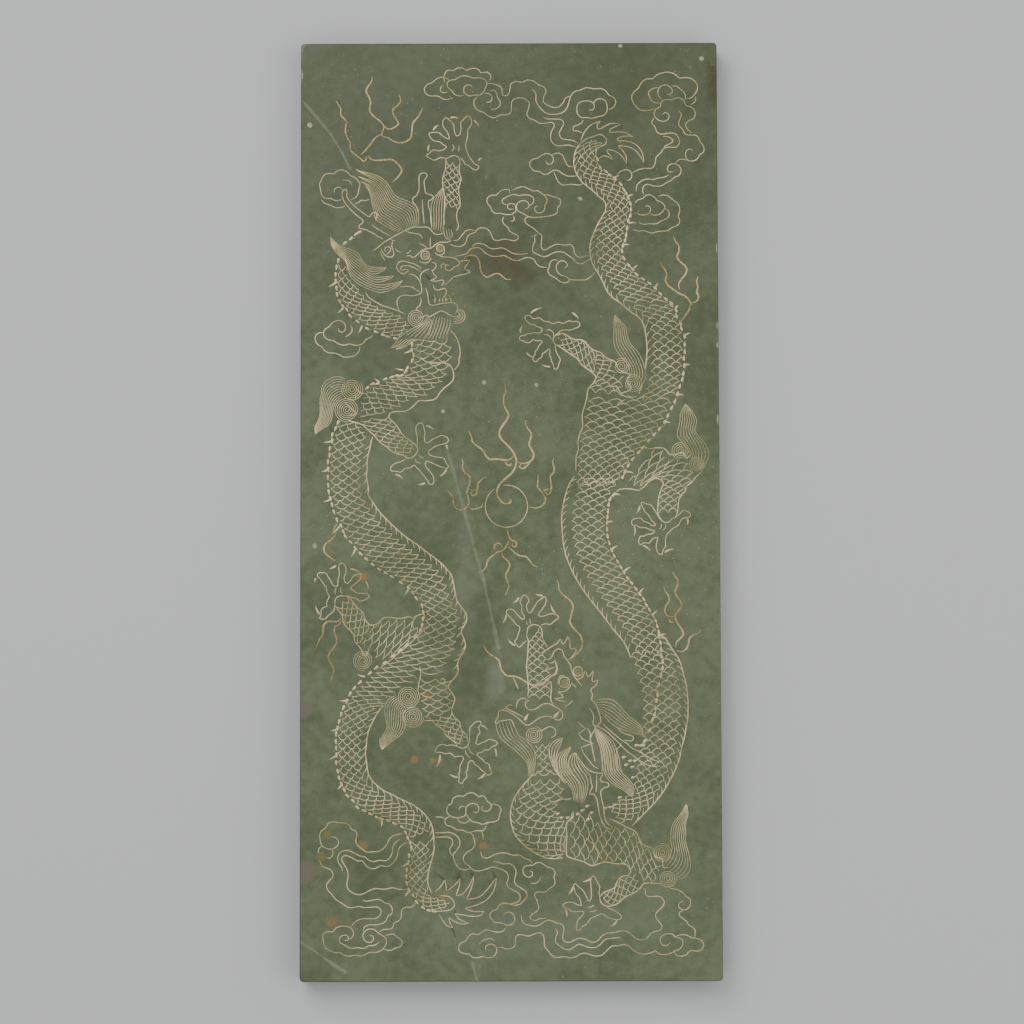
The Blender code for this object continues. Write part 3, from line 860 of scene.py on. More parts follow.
@dataclass(frozen=True)
class Jade:
    """Finish of the polished stone.

    Attributes:
        deep: the darker green.
        pale: the lighter green.
        shade: the tone towards the top end.
        groove_shade: painted shade, the darker green painted into the grooves beside the gold.
        face: height of the engraved face, in millimetres.
        roughness: of the polish.
    """
    deep: tuple[int, int, int] = (83, 94, 60)
    pale: tuple[int, int, int] = (107, 117, 83)
    shade: tuple[int, int, int] = (62, 69, 34)
    groove_shade: tuple[int, int, int] = (58, 62, 32)
    face: float = 9.0
    roughness: float = 0.34

    def material(self) -> bpy.types.Material:
        """Builds the stone's material from object coordinates in millimetres.

        Returns:
            The material.
        """
        made, m, place = new_finish("jade")
        parts = m.node("ShaderNodeSeparateXYZ", None, {0: place})
        x, y = Sock(m, parts.outputs[0]), Sock(m, parts.outputs[1])
        cloudy = grain(m, place, scale=0.045, detail=5.0, distortion=0.6)
        mottle = grain(m, place, scale=0.35, detail=6.0)
        fine = grain(m, place, scale=2.2, detail=3.0)
        tone = (cloudy * 0.5 + mottle * 0.35 + fine * 0.15).ramp(0.36, 0.64)
        colour = mix(m, tone, linear(*self.deep), linear(*self.pale))
        colour = mix(m, y.ramp(-20.0, 150.0, 0.0, 0.55), colour, linear(*self.shade))
        ragged = grain(m, place, scale=0.16, detail=5.0) - 0.5
        rough_edge = grain(m, place, scale=0.9, detail=3.0) - 0.5
        for patch in PATCHES:
            dx, dy = (x - patch.x) / patch.wide, (y - patch.y) / patch.tall
            gap = (dx * dx + dy * dy).root() + (ragged + rough_edge * 0.6) * (patch.ragged * 2)
            share = gap.ramp(1.0, patch.hard * 0.9, 0.0, patch.strength)
            colour = mix(m, share, colour, linear(*patch.tint))
        for vein in VEINS:
            for (ax, ay), (bx, by) in zip(vein.points, vein.points[1:]):
                length = math.hypot(bx - ax, by - ay)
                ux, uy = (bx - ax) / length, (by - ay) / length
                px, py = x - ax, y - ay
                along = (px * ux + py * uy).most(0.0).least(length)
                ox, oy = px - along * ux, py - along * uy
                gap = (ox * ox + oy * oy).root() + (ragged * 2.2 + rough_edge) * vein.width
                colour = mix(m, gap.ramp(vein.width, 0.0, 0.0, vein.strength), colour, linear(*vein.tint))
        where = grain(m, place, scale=0.05, detail=2.0).ramp(0.48, 0.66)
        fleck = specks(m, place, scale=0.55, edge=0.14, core=0.05) * where
        colour = mix(m, fleck * 0.55, colour, linear(190, 184, 140))
        crowd = grain(m, place, scale=0.035, detail=3.0).ramp(0.42, 0.62, 0.15, 1.0)
        mote = specks(m, place, scale=1.1, edge=0.2, core=0.06) * crowd
        colour = mix(m, mote * 0.32, colour, linear(176, 176, 132))
        pit = specks(m, place, scale=1.5, edge=0.16, core=0.05)
        colour = mix(m, pit * 0.25, colour, linear(70, 78, 52))
        # Painted shade: the stone turns darker where it lies below the face, standing in for the shadow in
        # the grooves.
        groove_shade_mask = Sock(m, parts.outputs[2]).ramp(self.face - 0.015, self.face - 0.1, 0.0, 0.75)
        colour = mix(m, groove_shade_mask, colour, linear(*self.groove_shade))
        height = fine * 0.25 + mottle * 0.5 - pit * 0.5
        bump = m.node("ShaderNodeBump", None, {"Strength": 0.12, "Distance": 0.00008, "Height": height})
        shine = (mottle * 0.5 + fine * 0.5).ramp(0.3, 0.7, self.roughness - 0.05, self.roughness + 0.08)
        shader = m.node("ShaderNodeBsdfPrincipled", None,
                        {"Base Color": colour, "Roughness": shine, "Normal": bump.outputs[0], "IOR": 1.6,
                         "Subsurface Weight": 0.06, "Subsurface Scale": 0.002, "Coat Weight": 0.0})
        m.node("ShaderNodeOutputMaterial", None, {0: shader.outputs[0]})
        return made


@dataclass(frozen=True)
class Gold:
    """Finish of the gold in the strokes.

    Attributes:
        name: of the material.
        bright: where the gold is whole.
        worn: where it has rubbed away.
        roughness: of the gold.
        coarse: size of its patches, per millimetre.
    """
    name: str
    bright: tuple[int, int, int] = (250, 232, 178)
    worn: tuple[int, int, int] = (178, 168, 116)
    roughness: float = 0.42
    coarse: float = 0.5

    def material(self) -> bpy.types.Material:
        """Builds the gold's material.

        Returns:
            The material.
        """
        made, m, place = new_finish(self.name)
        broad = grain(m, place, scale=0.07, detail=3.0)
        spots = grain(m, place, scale=self.coarse)
        grit = grain(m, place, scale=4.0, detail=2.0)
        rubbed = (broad * 0.5 + spots * 0.3 + grit * 0.2).ramp(0.38, 0.6)
        colour = mix(m, rubbed, linear(*self.worn), linear(*self.bright))
        bump = m.node("ShaderNodeBump", None, {"Strength": 0.35, "Distance": 0.00006, "Height": grit})
        shine = grit.ramp(0.3, 0.7, self.roughness - 0.08, self.roughness + 0.14)
        shader = m.node("ShaderNodeBsdfPrincipled", None,
                        {"Base Color": colour, "Roughness": shine, "Metallic": 0.35,
                         "Normal": bump.outputs[0]})
        m.node("ShaderNodeOutputMaterial", None, {0: shader.outputs[0]})
        return made


@dataclass(frozen=True)
class Gilding:
    """Gold that lies in a group of strokes as low, closed beads.

    Attributes:
        sides: corners around a bead.
        flatness: a bead's height as a share of its width.
        gap: how far the gold stays below the face, in millimetres.
        grain: how far the gold's surface wanders, as a share of the bead's width.
        spread: a bead's width as a share of its groove's.
        grit: how fine the wandering is, in waves to the metre.
    """
    sides: int = 6
    flatness: float = 0.3
    gap: float = 0.015
    grain: float = 0.1
    spread: float = 0.8
    grit: float = 3200.0

    def build(self, name: str, strokes: Sequence[Stroke], face: float,
              finish: bpy.types.Material) -> bpy.types.Object:
        """Lays gold along the strokes.

        Args:
            name: of the piece.
            strokes: what it fills.
            face: height of the slab's face, in metres.
            finish: the gold.

        Returns:
            The gold as one mesh, at the origin.
        """
        curve = bpy.data.curves.new(name + "_lines", "CURVE")
        curve.dimensions = "3D"
        for stroke in strokes:
            count = len(stroke.line)
            spline = curve.splines.new("POLY")
            spline.points.add(count - 1)
            places = np.c_[stroke.line * MM, np.zeros(count), np.ones(count)]
            spline.points.foreach_set("co", places.ravel())
            spline.points.foreach_set("radius", stroke.half * self.spread * MM)
        source = bpy.data.objects.new(name + "_lines", curve)
        bpy.context.scene.collection.objects.link(source)
        tree = self._tree(name)
        modifier = source.modifiers.new("gold", "NODES")
        modifier.node_group = tree
        values = {"Height": face - self.gap * MM, "Flatness": self.flatness, "Grain": self.grain,
                  "Finish": finish}
        for item in tree.interface.items_tree:
            if item.item_type == "SOCKET" and item.name in values:
                modifier[item.identifier] = values[item.name]
        graph = bpy.context.evaluated_depsgraph_get()
        mesh = bpy.data.meshes.new_from_object(source.evaluated_get(graph), depsgraph=graph)
        mesh.name = name
        piece = bpy.data.objects.new(name, mesh)
        bpy.context.scene.collection.objects.link(piece)
        bpy.data.objects.remove(source)
        LOG.info("%s: %d triangles", name, sum(len(p.vertices) - 2 for p in mesh.polygons))
        return piece

    def _tree(self, name: str) -> bpy.types.NodeTree:
        """Geometry nodes: each line swept by a ring, pressed flat, roughened and given its finish.

        Args:
            name: of the piece.

        Returns:
            The node tree, with its sizes as named inputs.
        """
        tree = bpy.data.node_groups.new(name + "_gold", "GeometryNodeTree")
        tree.interface.new_socket("Geometry", in_out="INPUT", socket_type="NodeSocketGeometry")
        for label, kind in (("Height", "NodeSocketFloat"), ("Flatness", "NodeSocketFloat"),
                            ("Grain", "NodeSocketFloat"), ("Finish", "NodeSocketMaterial")):
            tree.interface.new_socket(label, in_out="INPUT", socket_type=kind)
        tree.interface.new_socket("Geometry", in_out="OUTPUT", socket_type="NodeSocketGeometry")
        g = NodeMaker(tree)
        given = g.node("NodeGroupInput").outputs
        radius = g.node("GeometryNodeInputRadius").outputs[0]
        kept = g.node("GeometryNodeCaptureAttribute", None, {"Geometry": given["Geometry"]})
        kept.capture_items.new("FLOAT", "Radius")
        g.feed(kept.inputs[1], radius)
        up = g.node("GeometryNodeSetCurveNormal", {"mode": "Z_UP"}, {"Curve": kept.outputs[0]})
        ring = g.node("GeometryNodeCurvePrimitiveCircle", None, {"Resolution": self.sides, "Radius": 1.0})
        swept = g.node("GeometryNodeCurveToMesh", None,
                       {"Curve": up.outputs[0], "Profile Curve": ring.outputs[0], "Fill Caps": True,
                        "Scale": kept.outputs[1]})
        where = g.node("GeometryNodeInputPosition").outputs[0]
        parts = g.node("ShaderNodeSeparateXYZ", None, {0: where})
        x, y, z = (Sock(g, s) for s in parts.outputs)
        half = Sock(g, kept.outputs[1])
        fuzz = g.node("ShaderNodeTexNoise", None, {"Vector": where, "Scale": self.grit, "Detail": 1.0})
        rough = g.node("ShaderNodeSeparateXYZ", None, {0: fuzz.outputs["Color"]})
        amount = half * given["Grain"] * 2
        dx, dy, dz = (Sock(g, s) - 0.5 for s in rough.outputs)
        level = (z - half) * given["Flatness"] + given["Height"]
        height = (level + dz * amount * 0.5).least(Sock(g, given["Height"]))
        placed = g.node("ShaderNodeCombineXYZ", None, {0: x + dx * amount, 1: y + dy * amount, 2: height})
        moved = g.node("GeometryNodeSetPosition", None,
                       {"Geometry": swept.outputs[0], "Position": placed.outputs[0]})
        smooth = g.node("GeometryNodeSetShadeSmooth", None, {"Geometry": moved.outputs[0]})
        real = g.node("GeometryNodeRealizeInstances", None, {"Geometry": smooth.outputs[0]})
        done = g.node("GeometryNodeSetMaterial", None,
                      {"Geometry": real.outputs[0], "Material": given["Finish"]})
        g.node("NodeGroupOutput", None, {0: done.outputs[0]})
        return tree


@dataclass(frozen=True)
class Studio:
    """Pale floor, soft lights and the camera.

    Attributes:
        floor: display colour of the floor.
        lens: focal length in millimetres.
        distance: from the camera to the middle of the face, in metres.
        tilt: how far the camera leans from straight down, in degrees.
        roll: turn about its own line of sight, in degrees.
        aim: what it looks at, in metres.
        floor_reach: from the slab to the floor's edges, in metres.
        floor_roughness: of the floor.
        sky: scene-linear colour of the room's light.
        sky_strength: of the room's light.
        sensor: width of the camera's sensor in millimetres.
    """
    floor: tuple[int, int, int] = (214, 214, 212)
    lens: float = 114.85
    distance: float = 1.0
    tilt: float = 3.9
    roll: float = -0.16
    aim: tuple[float, float, float] = (0.0004, -0.0013, 0.009)
    floor_reach: float = 3.0
    floor_roughness: float = 0.9
    sky: tuple[float, float, float, float] = (0.93, 0.95, 1.0, 1.0)
    sky_strength: float = 0.55
    sensor: float = 36.0

    def build(self) -> None:
        """Makes the floor, the lights and the camera."""
        self._floor()
        world = bpy.data.worlds.new("soft_room")
        world.use_nodes = True
        background = world.node_tree.nodes["Background"]
        background.inputs["Color"].default_value = self.sky
        background.inputs["Strength"].default_value = self.sky_strength
        bpy.context.scene.world = world
        self._lamp("key", place=(-0.55, 0.75, 1.1), size=0.9, power=9.0)
        self._lamp("fill", place=(0.9, -0.2, 0.9), size=1.1, power=4.0)
        self._camera()

    def _floor(self) -> None:
        """A wide plain floor under the slab."""
        mesh = bpy.data.meshes.new("floor")
        reach = self.floor_reach
        corners = [(-reach, -reach, 0), (reach, -reach, 0), (reach, reach, 0), (-reach, reach, 0)]
        mesh.from_pydata(corners, [], [(0, 1, 2, 3)])
        floor = bpy.data.objects.new("floor", mesh)
        bpy.context.scene.collection.objects.link(floor)
        made = bpy.data.materials.new("paper")
        made.use_nodes = True
        shader = made.node_tree.nodes["Principled BSDF"]
        shader.inputs["Base Color"].default_value = linear(*self.floor)
        shader.inputs["Roughness"].default_value = self.floor_roughness
        mesh.materials.append(made)

    def _lamp(self, name: str, place: tuple[float, float, float], size: float, power: float) -> None:
        """A square soft light that faces the slab.

        Args:
            name: of the light.
            place: in metres.
            size: side length in metres.
            power: in watts.
        """
        light = bpy.data.lights.new(name, "AREA")
        light.size = size
        light.energy = power
        lamp = bpy.data.objects.new(name, light)
        lamp.location = place
        lamp.rotation_euler = (Vector(self.aim) - Vector(place)).to_track_quat("-Z", "Y").to_euler()
        bpy.context.scene.collection.objects.link(lamp)

    def _camera(self) -> None:
        """The camera above the slab, as in the photograph."""
        data = bpy.data.cameras.new("camera")
        data.lens = self.lens
        data.sensor_width = self.sensor
        camera = bpy.data.objects.new("camera", data)
        lean = math.radians(self.tilt)
        camera.location = Vector(self.aim) + Vector((0, -math.sin(lean), math.cos(lean))) * self.distance
        camera.rotation_euler = (lean, 0, math.radians(self.roll))
        bpy.context.scene.collection.objects.link(camera)
        bpy.context.scene.camera = camera


# Clouds by their place on the face, and the lines in them
CLOUDS = {
 "top": [
  [(-19.7,131.5),(-20.2,133.4),(-20,134),(-19,135.5),(-17.1,135.4),(-17.1,135.4),(-16,136.2),
     (-14.4,136.3),(-13.1,135.5),(-13.1,135.5),(-11.5,136.1),(-9.8,136),(-8.6,134.7),(-8.6,134.7),
     (-6.6,134.9),(-5.5,133.6),(-6.1,132.1)],
  [(-18.5,132.6),(-20.3,133.4),(-22.3,132.9),(-23.7,131.7),(-25.1,131.2),(-26.1,129.9),(-25.8,128.5),
     (-24.5,127.6),(-22,127.5),(-19.7,126.4),(-17.3,126.9)],
  [(-20,131),(-21,130.3),(-21.1,129),(-20,128.5),(-18.8,128.9)],
  [(-13.8,127.8),(-15.2,127.5),(-16.6,127.9),(-17.8,129.3),(-19,130.5),(-18.9,131.9),(-17.8,132.5),
     (-16.4,132.7),(-14.9,133.7),(-13.2,133.8),(-11,133.1),(-8.5,133.1),(-7.2,132.4),(-6.8,131.3),
     (-7.3,129.9),(-7.8,128.8),(-8.9,127.8),(-10.7,127.8),(-12.1,127.5),(-13.4,128.2),(-14,129.3),
     (-13.5,130.6),(-12.4,131),(-11.6,130.7),(-11.3,130)],
  [(-9.6,127.4),(-10.7,126.2),(-10.7,124.5),(-9.6,123),(-7.9,122.4),(-6.5,121.3),(-4.7,120.7),
     (-2.5,121.6),(-0.6,121.6),(0.6,122.4),(0.7,124.2),(0.9,125.7),(1.8,126.6),(3.4,126.9),(5.1,126.5),
     (6.2,125.4),(6.1,123.7),(5.5,121.7),(6.2,120.6),(7.9,119.9),(9.6,118.9),(11.6,119),(13.3,119.2),
     (14,118.3),(13.1,116.4),(12.8,114.4),(13.5,112.7),(15,111.9),(16.9,112),(18.6,112.1),(20.6,111.4)],
  [(-7.5,128.3),(-6.2,128.2),(-5.2,127.1),(-5.6,125.8),(-7,125.5)],
  [(-5.9,128.9),(-4.8,129.3),(-3.9,128.6),(-3.5,127.1),(-2.7,125.8),(-2.8,124.5),(-3.9,123.5),(-5.5,123.3)],
  [(-6.8,131.4),(-5.1,131.4),(-3.7,130.8),(-2.5,130.3),(-2.1,129),(-2,127.8),(-1,127.5),(0,128.2),
     (0.3,129.9),(0.7,131.3),(2.3,132),(4.1,131.7),(5.6,132.4),(7.6,132.1),(9.2,130.9),(10.7,130.3),
     (11.5,128.8),(10.7,127.1),(10.7,125.5),(12.3,124.4),(14.1,123.8),(15.7,124.2),(16.8,125.5),
     (17.5,126.8),(18.8,127.4)],
  [(7.2,129.6),(8.3,128.2),(8.4,125.7),(9.9,123.4),(11.6,122),(14.4,121.7),(16.6,122.3),(18,123.8),
     (18.6,125.9),(19.2,127.6),(20.3,128.8),(22,129.2),(24,130),(26.3,129.6),(28.5,129.7),(29.9,129),
     (30.9,127.6),(32.1,127.1),(33,125.7),(32.4,124),(30.9,123.1)],
  [(24.6,123.1),(25.8,123),(26.4,124.2),(25.8,125.4),(24.2,125.9),(22.3,125.6),(21.1,124.5),(21.1,122),
     (22.3,120.7),(24,120.7),(25.6,120.4),(27.3,120.9),(29.3,121.4),(30.3,122.8),(30.3,124.5),
     (29.7,125.9),(28.2,126.6),(26.8,126.1),(26,125.2)],
  [(10.4,120.9),(11.9,120.3),(14.7,120.2),(16.2,120),(16.9,118.9),(16.1,117.2),(15.5,115.8),(16.2,114.2),
     (18,113.8),(19.8,113.5),(21.2,112.7)],
  [(23,119.9),(22.3,118.9),(20.8,118.2),(19.8,117.8),(20,116.6),(21.1,116.5),(22.7,115.9)],
 ],
 "by_tail": [
  [(11.3,107.2),(11.9,106.2),(13,106.3),(13.7,107.6),(13.1,109),(11.6,109.5),(9.9,108.9),(8.7,108),
     (7.3,107.7),(6.3,106.5),(6.8,104.9),(7.9,104),(9.3,103.9),(10.7,103),(12.1,103.2),(13.5,104.2),
     (15,104.2),(16.4,103.2),(18.3,102.4),(20.6,102.5)],
  [(13.3,109.2),(15,109.6),(16.4,109),(17.1,107.6),(17.8,106.1),(18.6,105.4),(19.8,105.4)],
  [(13.8,103.8),(14.4,102.2),(15.2,100.6),(16.5,99.7),(19,99.9),(22,99.7),(22.8,100.2)],
 ],
 "top_right": [
  [(45.1,123.4),(42.6,122.8),(40.3,123.1),(38.3,125.4),(37.9,127.1),(38.6,128.6),(40,129.8),(40,129.8),
     (40.7,131.2),(42.3,132.6),(44.3,132.7),(44.3,132.7),(46,134.1),(48.8,134.8),(51,134.3),(52.7,132.9),
     (52.7,132.9),(54.7,133.1),(56.7,132.6),(58.1,131),(58.2,129.3),(57.2,127.6),(56,126.6),(54.8,126.5)],
  [(48.6,127.9),(49.6,127.8),(50.5,128.6),(50,130),(48.5,130.8),(46.8,130.3),(46,129),(46.2,127.4),
     (47.4,126.2)],
  [(46.1,130),(44.3,129.6),(43.1,128.5),(43.3,127.4),(44.1,125.9),(45.1,125.2),(46.8,125.1)],
  [(50.2,130.5),(51.9,130.3),(53.3,129.2),(54.3,128.1),(54.6,126.2)],
  [(47.4,121.6),(48.2,122.2),(49.3,121.6),(49.2,120.2),(47.8,119.4),(46,119.9),(44.8,121.4),(45.2,123),
     (46.7,124.1),(47.1,125.4),(48.2,126.2),(50.2,126.1),(52.2,126.8),(53.9,126),(54.7,124.4),
     (56.4,123.8),(57.5,122.3),(57.1,120.4),(55.5,119.6),(54.5,118.3),(55.1,116.9),(56.4,115.8)],
  [(57.7,127.1),(57.5,125.7),(56.1,124.5)],
  [(52.3,122.7),(53.2,121.7),(52.7,120),(52.4,118.3),(53.6,116.9),(54.3,115.5),(55.5,115.1),(57.5,115.1),
     (58.4,114.4),(58.9,113.1),(60,111.6),(60,109.9),(58.8,109),(57.8,107.5),(56.1,107),(54.8,107.6),
     (54.4,109),(54.8,110.3),(55.8,110.8),(56.7,110.3)],
  [(55,107.3),(52.7,107.6),(51.3,106.6)],
  [(50.5,103.7),(49.2,103.7),(48.8,104.9),(49.6,106),(51,106.2),(52.6,105.3),(53,103.9),(52.3,102.5),
     (51,102),(49.9,101),(48.3,100.2),(46.8,99.3),(44.5,99.3),(42.6,99.8),(41.5,99.3),(41.1,98),
     (41.4,96.6)],
  [(49.2,102.8),(47.9,102),(46,101.8),(44.5,101.3),(42.6,101.5),(40.6,100.8),(39.4,99.5),(39.1,97.6)],
  [(44.7,120.4),(44,119),(45,117.8),(45.7,116.1),(47.1,115.4),(49.6,115.8),(51.3,115.5),(52.4,114.1),
     (52.6,112.7),(51.6,111.4),(49.3,111.4),(47.8,111),(46.8,109.6),(45.4,108.3),(45,106.2),(44.1,104.9),
     (41.7,104.8),(39.8,104.4),(38,103.4)],
  [(47.6,114.8),(49.6,114.4),(50.6,113.4),(49.6,112.4),(48.2,111.8),(47.5,110.7)],
  [(33.3,102.8),(34.4,103.9),(36.1,104.4),(37.5,103.7),(37.8,102.2),(36.9,101.1),(36.2,101.1)],
 ],
 "behind_horn": [
  [(-51.7,95.3),(-53.4,95),(-55,95.7),(-56.9,95.8),(-57.9,97.1),(-58.2,98.8),(-58.5,100.1),(-57.9,101.4),
     (-56.9,103.1),(-55.5,103.5),(-54,103.4),(-54,103.4),(-52.7,104.4),(-51.6,104.6),(-50.2,104.1),
     (-48.8,102.7),(-48.8,102.7),(-47.4,102.1),(-46,100.1),(-46.4,98.4),(-46.7,96.8),(-47.6,95.8),
     (-48.8,95.2)],
  [(-57.8,95.5),(-57.2,94.4),(-55.4,93.7),(-53.7,92.9),(-52.1,92.8),(-50.6,93.3)],
  [(-47.5,94),(-46.5,94.4),(-45.7,95.1),(-44.2,95),(-43,95.4)],
  [(-51.3,101.4),(-50,101.4),(-49,100.9),(-48.5,99.9)],
  [(-53.8,97.4),(-53.9,98.4),(-53.1,99.1),(-52.1,99.1),(-51.4,98.5)],
 ],
 "middle": [
  [(0,97.2),(0.1,98.2),(-2,98.2),(-3.4,97.2),(-3.9,96.6),(-3.9,96.6),(-5.6,96.5),(-6.8,95.5),(-6.8,94.3),
     (-5.8,93),(-5.8,93),(-5.4,91.9),(-4.5,91),(-2.5,90.9),(-0.8,90.5),(0.9,90.7),(2,91.6),(2.1,92.4),
     (1.7,93.6),(0.6,94),(-0.4,93.6),(-0.5,92.7),(0.3,92.1),(1.3,92.3)],
  [(0.8,98),(2,98.6),(4.2,99.2),(5.9,98.6),(7.3,97.8),(7.3,97.8),(8.7,97.9),(9.9,97.2),(10.6,96.6),
     (10.6,96.6),(11.9,96.7),(13.3,96.1),(13.3,96.1),(14.7,95.8),(15.8,95),(15.7,93.6),(14.8,92.6),
     (14.8,92.6),(14.8,91.2),(13.5,90.3),(11.8,90),(9.9,89.7),(7.6,89.6),(5.8,89.9),(4.2,90.9),
     (2.8,91.6),(2.2,92.7),(2.4,93.8),(3.4,94.7),(4.8,94.8),(5.9,94.1),(6.1,93.1),(5.5,92.4),(4.7,92.4)],
  [(-0.8,93.6),(-2,94.1),(-2.2,95),(-1.4,95.7),(0,96.4),(1.4,96.8),(3.1,96.4),(3.1,96.4),(4.5,96.7),
     (6.2,96.5),(7.3,95.8),(7.6,94.7),(7,93.7),(6.2,93.3)],
  [(10.7,96.5),(11.6,95.5),(11.6,94.4),(11,93.4),(10.9,92.1),(10.2,91.3),(9,91),(8.2,91.4),(7.8,92.4),
     (8.2,93.1),(9,93.2)],
  [(1.3,90.2),(1.6,89.3),(1.1,88.5),(0.4,88.5)],
  [(-1.7,89.9),(-2.1,89),(-1.8,87.8),(-0.4,86.5),(0.1,85.4),(1.7,84.5),(2.8,83.7),(2.5,82.8),(1.4,82.4),
     (0,82.7),(-1.7,82.9),(-3.4,82.5),(-4.7,82.7),(-5.4,84),(-6.2,85.5),(-7.3,86.3),(-9,86.4),
     (-10.1,85.7),(-10.4,85.1),(-12.1,84.5),(-13,83.4),(-13.5,81.7),(-14.7,80.8),(-16.4,80.7),(-18.3,81.3)],
  [(-10.6,85.5),(-12.1,85.9),(-13.5,85.4),(-14.7,84),(-15.9,82.7),(-17.3,82.5)],
  [(5.8,89.9),(4.8,89.2),(5.1,87.9),(6.5,86.9),(7.9,85.9),(9,84.8),(10,84.1),(9.9,82.6),(9.9,80.3),
     (10.7,79.5),(12.4,80.3),(14.1,81.2),(15.5,81.3),(16.9,80.9),(18.6,81.2),(19.7,80.3),(20,78.6),
     (20.9,77.5),(22,77.2),(23.1,77.5),(24.3,77.8)],
  [(8.6,84.5),(7.8,83.8),(7.9,82.3),(7.2,80.6),(7.3,79),(9,78),(10.7,77.4),(12.1,77.8),(13.5,78.6),
     (15,79),(16.9,78.7),(18.1,77.8),(19.5,76.9),(20.6,75.6),(22.1,75.2),(23.4,75.8),(24.8,76.6)],
  [(6.6,83.7),(8.6,84.1)],
  [(26.3,72.4),(25.4,71.6),(23.7,70.3),(22,70.2),(19.7,70.2),(18.3,70.4),(17.5,71.3),(16.1,71.6),
     (14.8,72.7),(14.4,74.4),(15,75.6),(16.4,76.2),(17.6,75.5),(17.8,74.5),(16.9,73.9)],
  [(15,76.2),(13.8,76.5),(12.6,75.8),(12.3,74.4),(11.8,73),(12.6,71.7),(14.4,70.7),(15.5,69.7),
     (16.9,69.3),(18.2,69.7),(18.6,70.3)],
 ],
 "right": [
  [(38.7,94),(39.7,95),(41.1,95.4),(41.1,95.4),(42.1,96.3),(43.2,96.6),(44.5,96),(45.6,94.8),(45.6,94.8),
     (47.2,94),(48,92.8),(47.2,91.3),(46,90.4),(44.8,90.2),(43.5,90.6)],
  [(41.8,92.9),(42.5,93.2),(43.4,92.7),(43.5,91.7),(43,90.7),(41.8,90.3),(40.2,90.4),(39,91.1)],
  [(48.1,92.4),(49,91.5),(49.3,90.2),(48.6,89.2),(47,88.5),(45.5,87.6),(44,87.5),(43,87.6),(41.8,87.4),
     (40.6,87.6),(39.6,88.2)],
  [(46,96.1),(47.5,96.5),(49,96.2),(50.3,95.1),(51.8,94),(52.5,92.6),(52.4,91),(52,89.9),(52.5,88.8),
     (52.3,87.6),(51.3,86.8),(50.2,86.4),(48.9,85.5),(47.2,85.2),(45.8,85.2),(44.2,84.7),(42.6,85),
     (41.4,85.5),(39.9,85.3),(38.1,85.7)],
 ],
 "left": [
  [(-50.4,52.7),(-49.5,53.4),(-48.5,54.3),(-48.4,55.4),(-48.7,56.2)],
  [(-52.6,55.4),(-52.4,54.5),(-51.5,54.2),(-50.6,54.8),(-50.4,56.1),(-50.9,57.1),(-52,57.8),(-53.2,57.8),
     (-54.5,57.1),(-55.4,56),(-56.6,55.2),(-57.2,54),(-56.8,52.8),(-55.8,51.9),(-54,51.6),(-52.9,50.8),
     (-51.6,50.3),(-50.2,50.3),(-49.3,50.6),(-47.8,50.2),(-46.3,50.2),(-45,50.8),(-44.1,52),(-43,52.4),
     (-42.1,53.2)],
  [(-57.2,54),(-58.4,54.1),(-59.5,53.3),(-59.7,51.8),(-59,50.5),(-57.7,49.7),(-56.8,48.5),(-55.4,47.8),
     (-53.7,47.8),(-52.4,47.3),(-51.2,46.6),(-49.6,46.5),(-48,46.8),(-46.6,47.8),(-46,49),(-46,50)],
 ],
 "lower_middle": [
  [(-15.8,-92),(-15.6,-91.4),(-14.7,-91),(-13.7,-91.2)],
  [(-13.6,-91.5),(-13.7,-93),(-14,-93.8),(-15.5,-94.4),(-17.2,-94.4),(-18.7,-93.8),(-19.5,-92.5),
     (-19.2,-91),(-18,-90.1),(-18,-90.1),(-17.6,-88.7),(-16.2,-87.9),(-14.4,-88),(-14.4,-88),
     (-13.3,-87.2),(-11.8,-86.9),(-10.5,-87.5),(-9.8,-88.2),(-9.8,-88.2),(-8.6,-87.8),(-7.8,-88.3),
     (-7.2,-89.5),(-6,-90.5),(-6.2,-91.8),(-7.2,-92.5),(-8.4,-92.4),(-9,-91.6),(-8.4,-91)],
  [(-11.6,-92.5),(-11,-93),(-10.1,-92.7),(-9.7,-91.8),(-10.2,-90.6),(-11.5,-90.1),(-12.8,-90.5),
     (-13.7,-91.8),(-13.6,-93.4),(-12.7,-94.8),(-11.6,-95.7),(-10.1,-96),(-8.5,-96.5),(-7.1,-95.9),
     (-5.5,-95.8),(-4,-95.3),(-3.5,-94),(-3.5,-93.4),(-3.5,-93.4),(-3,-92.2),(-3.5,-91),(-4.8,-90.4),
     (-6,-90.4)],
  [(-16.3,-94.6),(-15.8,-95.6),(-14.5,-96.1),(-13.2,-95.8),(-12.4,-95)],
  [(-23,-94.2),(-21,-94.3),(-19.7,-94.9)],
  [(-18.7,-94.1),(-19.7,-94.6),(-20.1,-95.6),(-19.7,-96.6),(-18.2,-97.1),(-17.6,-97.5),(-17.6,-97.5),
     (-16.2,-98.2),(-14.7,-98.2),(-13.3,-98.9),(-11.9,-98.8),(-10.7,-98.4),(-9,-98.5),(-8,-98),(-7.5,-97)],
  [(-7.6,-96.5),(-6.8,-96.2)],
  [(-12.6,-98.8),(-11.5,-99.9),(-11.2,-101.2),(-10.9,-102.4),(-11.6,-103.8),(-13.3,-104.9),
     (-14.5,-106.4),(-14.2,-107.9),(-12.8,-109.1),(-11.5,-110.3),(-9.8,-110.6),(-8,-110.2),(-5.5,-109.4),
     (-4,-109.7),(-2.3,-110.4),(-1.2,-111.2),(-0.8,-112.6),(-1.3,-114.2),(-0.8,-115.6),(0.7,-116.4),
     (2.2,-117.3),(2.8,-118.4),(2.4,-119.6),(1.2,-120.3),(-0.6,-120.6),(-2.2,-120.3),(-3.6,-120.9),
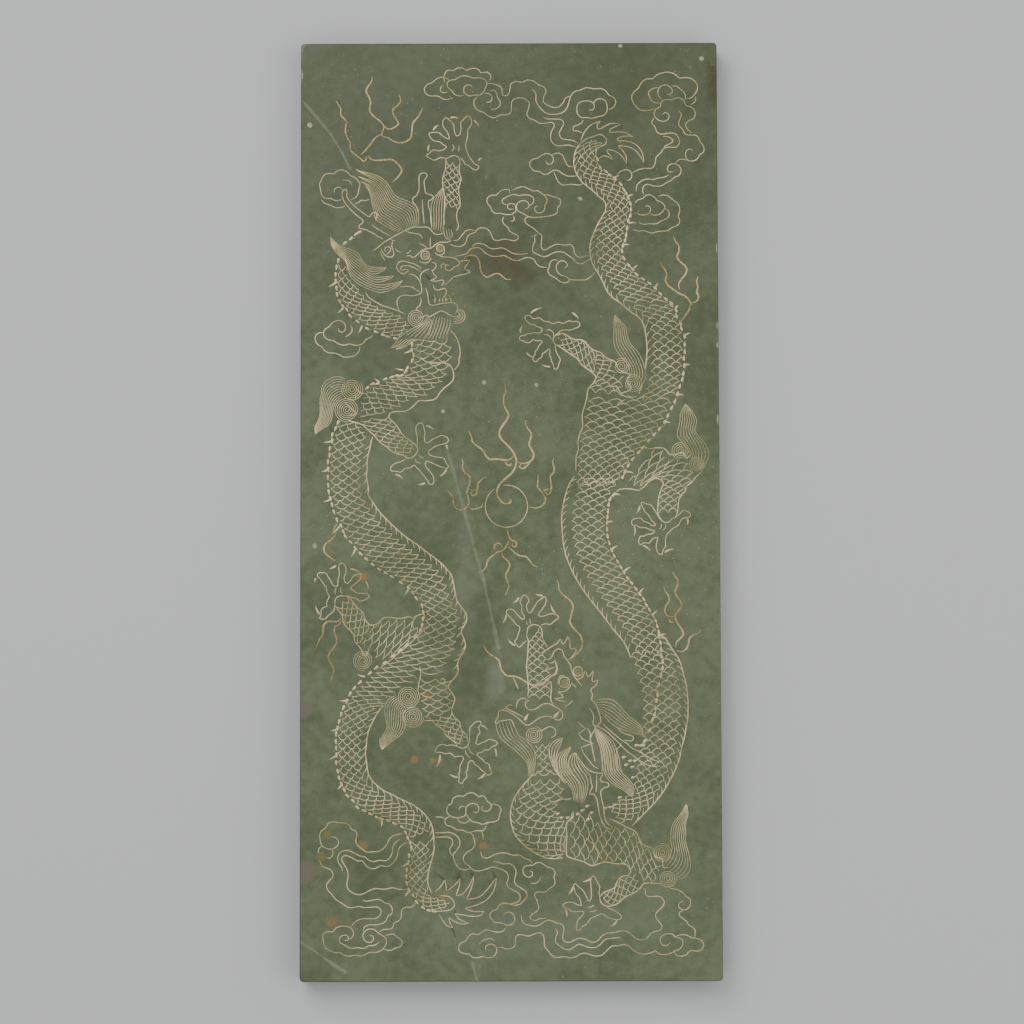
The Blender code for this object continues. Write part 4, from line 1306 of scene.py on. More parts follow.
     (-4.3,-122.2),(-5.6,-122.6),(-6.5,-123.8),(-6.1,-125.1),(-5,-126.1),(-3,-126.3),(-1.3,-127),
     (0,-126.8),(1,-125.8),(0.9,-124.2),(-0.1,-123.2),(-1.6,-123.2),(-2.4,-124)],
  [(-8.9,-98.6),(-8.5,-99.6),(-8.5,-101.2)],
  [(-9.2,-104.6),(-9,-105.8),(-8.3,-106.6),(-7.1,-106.7),(-5.6,-105.9),(-4,-105.3),(-2.2,-105.1),
     (-0.6,-105.5),(0.8,-105.9),(2.5,-105.8),(4,-106.8),(5.6,-107.3),(6.4,-108.2)],
  [(-23,-99),(-20.5,-99),(-18.5,-98.9),(-17,-99.6),(-15.8,-100.8),(-15.6,-102.8),(-16.5,-104.3),
     (-17.6,-105.8),(-17.3,-107.3),(-16.6,-108.8),(-15.6,-109.9),(-14,-110.3),(-12.2,-109.9)],
  [(-23,-100.3),(-20.7,-100.3),(-18.9,-100.4),(-17.8,-101.2),(-17.8,-102.6),(-18.6,-103.8),(-18.5,-105),
     (-17.8,-106)],
  [(-5.5,-107.8),(-4,-107.9),(-2.3,-108.5),(-0.5,-108.4),(0.8,-109.2),(1.5,-110.6),(1.4,-112),(1,-113.8),
     (1.7,-115),(3.2,-115.9),(4.6,-117),(4.8,-118.3),(3.8,-119.7),(2.6,-120.7),(1,-121),(-0.6,-120.6)],
 ],
 "bottom": [
  [(5.6,-110.6),(6.5,-111),(6.4,-112),(5.4,-112.6),(4.2,-112),(3.6,-110.8),(3.9,-109.5),(5,-109),
     (6.6,-108.9),(7.6,-108.2),(8.8,-108.1),(10,-108.7),(11.2,-109.5),(12.7,-110),(13.4,-111.2),
     (13,-112.5),(13.3,-113.6),(13.3,-114.6),(12.6,-115.4),(11.4,-116.1),(10.5,-117),(8.9,-117),
     (7.6,-117.1),(7.1,-118),(7.8,-119.4),(8.2,-120.8),(8.4,-122),(7.6,-123),(6.4,-123.7),(5.7,-124.7),
     (6.2,-125.4),(7.4,-125.6),(8.8,-125),(10.6,-124.9)],
  [(9.1,-112.3),(8.6,-113.5),(7.4,-114.4),(5.9,-114.3)],
  [(3.1,-124),(3.2,-125.4),(4,-126.6),(5.6,-127.1),(7.4,-127.3),(8.8,-126.8),(10.1,-125.9),(11.4,-125.5),
     (12.8,-125.9),(14,-126.5),(15.4,-126.8),(16,-128),(15.7,-129.6),(15.6,-131),(16.4,-132.1),
     (17.8,-132.2),(19.2,-131.5),(20.5,-131),(22.5,-131.3),(24.5,-132.2),(26,-131.9),(27.6,-130.3),
     (29.4,-129.4),(31.6,-129.3),(33,-128.8),(34.6,-128.8),(36.2,-129.7),(38,-131.2),(39.6,-131.6),
     (41,-131.2),(42.1,-129.8),(43.6,-129),(45.2,-128.6),(45.8,-127.5),(45.2,-126.4),(44.1,-125.2),
     (43.8,-124),(44.6,-122.8),(45.9,-121.6),(46.5,-120.2),(46,-119.1),(44.9,-118.4),(43,-118.5),
     (41.3,-118.3),(40.8,-117.6),(40.8,-116.6),(40.1,-115.8)],
  [(13.5,-128),(14,-129.3),(13.5,-130.7),(13.5,-132.2),(14.7,-133.3),(16.3,-134.3),(17.8,-134.4),
     (19,-133.6),(20.6,-132.8),(22,-133.2),(23.6,-133.8),(25.4,-133.8),(27,-132.9),(28.6,-131.3),
     (30.2,-131),(31.7,-130.9),(33.2,-130.7)],
  [(-1.6,-127.8),(-2.6,-128.8),(-4.3,-129.1),(-6,-128.7),(-7.6,-128.4),(-8.9,-129),(-10,-129.8),
     (-11.8,-129.6),(-13,-130.4),(-13.8,-131.7),(-15.2,-132.3),(-16,-133.5),(-15.7,-134.8),
     (-14.4,-135.5),(-12.8,-135.7),(-11.8,-136.6),(-10.2,-136.8),(-8.7,-136.4),(-7.2,-136.8),
     (-5.7,-136.6),(-4.7,-135.6),(-4.4,-134.2),(-5,-133),(-6.3,-132.7),(-7.6,-133.2),(-7.8,-134.2),
     (-7.2,-134.7)],
  [(-9.7,-132.6),(-9,-131.8),(-7.6,-131.2),(-6,-131),(-4.9,-132)],
  [(-4.3,-133.8),(-3,-133.6),(-1.6,-134.2),(0,-134),(1.2,-133),(1.2,-131.6),(1.5,-130.3),(2.8,-129.8),
     (5.2,-130.3),(7.4,-129.5),(8.8,-129.3),(9.8,-130.2),(10,-131.8),(10.2,-133.6),(11.3,-134.9),
     (12.3,-136.2),(13.8,-136.8),(16,-136.5),(18,-136.9),(19.8,-136.5),(21,-135.7),(22.6,-135.5),
     (24.2,-136.1),(26,-136.4),(27.6,-136),(29,-134.7),(30.5,-133.4),(32.6,-133.3),(34.2,-132.9),
     (35.7,-133.4),(37.2,-134.8),(39.2,-135.7),(41,-135.8),(42.5,-135.4),(43.7,-134.8),(43.7,-134.8),
     (45,-135.8),(46.9,-136),(48.4,-135.6),(49.5,-134.9),(49.5,-134.9),(51,-134.4),(52,-133),
     (51.9,-131.6),(50.8,-130.9),(49.8,-130.8),(49,-129.9),(47.4,-129.7),(45.8,-130.3),(45.2,-131.6),
     (45.8,-133),(47,-133.3),(48.3,-132.4)],
  [(49.6,-130.6),(51.2,-130.1),(53,-130),(54,-130.5),(54.8,-131),(56.3,-131.1),(57.9,-132),(58.4,-133.2),
     (57.7,-134.5),(56.6,-135),(54.2,-134.9),(53.2,-136),(51.6,-136.5),(50.2,-136.2),(49.2,-135.1)],
  [(48.4,-116),(50.6,-116.4),(52,-117.2),(53,-118.3),(54.4,-119.5),(54.3,-121.3),(52.9,-122.5),
     (51.6,-122.3),(50.8,-121.3),(51.2,-120.3),(52.2,-120)],
  [(52.2,-122.7),(51.1,-123.3),(51.1,-124.2),(52.2,-125.2),(53.3,-126),(53.8,-127),(54.8,-127.6),
     (55.8,-128.6),(55.7,-130.2),(55.7,-130.9)],
 ],
 "lower_left": [
  [(-54.8,-100.2),(-53.3,-100.4),(-52.4,-101.8),(-53.1,-103.2),(-54.8,-103.9),(-56.5,-103.5),
     (-57.6,-102.6),(-58,-101.2),(-58.2,-99.6),(-57.6,-98.3),(-56.2,-97.3),(-55.7,-96.2),(-54.3,-95.6),
     (-52.5,-95.9),(-50.4,-96),(-49,-96.9),(-48.5,-97.9),(-47.2,-98.4),(-46.8,-99.6),(-47.2,-101.1),
     (-46.8,-102.6),(-45.5,-103.7),(-43.8,-104.8),(-42.4,-104.7),(-40.2,-104.6),(-38.8,-103.8),
     (-37.6,-102.2),(-36.8,-100.6),(-35.6,-99.8),(-34,-99.4),(-33,-99.2)],
  [(-57.6,-102.9),(-58.5,-103.9),(-58.6,-105.2)],
  [(-54.2,-104),(-54.2,-105.6),(-55,-106.6),(-56,-106.5)],
  [(-58.1,-107.4),(-57.6,-108.8),(-56.4,-109.5),(-55,-110),(-54.1,-111.2),(-54.3,-112.5),(-55.4,-113.6),
     (-56.1,-115),(-55.6,-116.4),(-54.4,-117.6),(-53.5,-118.9),(-52.2,-119.8),(-51,-120.5),
     (-49.8,-121.4),(-48.3,-121.6),(-46.3,-121.2),(-44.4,-121.6),(-42.4,-121.5),(-40.7,-121.4),
     (-39.5,-122.4),(-39.8,-123.8),(-41,-124.8),(-43,-124.9),(-45,-124.9),(-46.6,-125.4),(-47.9,-126.4),
     (-48.7,-127.5)],
  [(-51.2,-110.5),(-51.5,-109.3),(-52.4,-108.1),(-52.7,-106.4),(-52,-105),(-50.7,-104.3),(-49,-104.4),
     (-47.6,-105.1),(-46.1,-105.9),(-44.3,-106.3),(-43.4,-107.2),(-41.8,-107.7),(-40,-107.3),
     (-38,-107.4),(-36.8,-106.5),(-36.1,-105),(-35.9,-103.2),(-35,-101.8),(-33.8,-101)],
  [(-31.7,-102),(-32.8,-102.5),(-34,-103.6),(-34.4,-105.2),(-35,-107),(-36.1,-108.4),(-37.7,-109.2),
     (-39.5,-108.9),(-41.4,-109.8),(-43.1,-109.6),(-44.3,-108.6),(-45.1,-107.5),(-46.6,-107.5),
     (-48,-106.7),(-49.4,-106),(-50.8,-105.9),(-51.5,-106.8),(-51.2,-107.8),(-50.3,-109.2),
     (-49.7,-110.5),(-49.5,-112.2),(-49.9,-114.3),(-49.5,-116),(-48,-117.2),(-46.1,-117.7),
     (-44.4,-117.2),(-42.8,-116.3),(-41,-115.8),(-38.6,-116.1),(-36,-115.6),(-34,-116.1),(-31.6,-116.1)],
  [(-45.1,-119.3),(-44,-119.7),(-42.4,-119.4),(-40.5,-119.1),(-39.2,-119.5),(-38.4,-120.2),
     (-36.9,-120.6),(-36.1,-122),(-36.3,-123.4),(-37.4,-124.2),(-38,-125.6),(-39.2,-126.4),
     (-41.2,-126.8),(-43.4,-126.8),(-44.7,-127.6),(-45,-128.6)],
  [(-29,-120.3),(-30.2,-121.4),(-32.4,-121.6),(-33.3,-122.6),(-33.4,-124.6),(-34.3,-125.7),
     (-35.6,-126.4),(-36,-127.7),(-37,-128.1),(-38.8,-128.2),(-40.1,-129)],
  [(-50.6,-131.4),(-49.8,-131.5),(-49.3,-130.8),(-50,-129.9),(-51.3,-130),(-52.2,-131),(-51.8,-132.3),
     (-50.6,-132.8),(-49.6,-133.5),(-48.2,-133.9),(-46.6,-133.6),(-44.8,-133.9),(-43.4,-133.1),
     (-41.8,-133),(-40.7,-132.5),(-40.1,-131.8)],
  [(-49.1,-131.2),(-48.3,-130.5),(-47.8,-129.2),(-48.4,-128),(-49.6,-127.3),(-51.6,-127.1),
     (-53.2,-127.7),(-54.2,-128.8),(-55.8,-128.8),(-57.1,-129.6),(-57.1,-131),(-56.9,-132.5),
     (-56.2,-133.8),(-54.7,-134.7),(-53.3,-135.2),(-51.9,-135.1),(-50.8,-135.9),(-49.3,-136.2),
     (-47.2,-135.9),(-45.8,-136.2),(-44.4,-135.8),(-43.2,-135.1),(-41,-135.1),(-39.6,-134.6),
     (-38.6,-133.7),(-37.9,-132.2),(-38.1,-130.8),(-39.2,-129.9),(-40.4,-129.2),(-41.4,-128.3),
     (-42.8,-128),(-44.2,-128.5),(-45,-129.7),(-44.8,-131),(-43.7,-132),(-42.5,-132),(-41.8,-131.2),
     (-42,-130.2),(-43,-129.9)],
  [(-38.2,-130),(-37.2,-129.7),(-35.6,-129.6),(-34.8,-130.4),(-33.6,-131.1),(-33,-132.1),(-33.6,-133.3),
     (-35.2,-133.8),(-36.3,-134.4),(-37.6,-134.5),(-38.7,-134.1)],
 ],
}

# Flames by what they leap from
FLAMES = {
 "upper_left": [
  [(-36.1,100.6),(-34.1,102.5),(-33.1,104.5),(-34.1,106.2),(-36.2,107.7),(-39.2,107.6),(-42,107.6),
     (-43.7,109)],
  [(-53.4,126),(-51.9,123.7),(-51.9,121.7),(-50.2,119.7),(-50.5,116.9),(-50,114.7),(-49,113.1),
     (-48.9,110.7),(-47.4,109.3),(-46,108.2),(-44.8,107.2),(-43.9,108.2),(-44.5,108.6)],
  [(-45.9,109.2),(-44.2,110.7),(-42.6,112.7),(-41.1,114.7),(-39.7,115.5),(-38.9,115.8)],
  [(-42.3,133.6),(-42.4,132.2),(-43.7,130.3),(-44.1,129),(-43.1,127.1),(-42.7,125.4),(-43,123.1),
     (-41.7,121.2),(-39.5,119.5),(-38.6,118),(-39,116.4),(-39.5,115.5)],
  [(-34.1,128.2),(-33.4,126.2),(-34.4,124.5),(-35.8,123.4),(-35.8,122),(-34.7,120.3),(-34.1,118.9),
     (-35.8,117.5),(-37.5,117.3),(-38.5,118.2)],
  [(-26.5,124.2),(-27.9,121.2),(-29.7,119),(-29.9,116.9),(-30.4,114.4),(-32.4,113.1),(-34.4,113),
     (-36.1,113.7),(-37.2,114.5),(-38.6,114.8),(-39.5,115.5)],
 ],
 "right": [
  [(50.5,83.6),(51.2,82),(52.2,80.6),(52.2,79),(51.6,77.4),(52.4,75.9),(54,74.6),(54.6,73.2),(54,71.6),
     (52.8,70.2),(52,68.6),(52.4,67)],
  [(46.4,76),(46.9,74.6),(48,73.1),(48.4,71.6),(48,70),(48.8,68.4),(50.4,67.2),(52,66),(53.9,65.2),
     (55.2,63.9),(55.7,62.6),(55,61)],
  [(58,71.2),(57.6,69.6),(58,68),(57.6,66.4),(58.2,64.8),(57.4,63.4),(55.9,63)],
  [(55.8,61.4),(54.6,60),(53.6,58.4),(52.6,57.2)],
 ],
 "pearl": [
  [(-1.9,40),(-1.3,37.4),(-1.2,35.8),(-1.9,34),(-1.9,32.2),(-1.3,30.4),(-0.4,28.8),(-0.8,27.2),(-2,25.6),
     (-3,24),(-3.2,22.4),(-2.4,20.8),(-0.9,19.4),(0.4,18),(1.3,16.6),(2,14.6),(1.7,12.6),(0.5,10.6),
     (-1.4,9),(-3.2,7.2),(-4,5.2),(-3.6,3.2),(-2.4,1.7),(-0.9,1.3),(0.2,2.2)],
  [(-12.6,23.6),(-11.8,22),(-11.4,20.2),(-9.8,18.8),(-8.2,17.6),(-7.4,16),(-6.2,14.9),(-4.2,15),
     (-2.6,14.8),(-1,14.6),(0.4,15.1),(1.1,16)],
  [(-1.6,14.2),(-0.8,13.2),(0.2,13),(0.4,13.9)],
  [(4.9,27),(4.8,25.6),(5.6,24.2),(6.6,22.8),(6.4,21.2),(5.9,19.6),(6.6,18),(7.3,16.4),(6.9,14.9),
     (5.4,13.8),(4,13.6),(2.6,13.9)],
  [(6.4,14),(4.9,12.6),(3.8,12),(2.9,12.6),(3.4,13.4)],
  [(-19.2,5.6),(-18.6,4.6),(-17.4,3.2),(-17.4,1.6),(-16.6,0),(-15,-0.6),(-13.6,-0.1),(-12.7,1.2),
     (-12.7,3),(-13.2,4.8),(-12.6,6.6),(-12.2,8.4),(-12.4,9.8),(-13.8,10.8),(-14.6,12.2),(-14.3,13.8),
     (-14.8,15.2)],
  [(-7.3,9.6),(-8.8,8.6),(-9.8,7.4),(-9.9,6),(-11,5.3),(-12.2,5.8)],
  [(-10,6),(-10.2,4.6),(-11.3,3.7),(-12.1,4.5),(-11.4,5)],
  [(-12.8,0.4),(-11.6,-0.4),(-10.2,-0.2),(-8.8,0.2),(-8.4,1.4)],
  [(6,0.3),(7.6,-0.1),(9,0.1),(10.2,1),(10.9,2.4),(10.4,3.8),(9.4,5.2),(8.4,6.6),(8.6,8.4),(8.6,10.4)],
  [(13.4,15.2),(13.1,13.8),(13.6,12.2),(13.4,10.8),(12.4,9.6),(12.5,8),(12.7,6.4),(12.4,4.8),(11.6,4),
     (10.9,4.6),(11.6,5.3)],
  [(10,5),(11,5.5),(12.2,5.8)],
  [(-1,-6.4),(-0.8,-7.6),(-0.2,-9),(0.4,-9.9),(1.4,-10.2),(2,-11.2),(1.4,-12),(0.6,-11.6),(0.8,-10.9)],
  [(-0.2,-9.8),(-1,-11.2),(-1.6,-12.4),(-2.6,-13.2),(-4,-13.6),(-5.4,-14.8),(-6.9,-16.1),(-7.2,-17.6),
     (-8,-19),(-9.6,-19.9)],
  [(-2.4,-12.2),(-3,-11),(-4.2,-11),(-5,-12),(-4.4,-13)],
  [(-2.6,-13.4),(-2.2,-15),(-0.8,-16.2),(-0.1,-17.6),(-0.8,-19.2),(-1.4,-20.8),(-1,-22.4),(-0.4,-23.8),
     (-1,-25.4),(-1.6,-27)],
  [(-0.8,-11.8),(0.4,-12.8),(1.6,-14),(3.2,-14.8),(4.8,-15),(6,-16.2),(7,-17.6),(8.4,-18.2)],
 ],
 "left_shoulder": [
  [(-53.2,-7.2),(-53.7,-8.6),(-55,-9.8),(-56.4,-10.8),(-57,-12.2),(-56.6,-13.8),(-55.2,-14.9),
     (-53.6,-16.2)],
  [(-52.8,-4.6),(-53.8,-6),(-54.2,-7.2)],
 ],
 "left_leg": [
  [(-51.9,-33.6),(-52.6,-34.6),(-54,-34.7),(-55.6,-34.6),(-56.9,-35.6),(-57.2,-37.2),(-57.2,-38.6),
     (-58.2,-39.9),(-58.9,-41.4),(-59.6,-43.2)],
  [(-51.6,-34.4),(-52.4,-35.6),(-53.6,-36.2),(-53.8,-37.8),(-53.2,-39.4),(-53,-40.9),(-53.8,-42.4),
     (-55,-43.8),(-55.6,-45.4),(-55.2,-46.9),(-54.3,-48.2),(-53.9,-49.8),(-54.4,-51.4),(-54.9,-53)],
 ],
 "right_leg": [
  [(49.6,-19.8),(50.4,-21.2),(51.3,-22.6),(51,-24.2),(50.3,-25.8),(50.9,-27.2),(51.9,-28.6),(52.3,-30.2),
     (51.4,-31.6),(50.4,-33),(50.6,-34.6),(51.4,-36.1),(52.4,-37.4),(52.8,-38.9),(51.8,-40.2),
     (50.6,-41.4),(50.4,-42.8)],
  [(46.9,-24),(47.3,-25.6),(48.3,-27),(48.6,-28.5),(47.6,-30),(47.2,-31.6),(47.8,-33),(49.2,-33.6),
     (50.4,-33.4)],
  [(48.2,-34),(49,-35.2),(49.8,-35)],
  [(58.4,-37.2),(57.4,-38.5),(55.8,-39.1),(54.6,-40.2),(54.4,-41.8),(53.6,-43.4),(52.2,-44.2),(50.6,-43.8)],
 ],
 "right_whiskers": [
  [(14.3,-22),(14.8,-23.6),(14.9,-25.2),(16,-26.6),(17.4,-27.6),(18.6,-28.8),(19.2,-30.4),(18.8,-32),
     (18.4,-33.6),(18.2,-35),(19,-36.6),(20.4,-38),(21.6,-39.6),(22,-41.4),(21.6,-43.2),(20.2,-44.8),
     (18.6,-46.2),(18.2,-47)],
  [(-8.2,-42),(-7.4,-43.6),(-6.2,-44.8),(-4.6,-45.8),(-3.4,-47),(-3.1,-48.6),(-2.4,-50.2),(-1,-51.4),
     (1,-51.5),(3,-52.2),(5,-53.5),(7,-54.3),(8.8,-54.3),(10.4,-53.4),(11.6,-52.2),(13,-51.2),
     (13.8,-50.4),(14.1,-49),(13.6,-47.4)],
  [(0.8,-51.8),(1.4,-53.2),(2,-54.6),(2.4,-55.4)],
 ],
}
# Pearl: x, y and radius
PEARL = (-1.1, 0.5, 6.5)

# Left dragon: its head, with locks of hair as two edges and a count
HEAD_LEFT = {
 "contours": [
  [(-42.3,79.3),(-41,80),(-40,80.8),(-38.7,82),(-37,83),(-35.3,84),(-33.7,84.8),(-32.2,85.7),
     (-30.7,86.3),(-29,86.8),(-27.3,86.7),(-25.3,86.7),(-24,85.7),(-23.2,84.7),(-22,84.4),(-20.3,84.8)],
  [(-32.2,85.7),(-30.7,85),(-28.7,84.7),(-27.3,84.2),(-26.7,83.2)],
  [(-37,83),(-35.2,82.5)],
  [(-35.8,82.6),(-36.2,81),(-35.8,79.7),(-35.5,78.3),(-36.2,77.5),(-37.3,77.5),(-38.5,78.2),(-39.2,79.3),
     (-39.5,80.2)],
  [(-37.8,78.2),(-36.7,79.3),(-36.5,80.2),(-37.3,80.7),(-38.2,80.3),(-38.3,79.5),(-37.9,79.1)],
  [(-39.7,79.3),(-39.3,78),(-38.3,76.3)],
  [(-35.3,80.3),(-34.5,79.3),(-33.2,78.7)],
  [(-31.7,77.8),(-30.3,77.8),(-29.8,77.2),(-28.7,77.8),(-27.8,78.7),(-26.7,79.6),(-25.3,80),(-24,80.2),
     (-22.7,81.3),(-21.3,82),(-19,82),(-17.8,82.6)],
  [(-30.2,79.7),(-30.7,79),(-31.8,78.5)],
  [(-23,78.8),(-21.7,78),(-20.7,78.2),(-20,79),(-20.2,80.7),(-21,81.5)],
  [(-27.8,76.2),(-26.7,75.7),(-25.3,75.7),(-24.5,76.3),(-24,77.2)],
  [(-27.8,81.7),(-26.3,81),(-25.2,80.2)],
  [(-24.3,83.5),(-24.4,82),(-24.3,80.3)],
  [(-21.7,77.9),(-20.7,77.5),(-19,77.4),(-17.2,77.2),(-16,76.5),(-15.3,75.5),(-16,74.7),(-17,74.3),
     (-17.7,73.5),(-18.7,73.2),(-19.5,73.5),(-19.8,74.3),(-19.3,75),(-18.5,74.8)],
  [(-20.8,73.7),(-21,74.7),(-20.5,75.3),(-19.6,75.2)],
  [(-23.8,75.8),(-22.8,75.5),(-22.5,74.7),(-23.2,73.5),(-23.8,73.2),(-23.8,73.2),(-23.2,72),(-22.3,71.2),
     (-22.3,71.2),(-23.3,70.5),(-24.5,70.2),(-24.5,70.2),(-22.3,69.9),(-20.5,70.3),(-20.2,69.5),
     (-20.9,68.5)],
  [(-15.4,76.1),(-14,76.2),(-12.1,76.5),(-12.1,76.5),(-13.9,73.8),(-13.9,73.8),(-12.1,72.7),(-13.6,72.1),
     (-16.1,71.6),(-17.3,71.1),(-18.7,69.7),(-20,68.7)],
  [(-23.5,68.9),(-23.3,68.3),(-23,67.5),(-21.7,67.2),(-20,67.7),(-19.3,66.7),(-19.7,65.7),(-20.3,64.7)],
  [(-23.2,65.5),(-22.9,64.8),(-22.6,64.2)],
  [(-18.7,65.5),(-18.2,64.7),(-17.8,64)],
  [(-25.8,68),(-25.2,66.3),(-25,64.3),(-24.5,62.7),(-23,62.5),(-21,63),(-19,63.2),(-17,63.2),(-16,62.3),
     (-16,61),(-16.5,60.1)],
  [(-28.3,58.7),(-26.7,58.8),(-25.3,59.5),(-24.7,58.9),(-23.7,59.3),(-22.3,60.2),(-21,60.7),(-19.5,60.2),
     (-18,59.2),(-16,58.9),(-15.3,59.5)],
  [(-31,72.2),(-29.7,72),(-28.3,71),(-27.5,69.8),(-27,68),(-27.2,66.3),(-28.7,65.6),(-30.3,65.4),
     (-32,65.7),(-33.7,65.2),(-34.5,64),(-34.5,62.3),(-33.7,60.7)],
  [(-33.7,68.2),(-31.7,68.4),(-29.7,68),(-28.3,67),(-27.4,66.6)],
  [(-24.5,73.7),(-25.8,73.3),(-26.8,72.7),(-27.4,71.7),(-27.3,70.2)],
  [(-27.3,65),(-27.1,63.7),(-27.7,62.3),(-28.7,61.3),(-27,60.3)],
  [(-27,73.8),(-29,75.2),(-31,75.8),(-33,76.2),(-34.3,75.5),(-34.7,74.3),(-34,73),(-32.7,72.2),
     (-31.7,72.7),(-31,73.3)],
  [(-27.2,72.8),(-29,74),(-31,74.7),(-32.7,74.7),(-33.5,74),(-33,73.3),(-32.2,73.6),(-31.2,73.6)],
  [(-28.1,91.3),(-28.5,93),(-29.5,94.3),(-29.8,95.5),(-28.6,96.5),(-27.8,98.3),(-27.8,100.7),
     (-27.7,102.7),(-27,103.5),(-26,103.5),(-25.2,102.8),(-25.7,102),(-26.2,101),(-26,99),(-25.7,97.3),
     (-24.3,96.8),(-23.3,96.2),(-23.9,95.3),(-24.8,94.9),(-24.9,93.3),(-24.3,91.3),(-24.2,88.7),
     (-23.8,86.7)],
  [(-26.8,95.3),(-26.7,93.3),(-26.5,90.7),(-26.2,87.7)],
  [(-38.9,82.7),(-39.3,83.3),(-40.3,83.7),(-41.3,84.5),(-42.7,85.2),(-44.2,86),(-45.3,86.2),(-46.2,86.5),
     (-46.2,87.3),(-45.3,88),(-45,88.7),(-45.7,89.5),(-47.3,90.7),(-49.3,92.7),(-51,95),(-51.5,96.7),
     (-51.3,98),(-50.5,98.5),(-49.9,97.7),(-50.1,96.5),(-49.3,95),(-47.7,93.3),(-45.7,91.7),(-43.7,90.2),
     (-43,90),(-42.3,91),(-41.3,91.3),(-40.6,90.7),(-41,89.7),(-41.2,89)],
  [(-42.3,87.5),(-40,85.8),(-36.7,84)],
  [(-15.7,61.3),(-14.3,60.7),(-13.7,59.5),(-14,58),(-15.3,57),(-17.2,56.9)],
  [(-16,61.3),(-14.8,60.3),(-14.4,59.3),(-14.8,58.2),(-16,57.5),(-17.3,57.5)],
  [(-16.3,60.7),(-15.5,60),(-15.2,59.2),(-15.8,58.3),(-17.3,58.3)],
  [(-44.3,66.5),(-43.3,65),(-41.3,63.7),(-39.3,62.5),(-36.7,61.7),(-34.3,60.8),(-32,59.8)],
 ],
 "teeth": [(-23,63.85),(-21.5,64),(-20.5,64),(-19.5,64.2),(-18,63.9)],
 "eyes": [(-25.9,78,1.35),(-21.3,80.2,1.1)],
 "rosette": [(-28.7,58.6,2.7)],
 # lock: edge, edge, count, tips
 "locks": [
  ([(-34,85.4),(-36,86),(-38,87),(-40,88.3),(-41.2,89.3),(-41.6,91.3),(-42,93),(-42.4,94.7),(-42.8,96.7),
     (-43.5,98.3),(-44.6,99.4)],
   [(-28,86.9),(-27.9,90.7),(-28.3,92.7),(-29.7,94),(-31.3,94.8),(-33.3,95.5),(-35.3,96.7),(-36.5,98.7),
      (-37.7,100.5),(-39.3,102),(-41.3,103),(-43.3,103.7),(-45.7,104.2),(-47.5,105)],
   18, [(-44.5,99.6),(-45.8,101),(-46.6,102.6),(-47.4,104.8)]),
  ([(-24,86),(-23.9,88.5),(-24,91),(-24,93.5),(-23.3,95.5),(-22,97.5),(-20.9,99)],
   [(-20.6,85.2),(-20.2,88),(-20.1,91),(-20,94),(-20,97),(-20.2,99.5)], 7, [(-20.2,99.2)]),
  ([(-20.2,86.5),(-20.1,84.7),(-19.5,83.3),(-18.3,82.6)],[(-18,86),(-17.6,84.8),(-17.6,83.8),
     (-17.9,83.2)],5,[]),
  ([(-55.2,84),(-53.7,82.3),(-51.7,80.7),(-49.7,80.2),(-48,79.5),(-46.3,78.3),(-45.3,76.5),(-44,75),
     (-42,74.3),(-40,74.3),(-37.8,74.2)],
   [(-55,81.7),(-54,79.7),(-52.3,77.8),(-50.3,76),(-49.7,73.7),(-48.7,71.3),(-47,69.5),(-45,68.3),
      (-42.7,67.3),(-40,66.5),(-38,66.7),(-36,67.5),(-34,68.7),(-32.7,70.2)],
   14, [(-37.8,74.2),(-35.5,71.7),(-32.7,70.2)]),
  ([(-25.3,59),(-26.3,57.3),(-28.3,56),(-31,54.7),(-33.7,52.7)],[(-23.8,58.3),(-24.3,56),(-25,54),
     (-26.7,52)],7,[]),
  ([(-23,59),(-23.9,56.5),(-24.6,54),(-26,52)],[(-18.3,58.3),(-18.3,56),(-19.2,54),(-19.5,52)],9,[]),
 ],
 "beads": [[(-46.3,85.2),(-47.2,84.6),(-48.8,83.2),(-50.7,81.8)],[(-52.7,76.4),(-53.2,74.3),(-53.5,72),
    (-53.4,70),(-53.2,67.8),(-53,65.8),(-52.2,63.7),(-51.2,62.3),(-50,61.2),(-49,59.3),(-46.7,57.5),
    (-43.7,55.3),(-41,54.3),(-38.7,53.3)]],
 "spurs": [(-53.3,69.8,-55.7,68.3),(-51,62,-52.8,60.2),(-45.3,56.3,-46.5,54)],
}

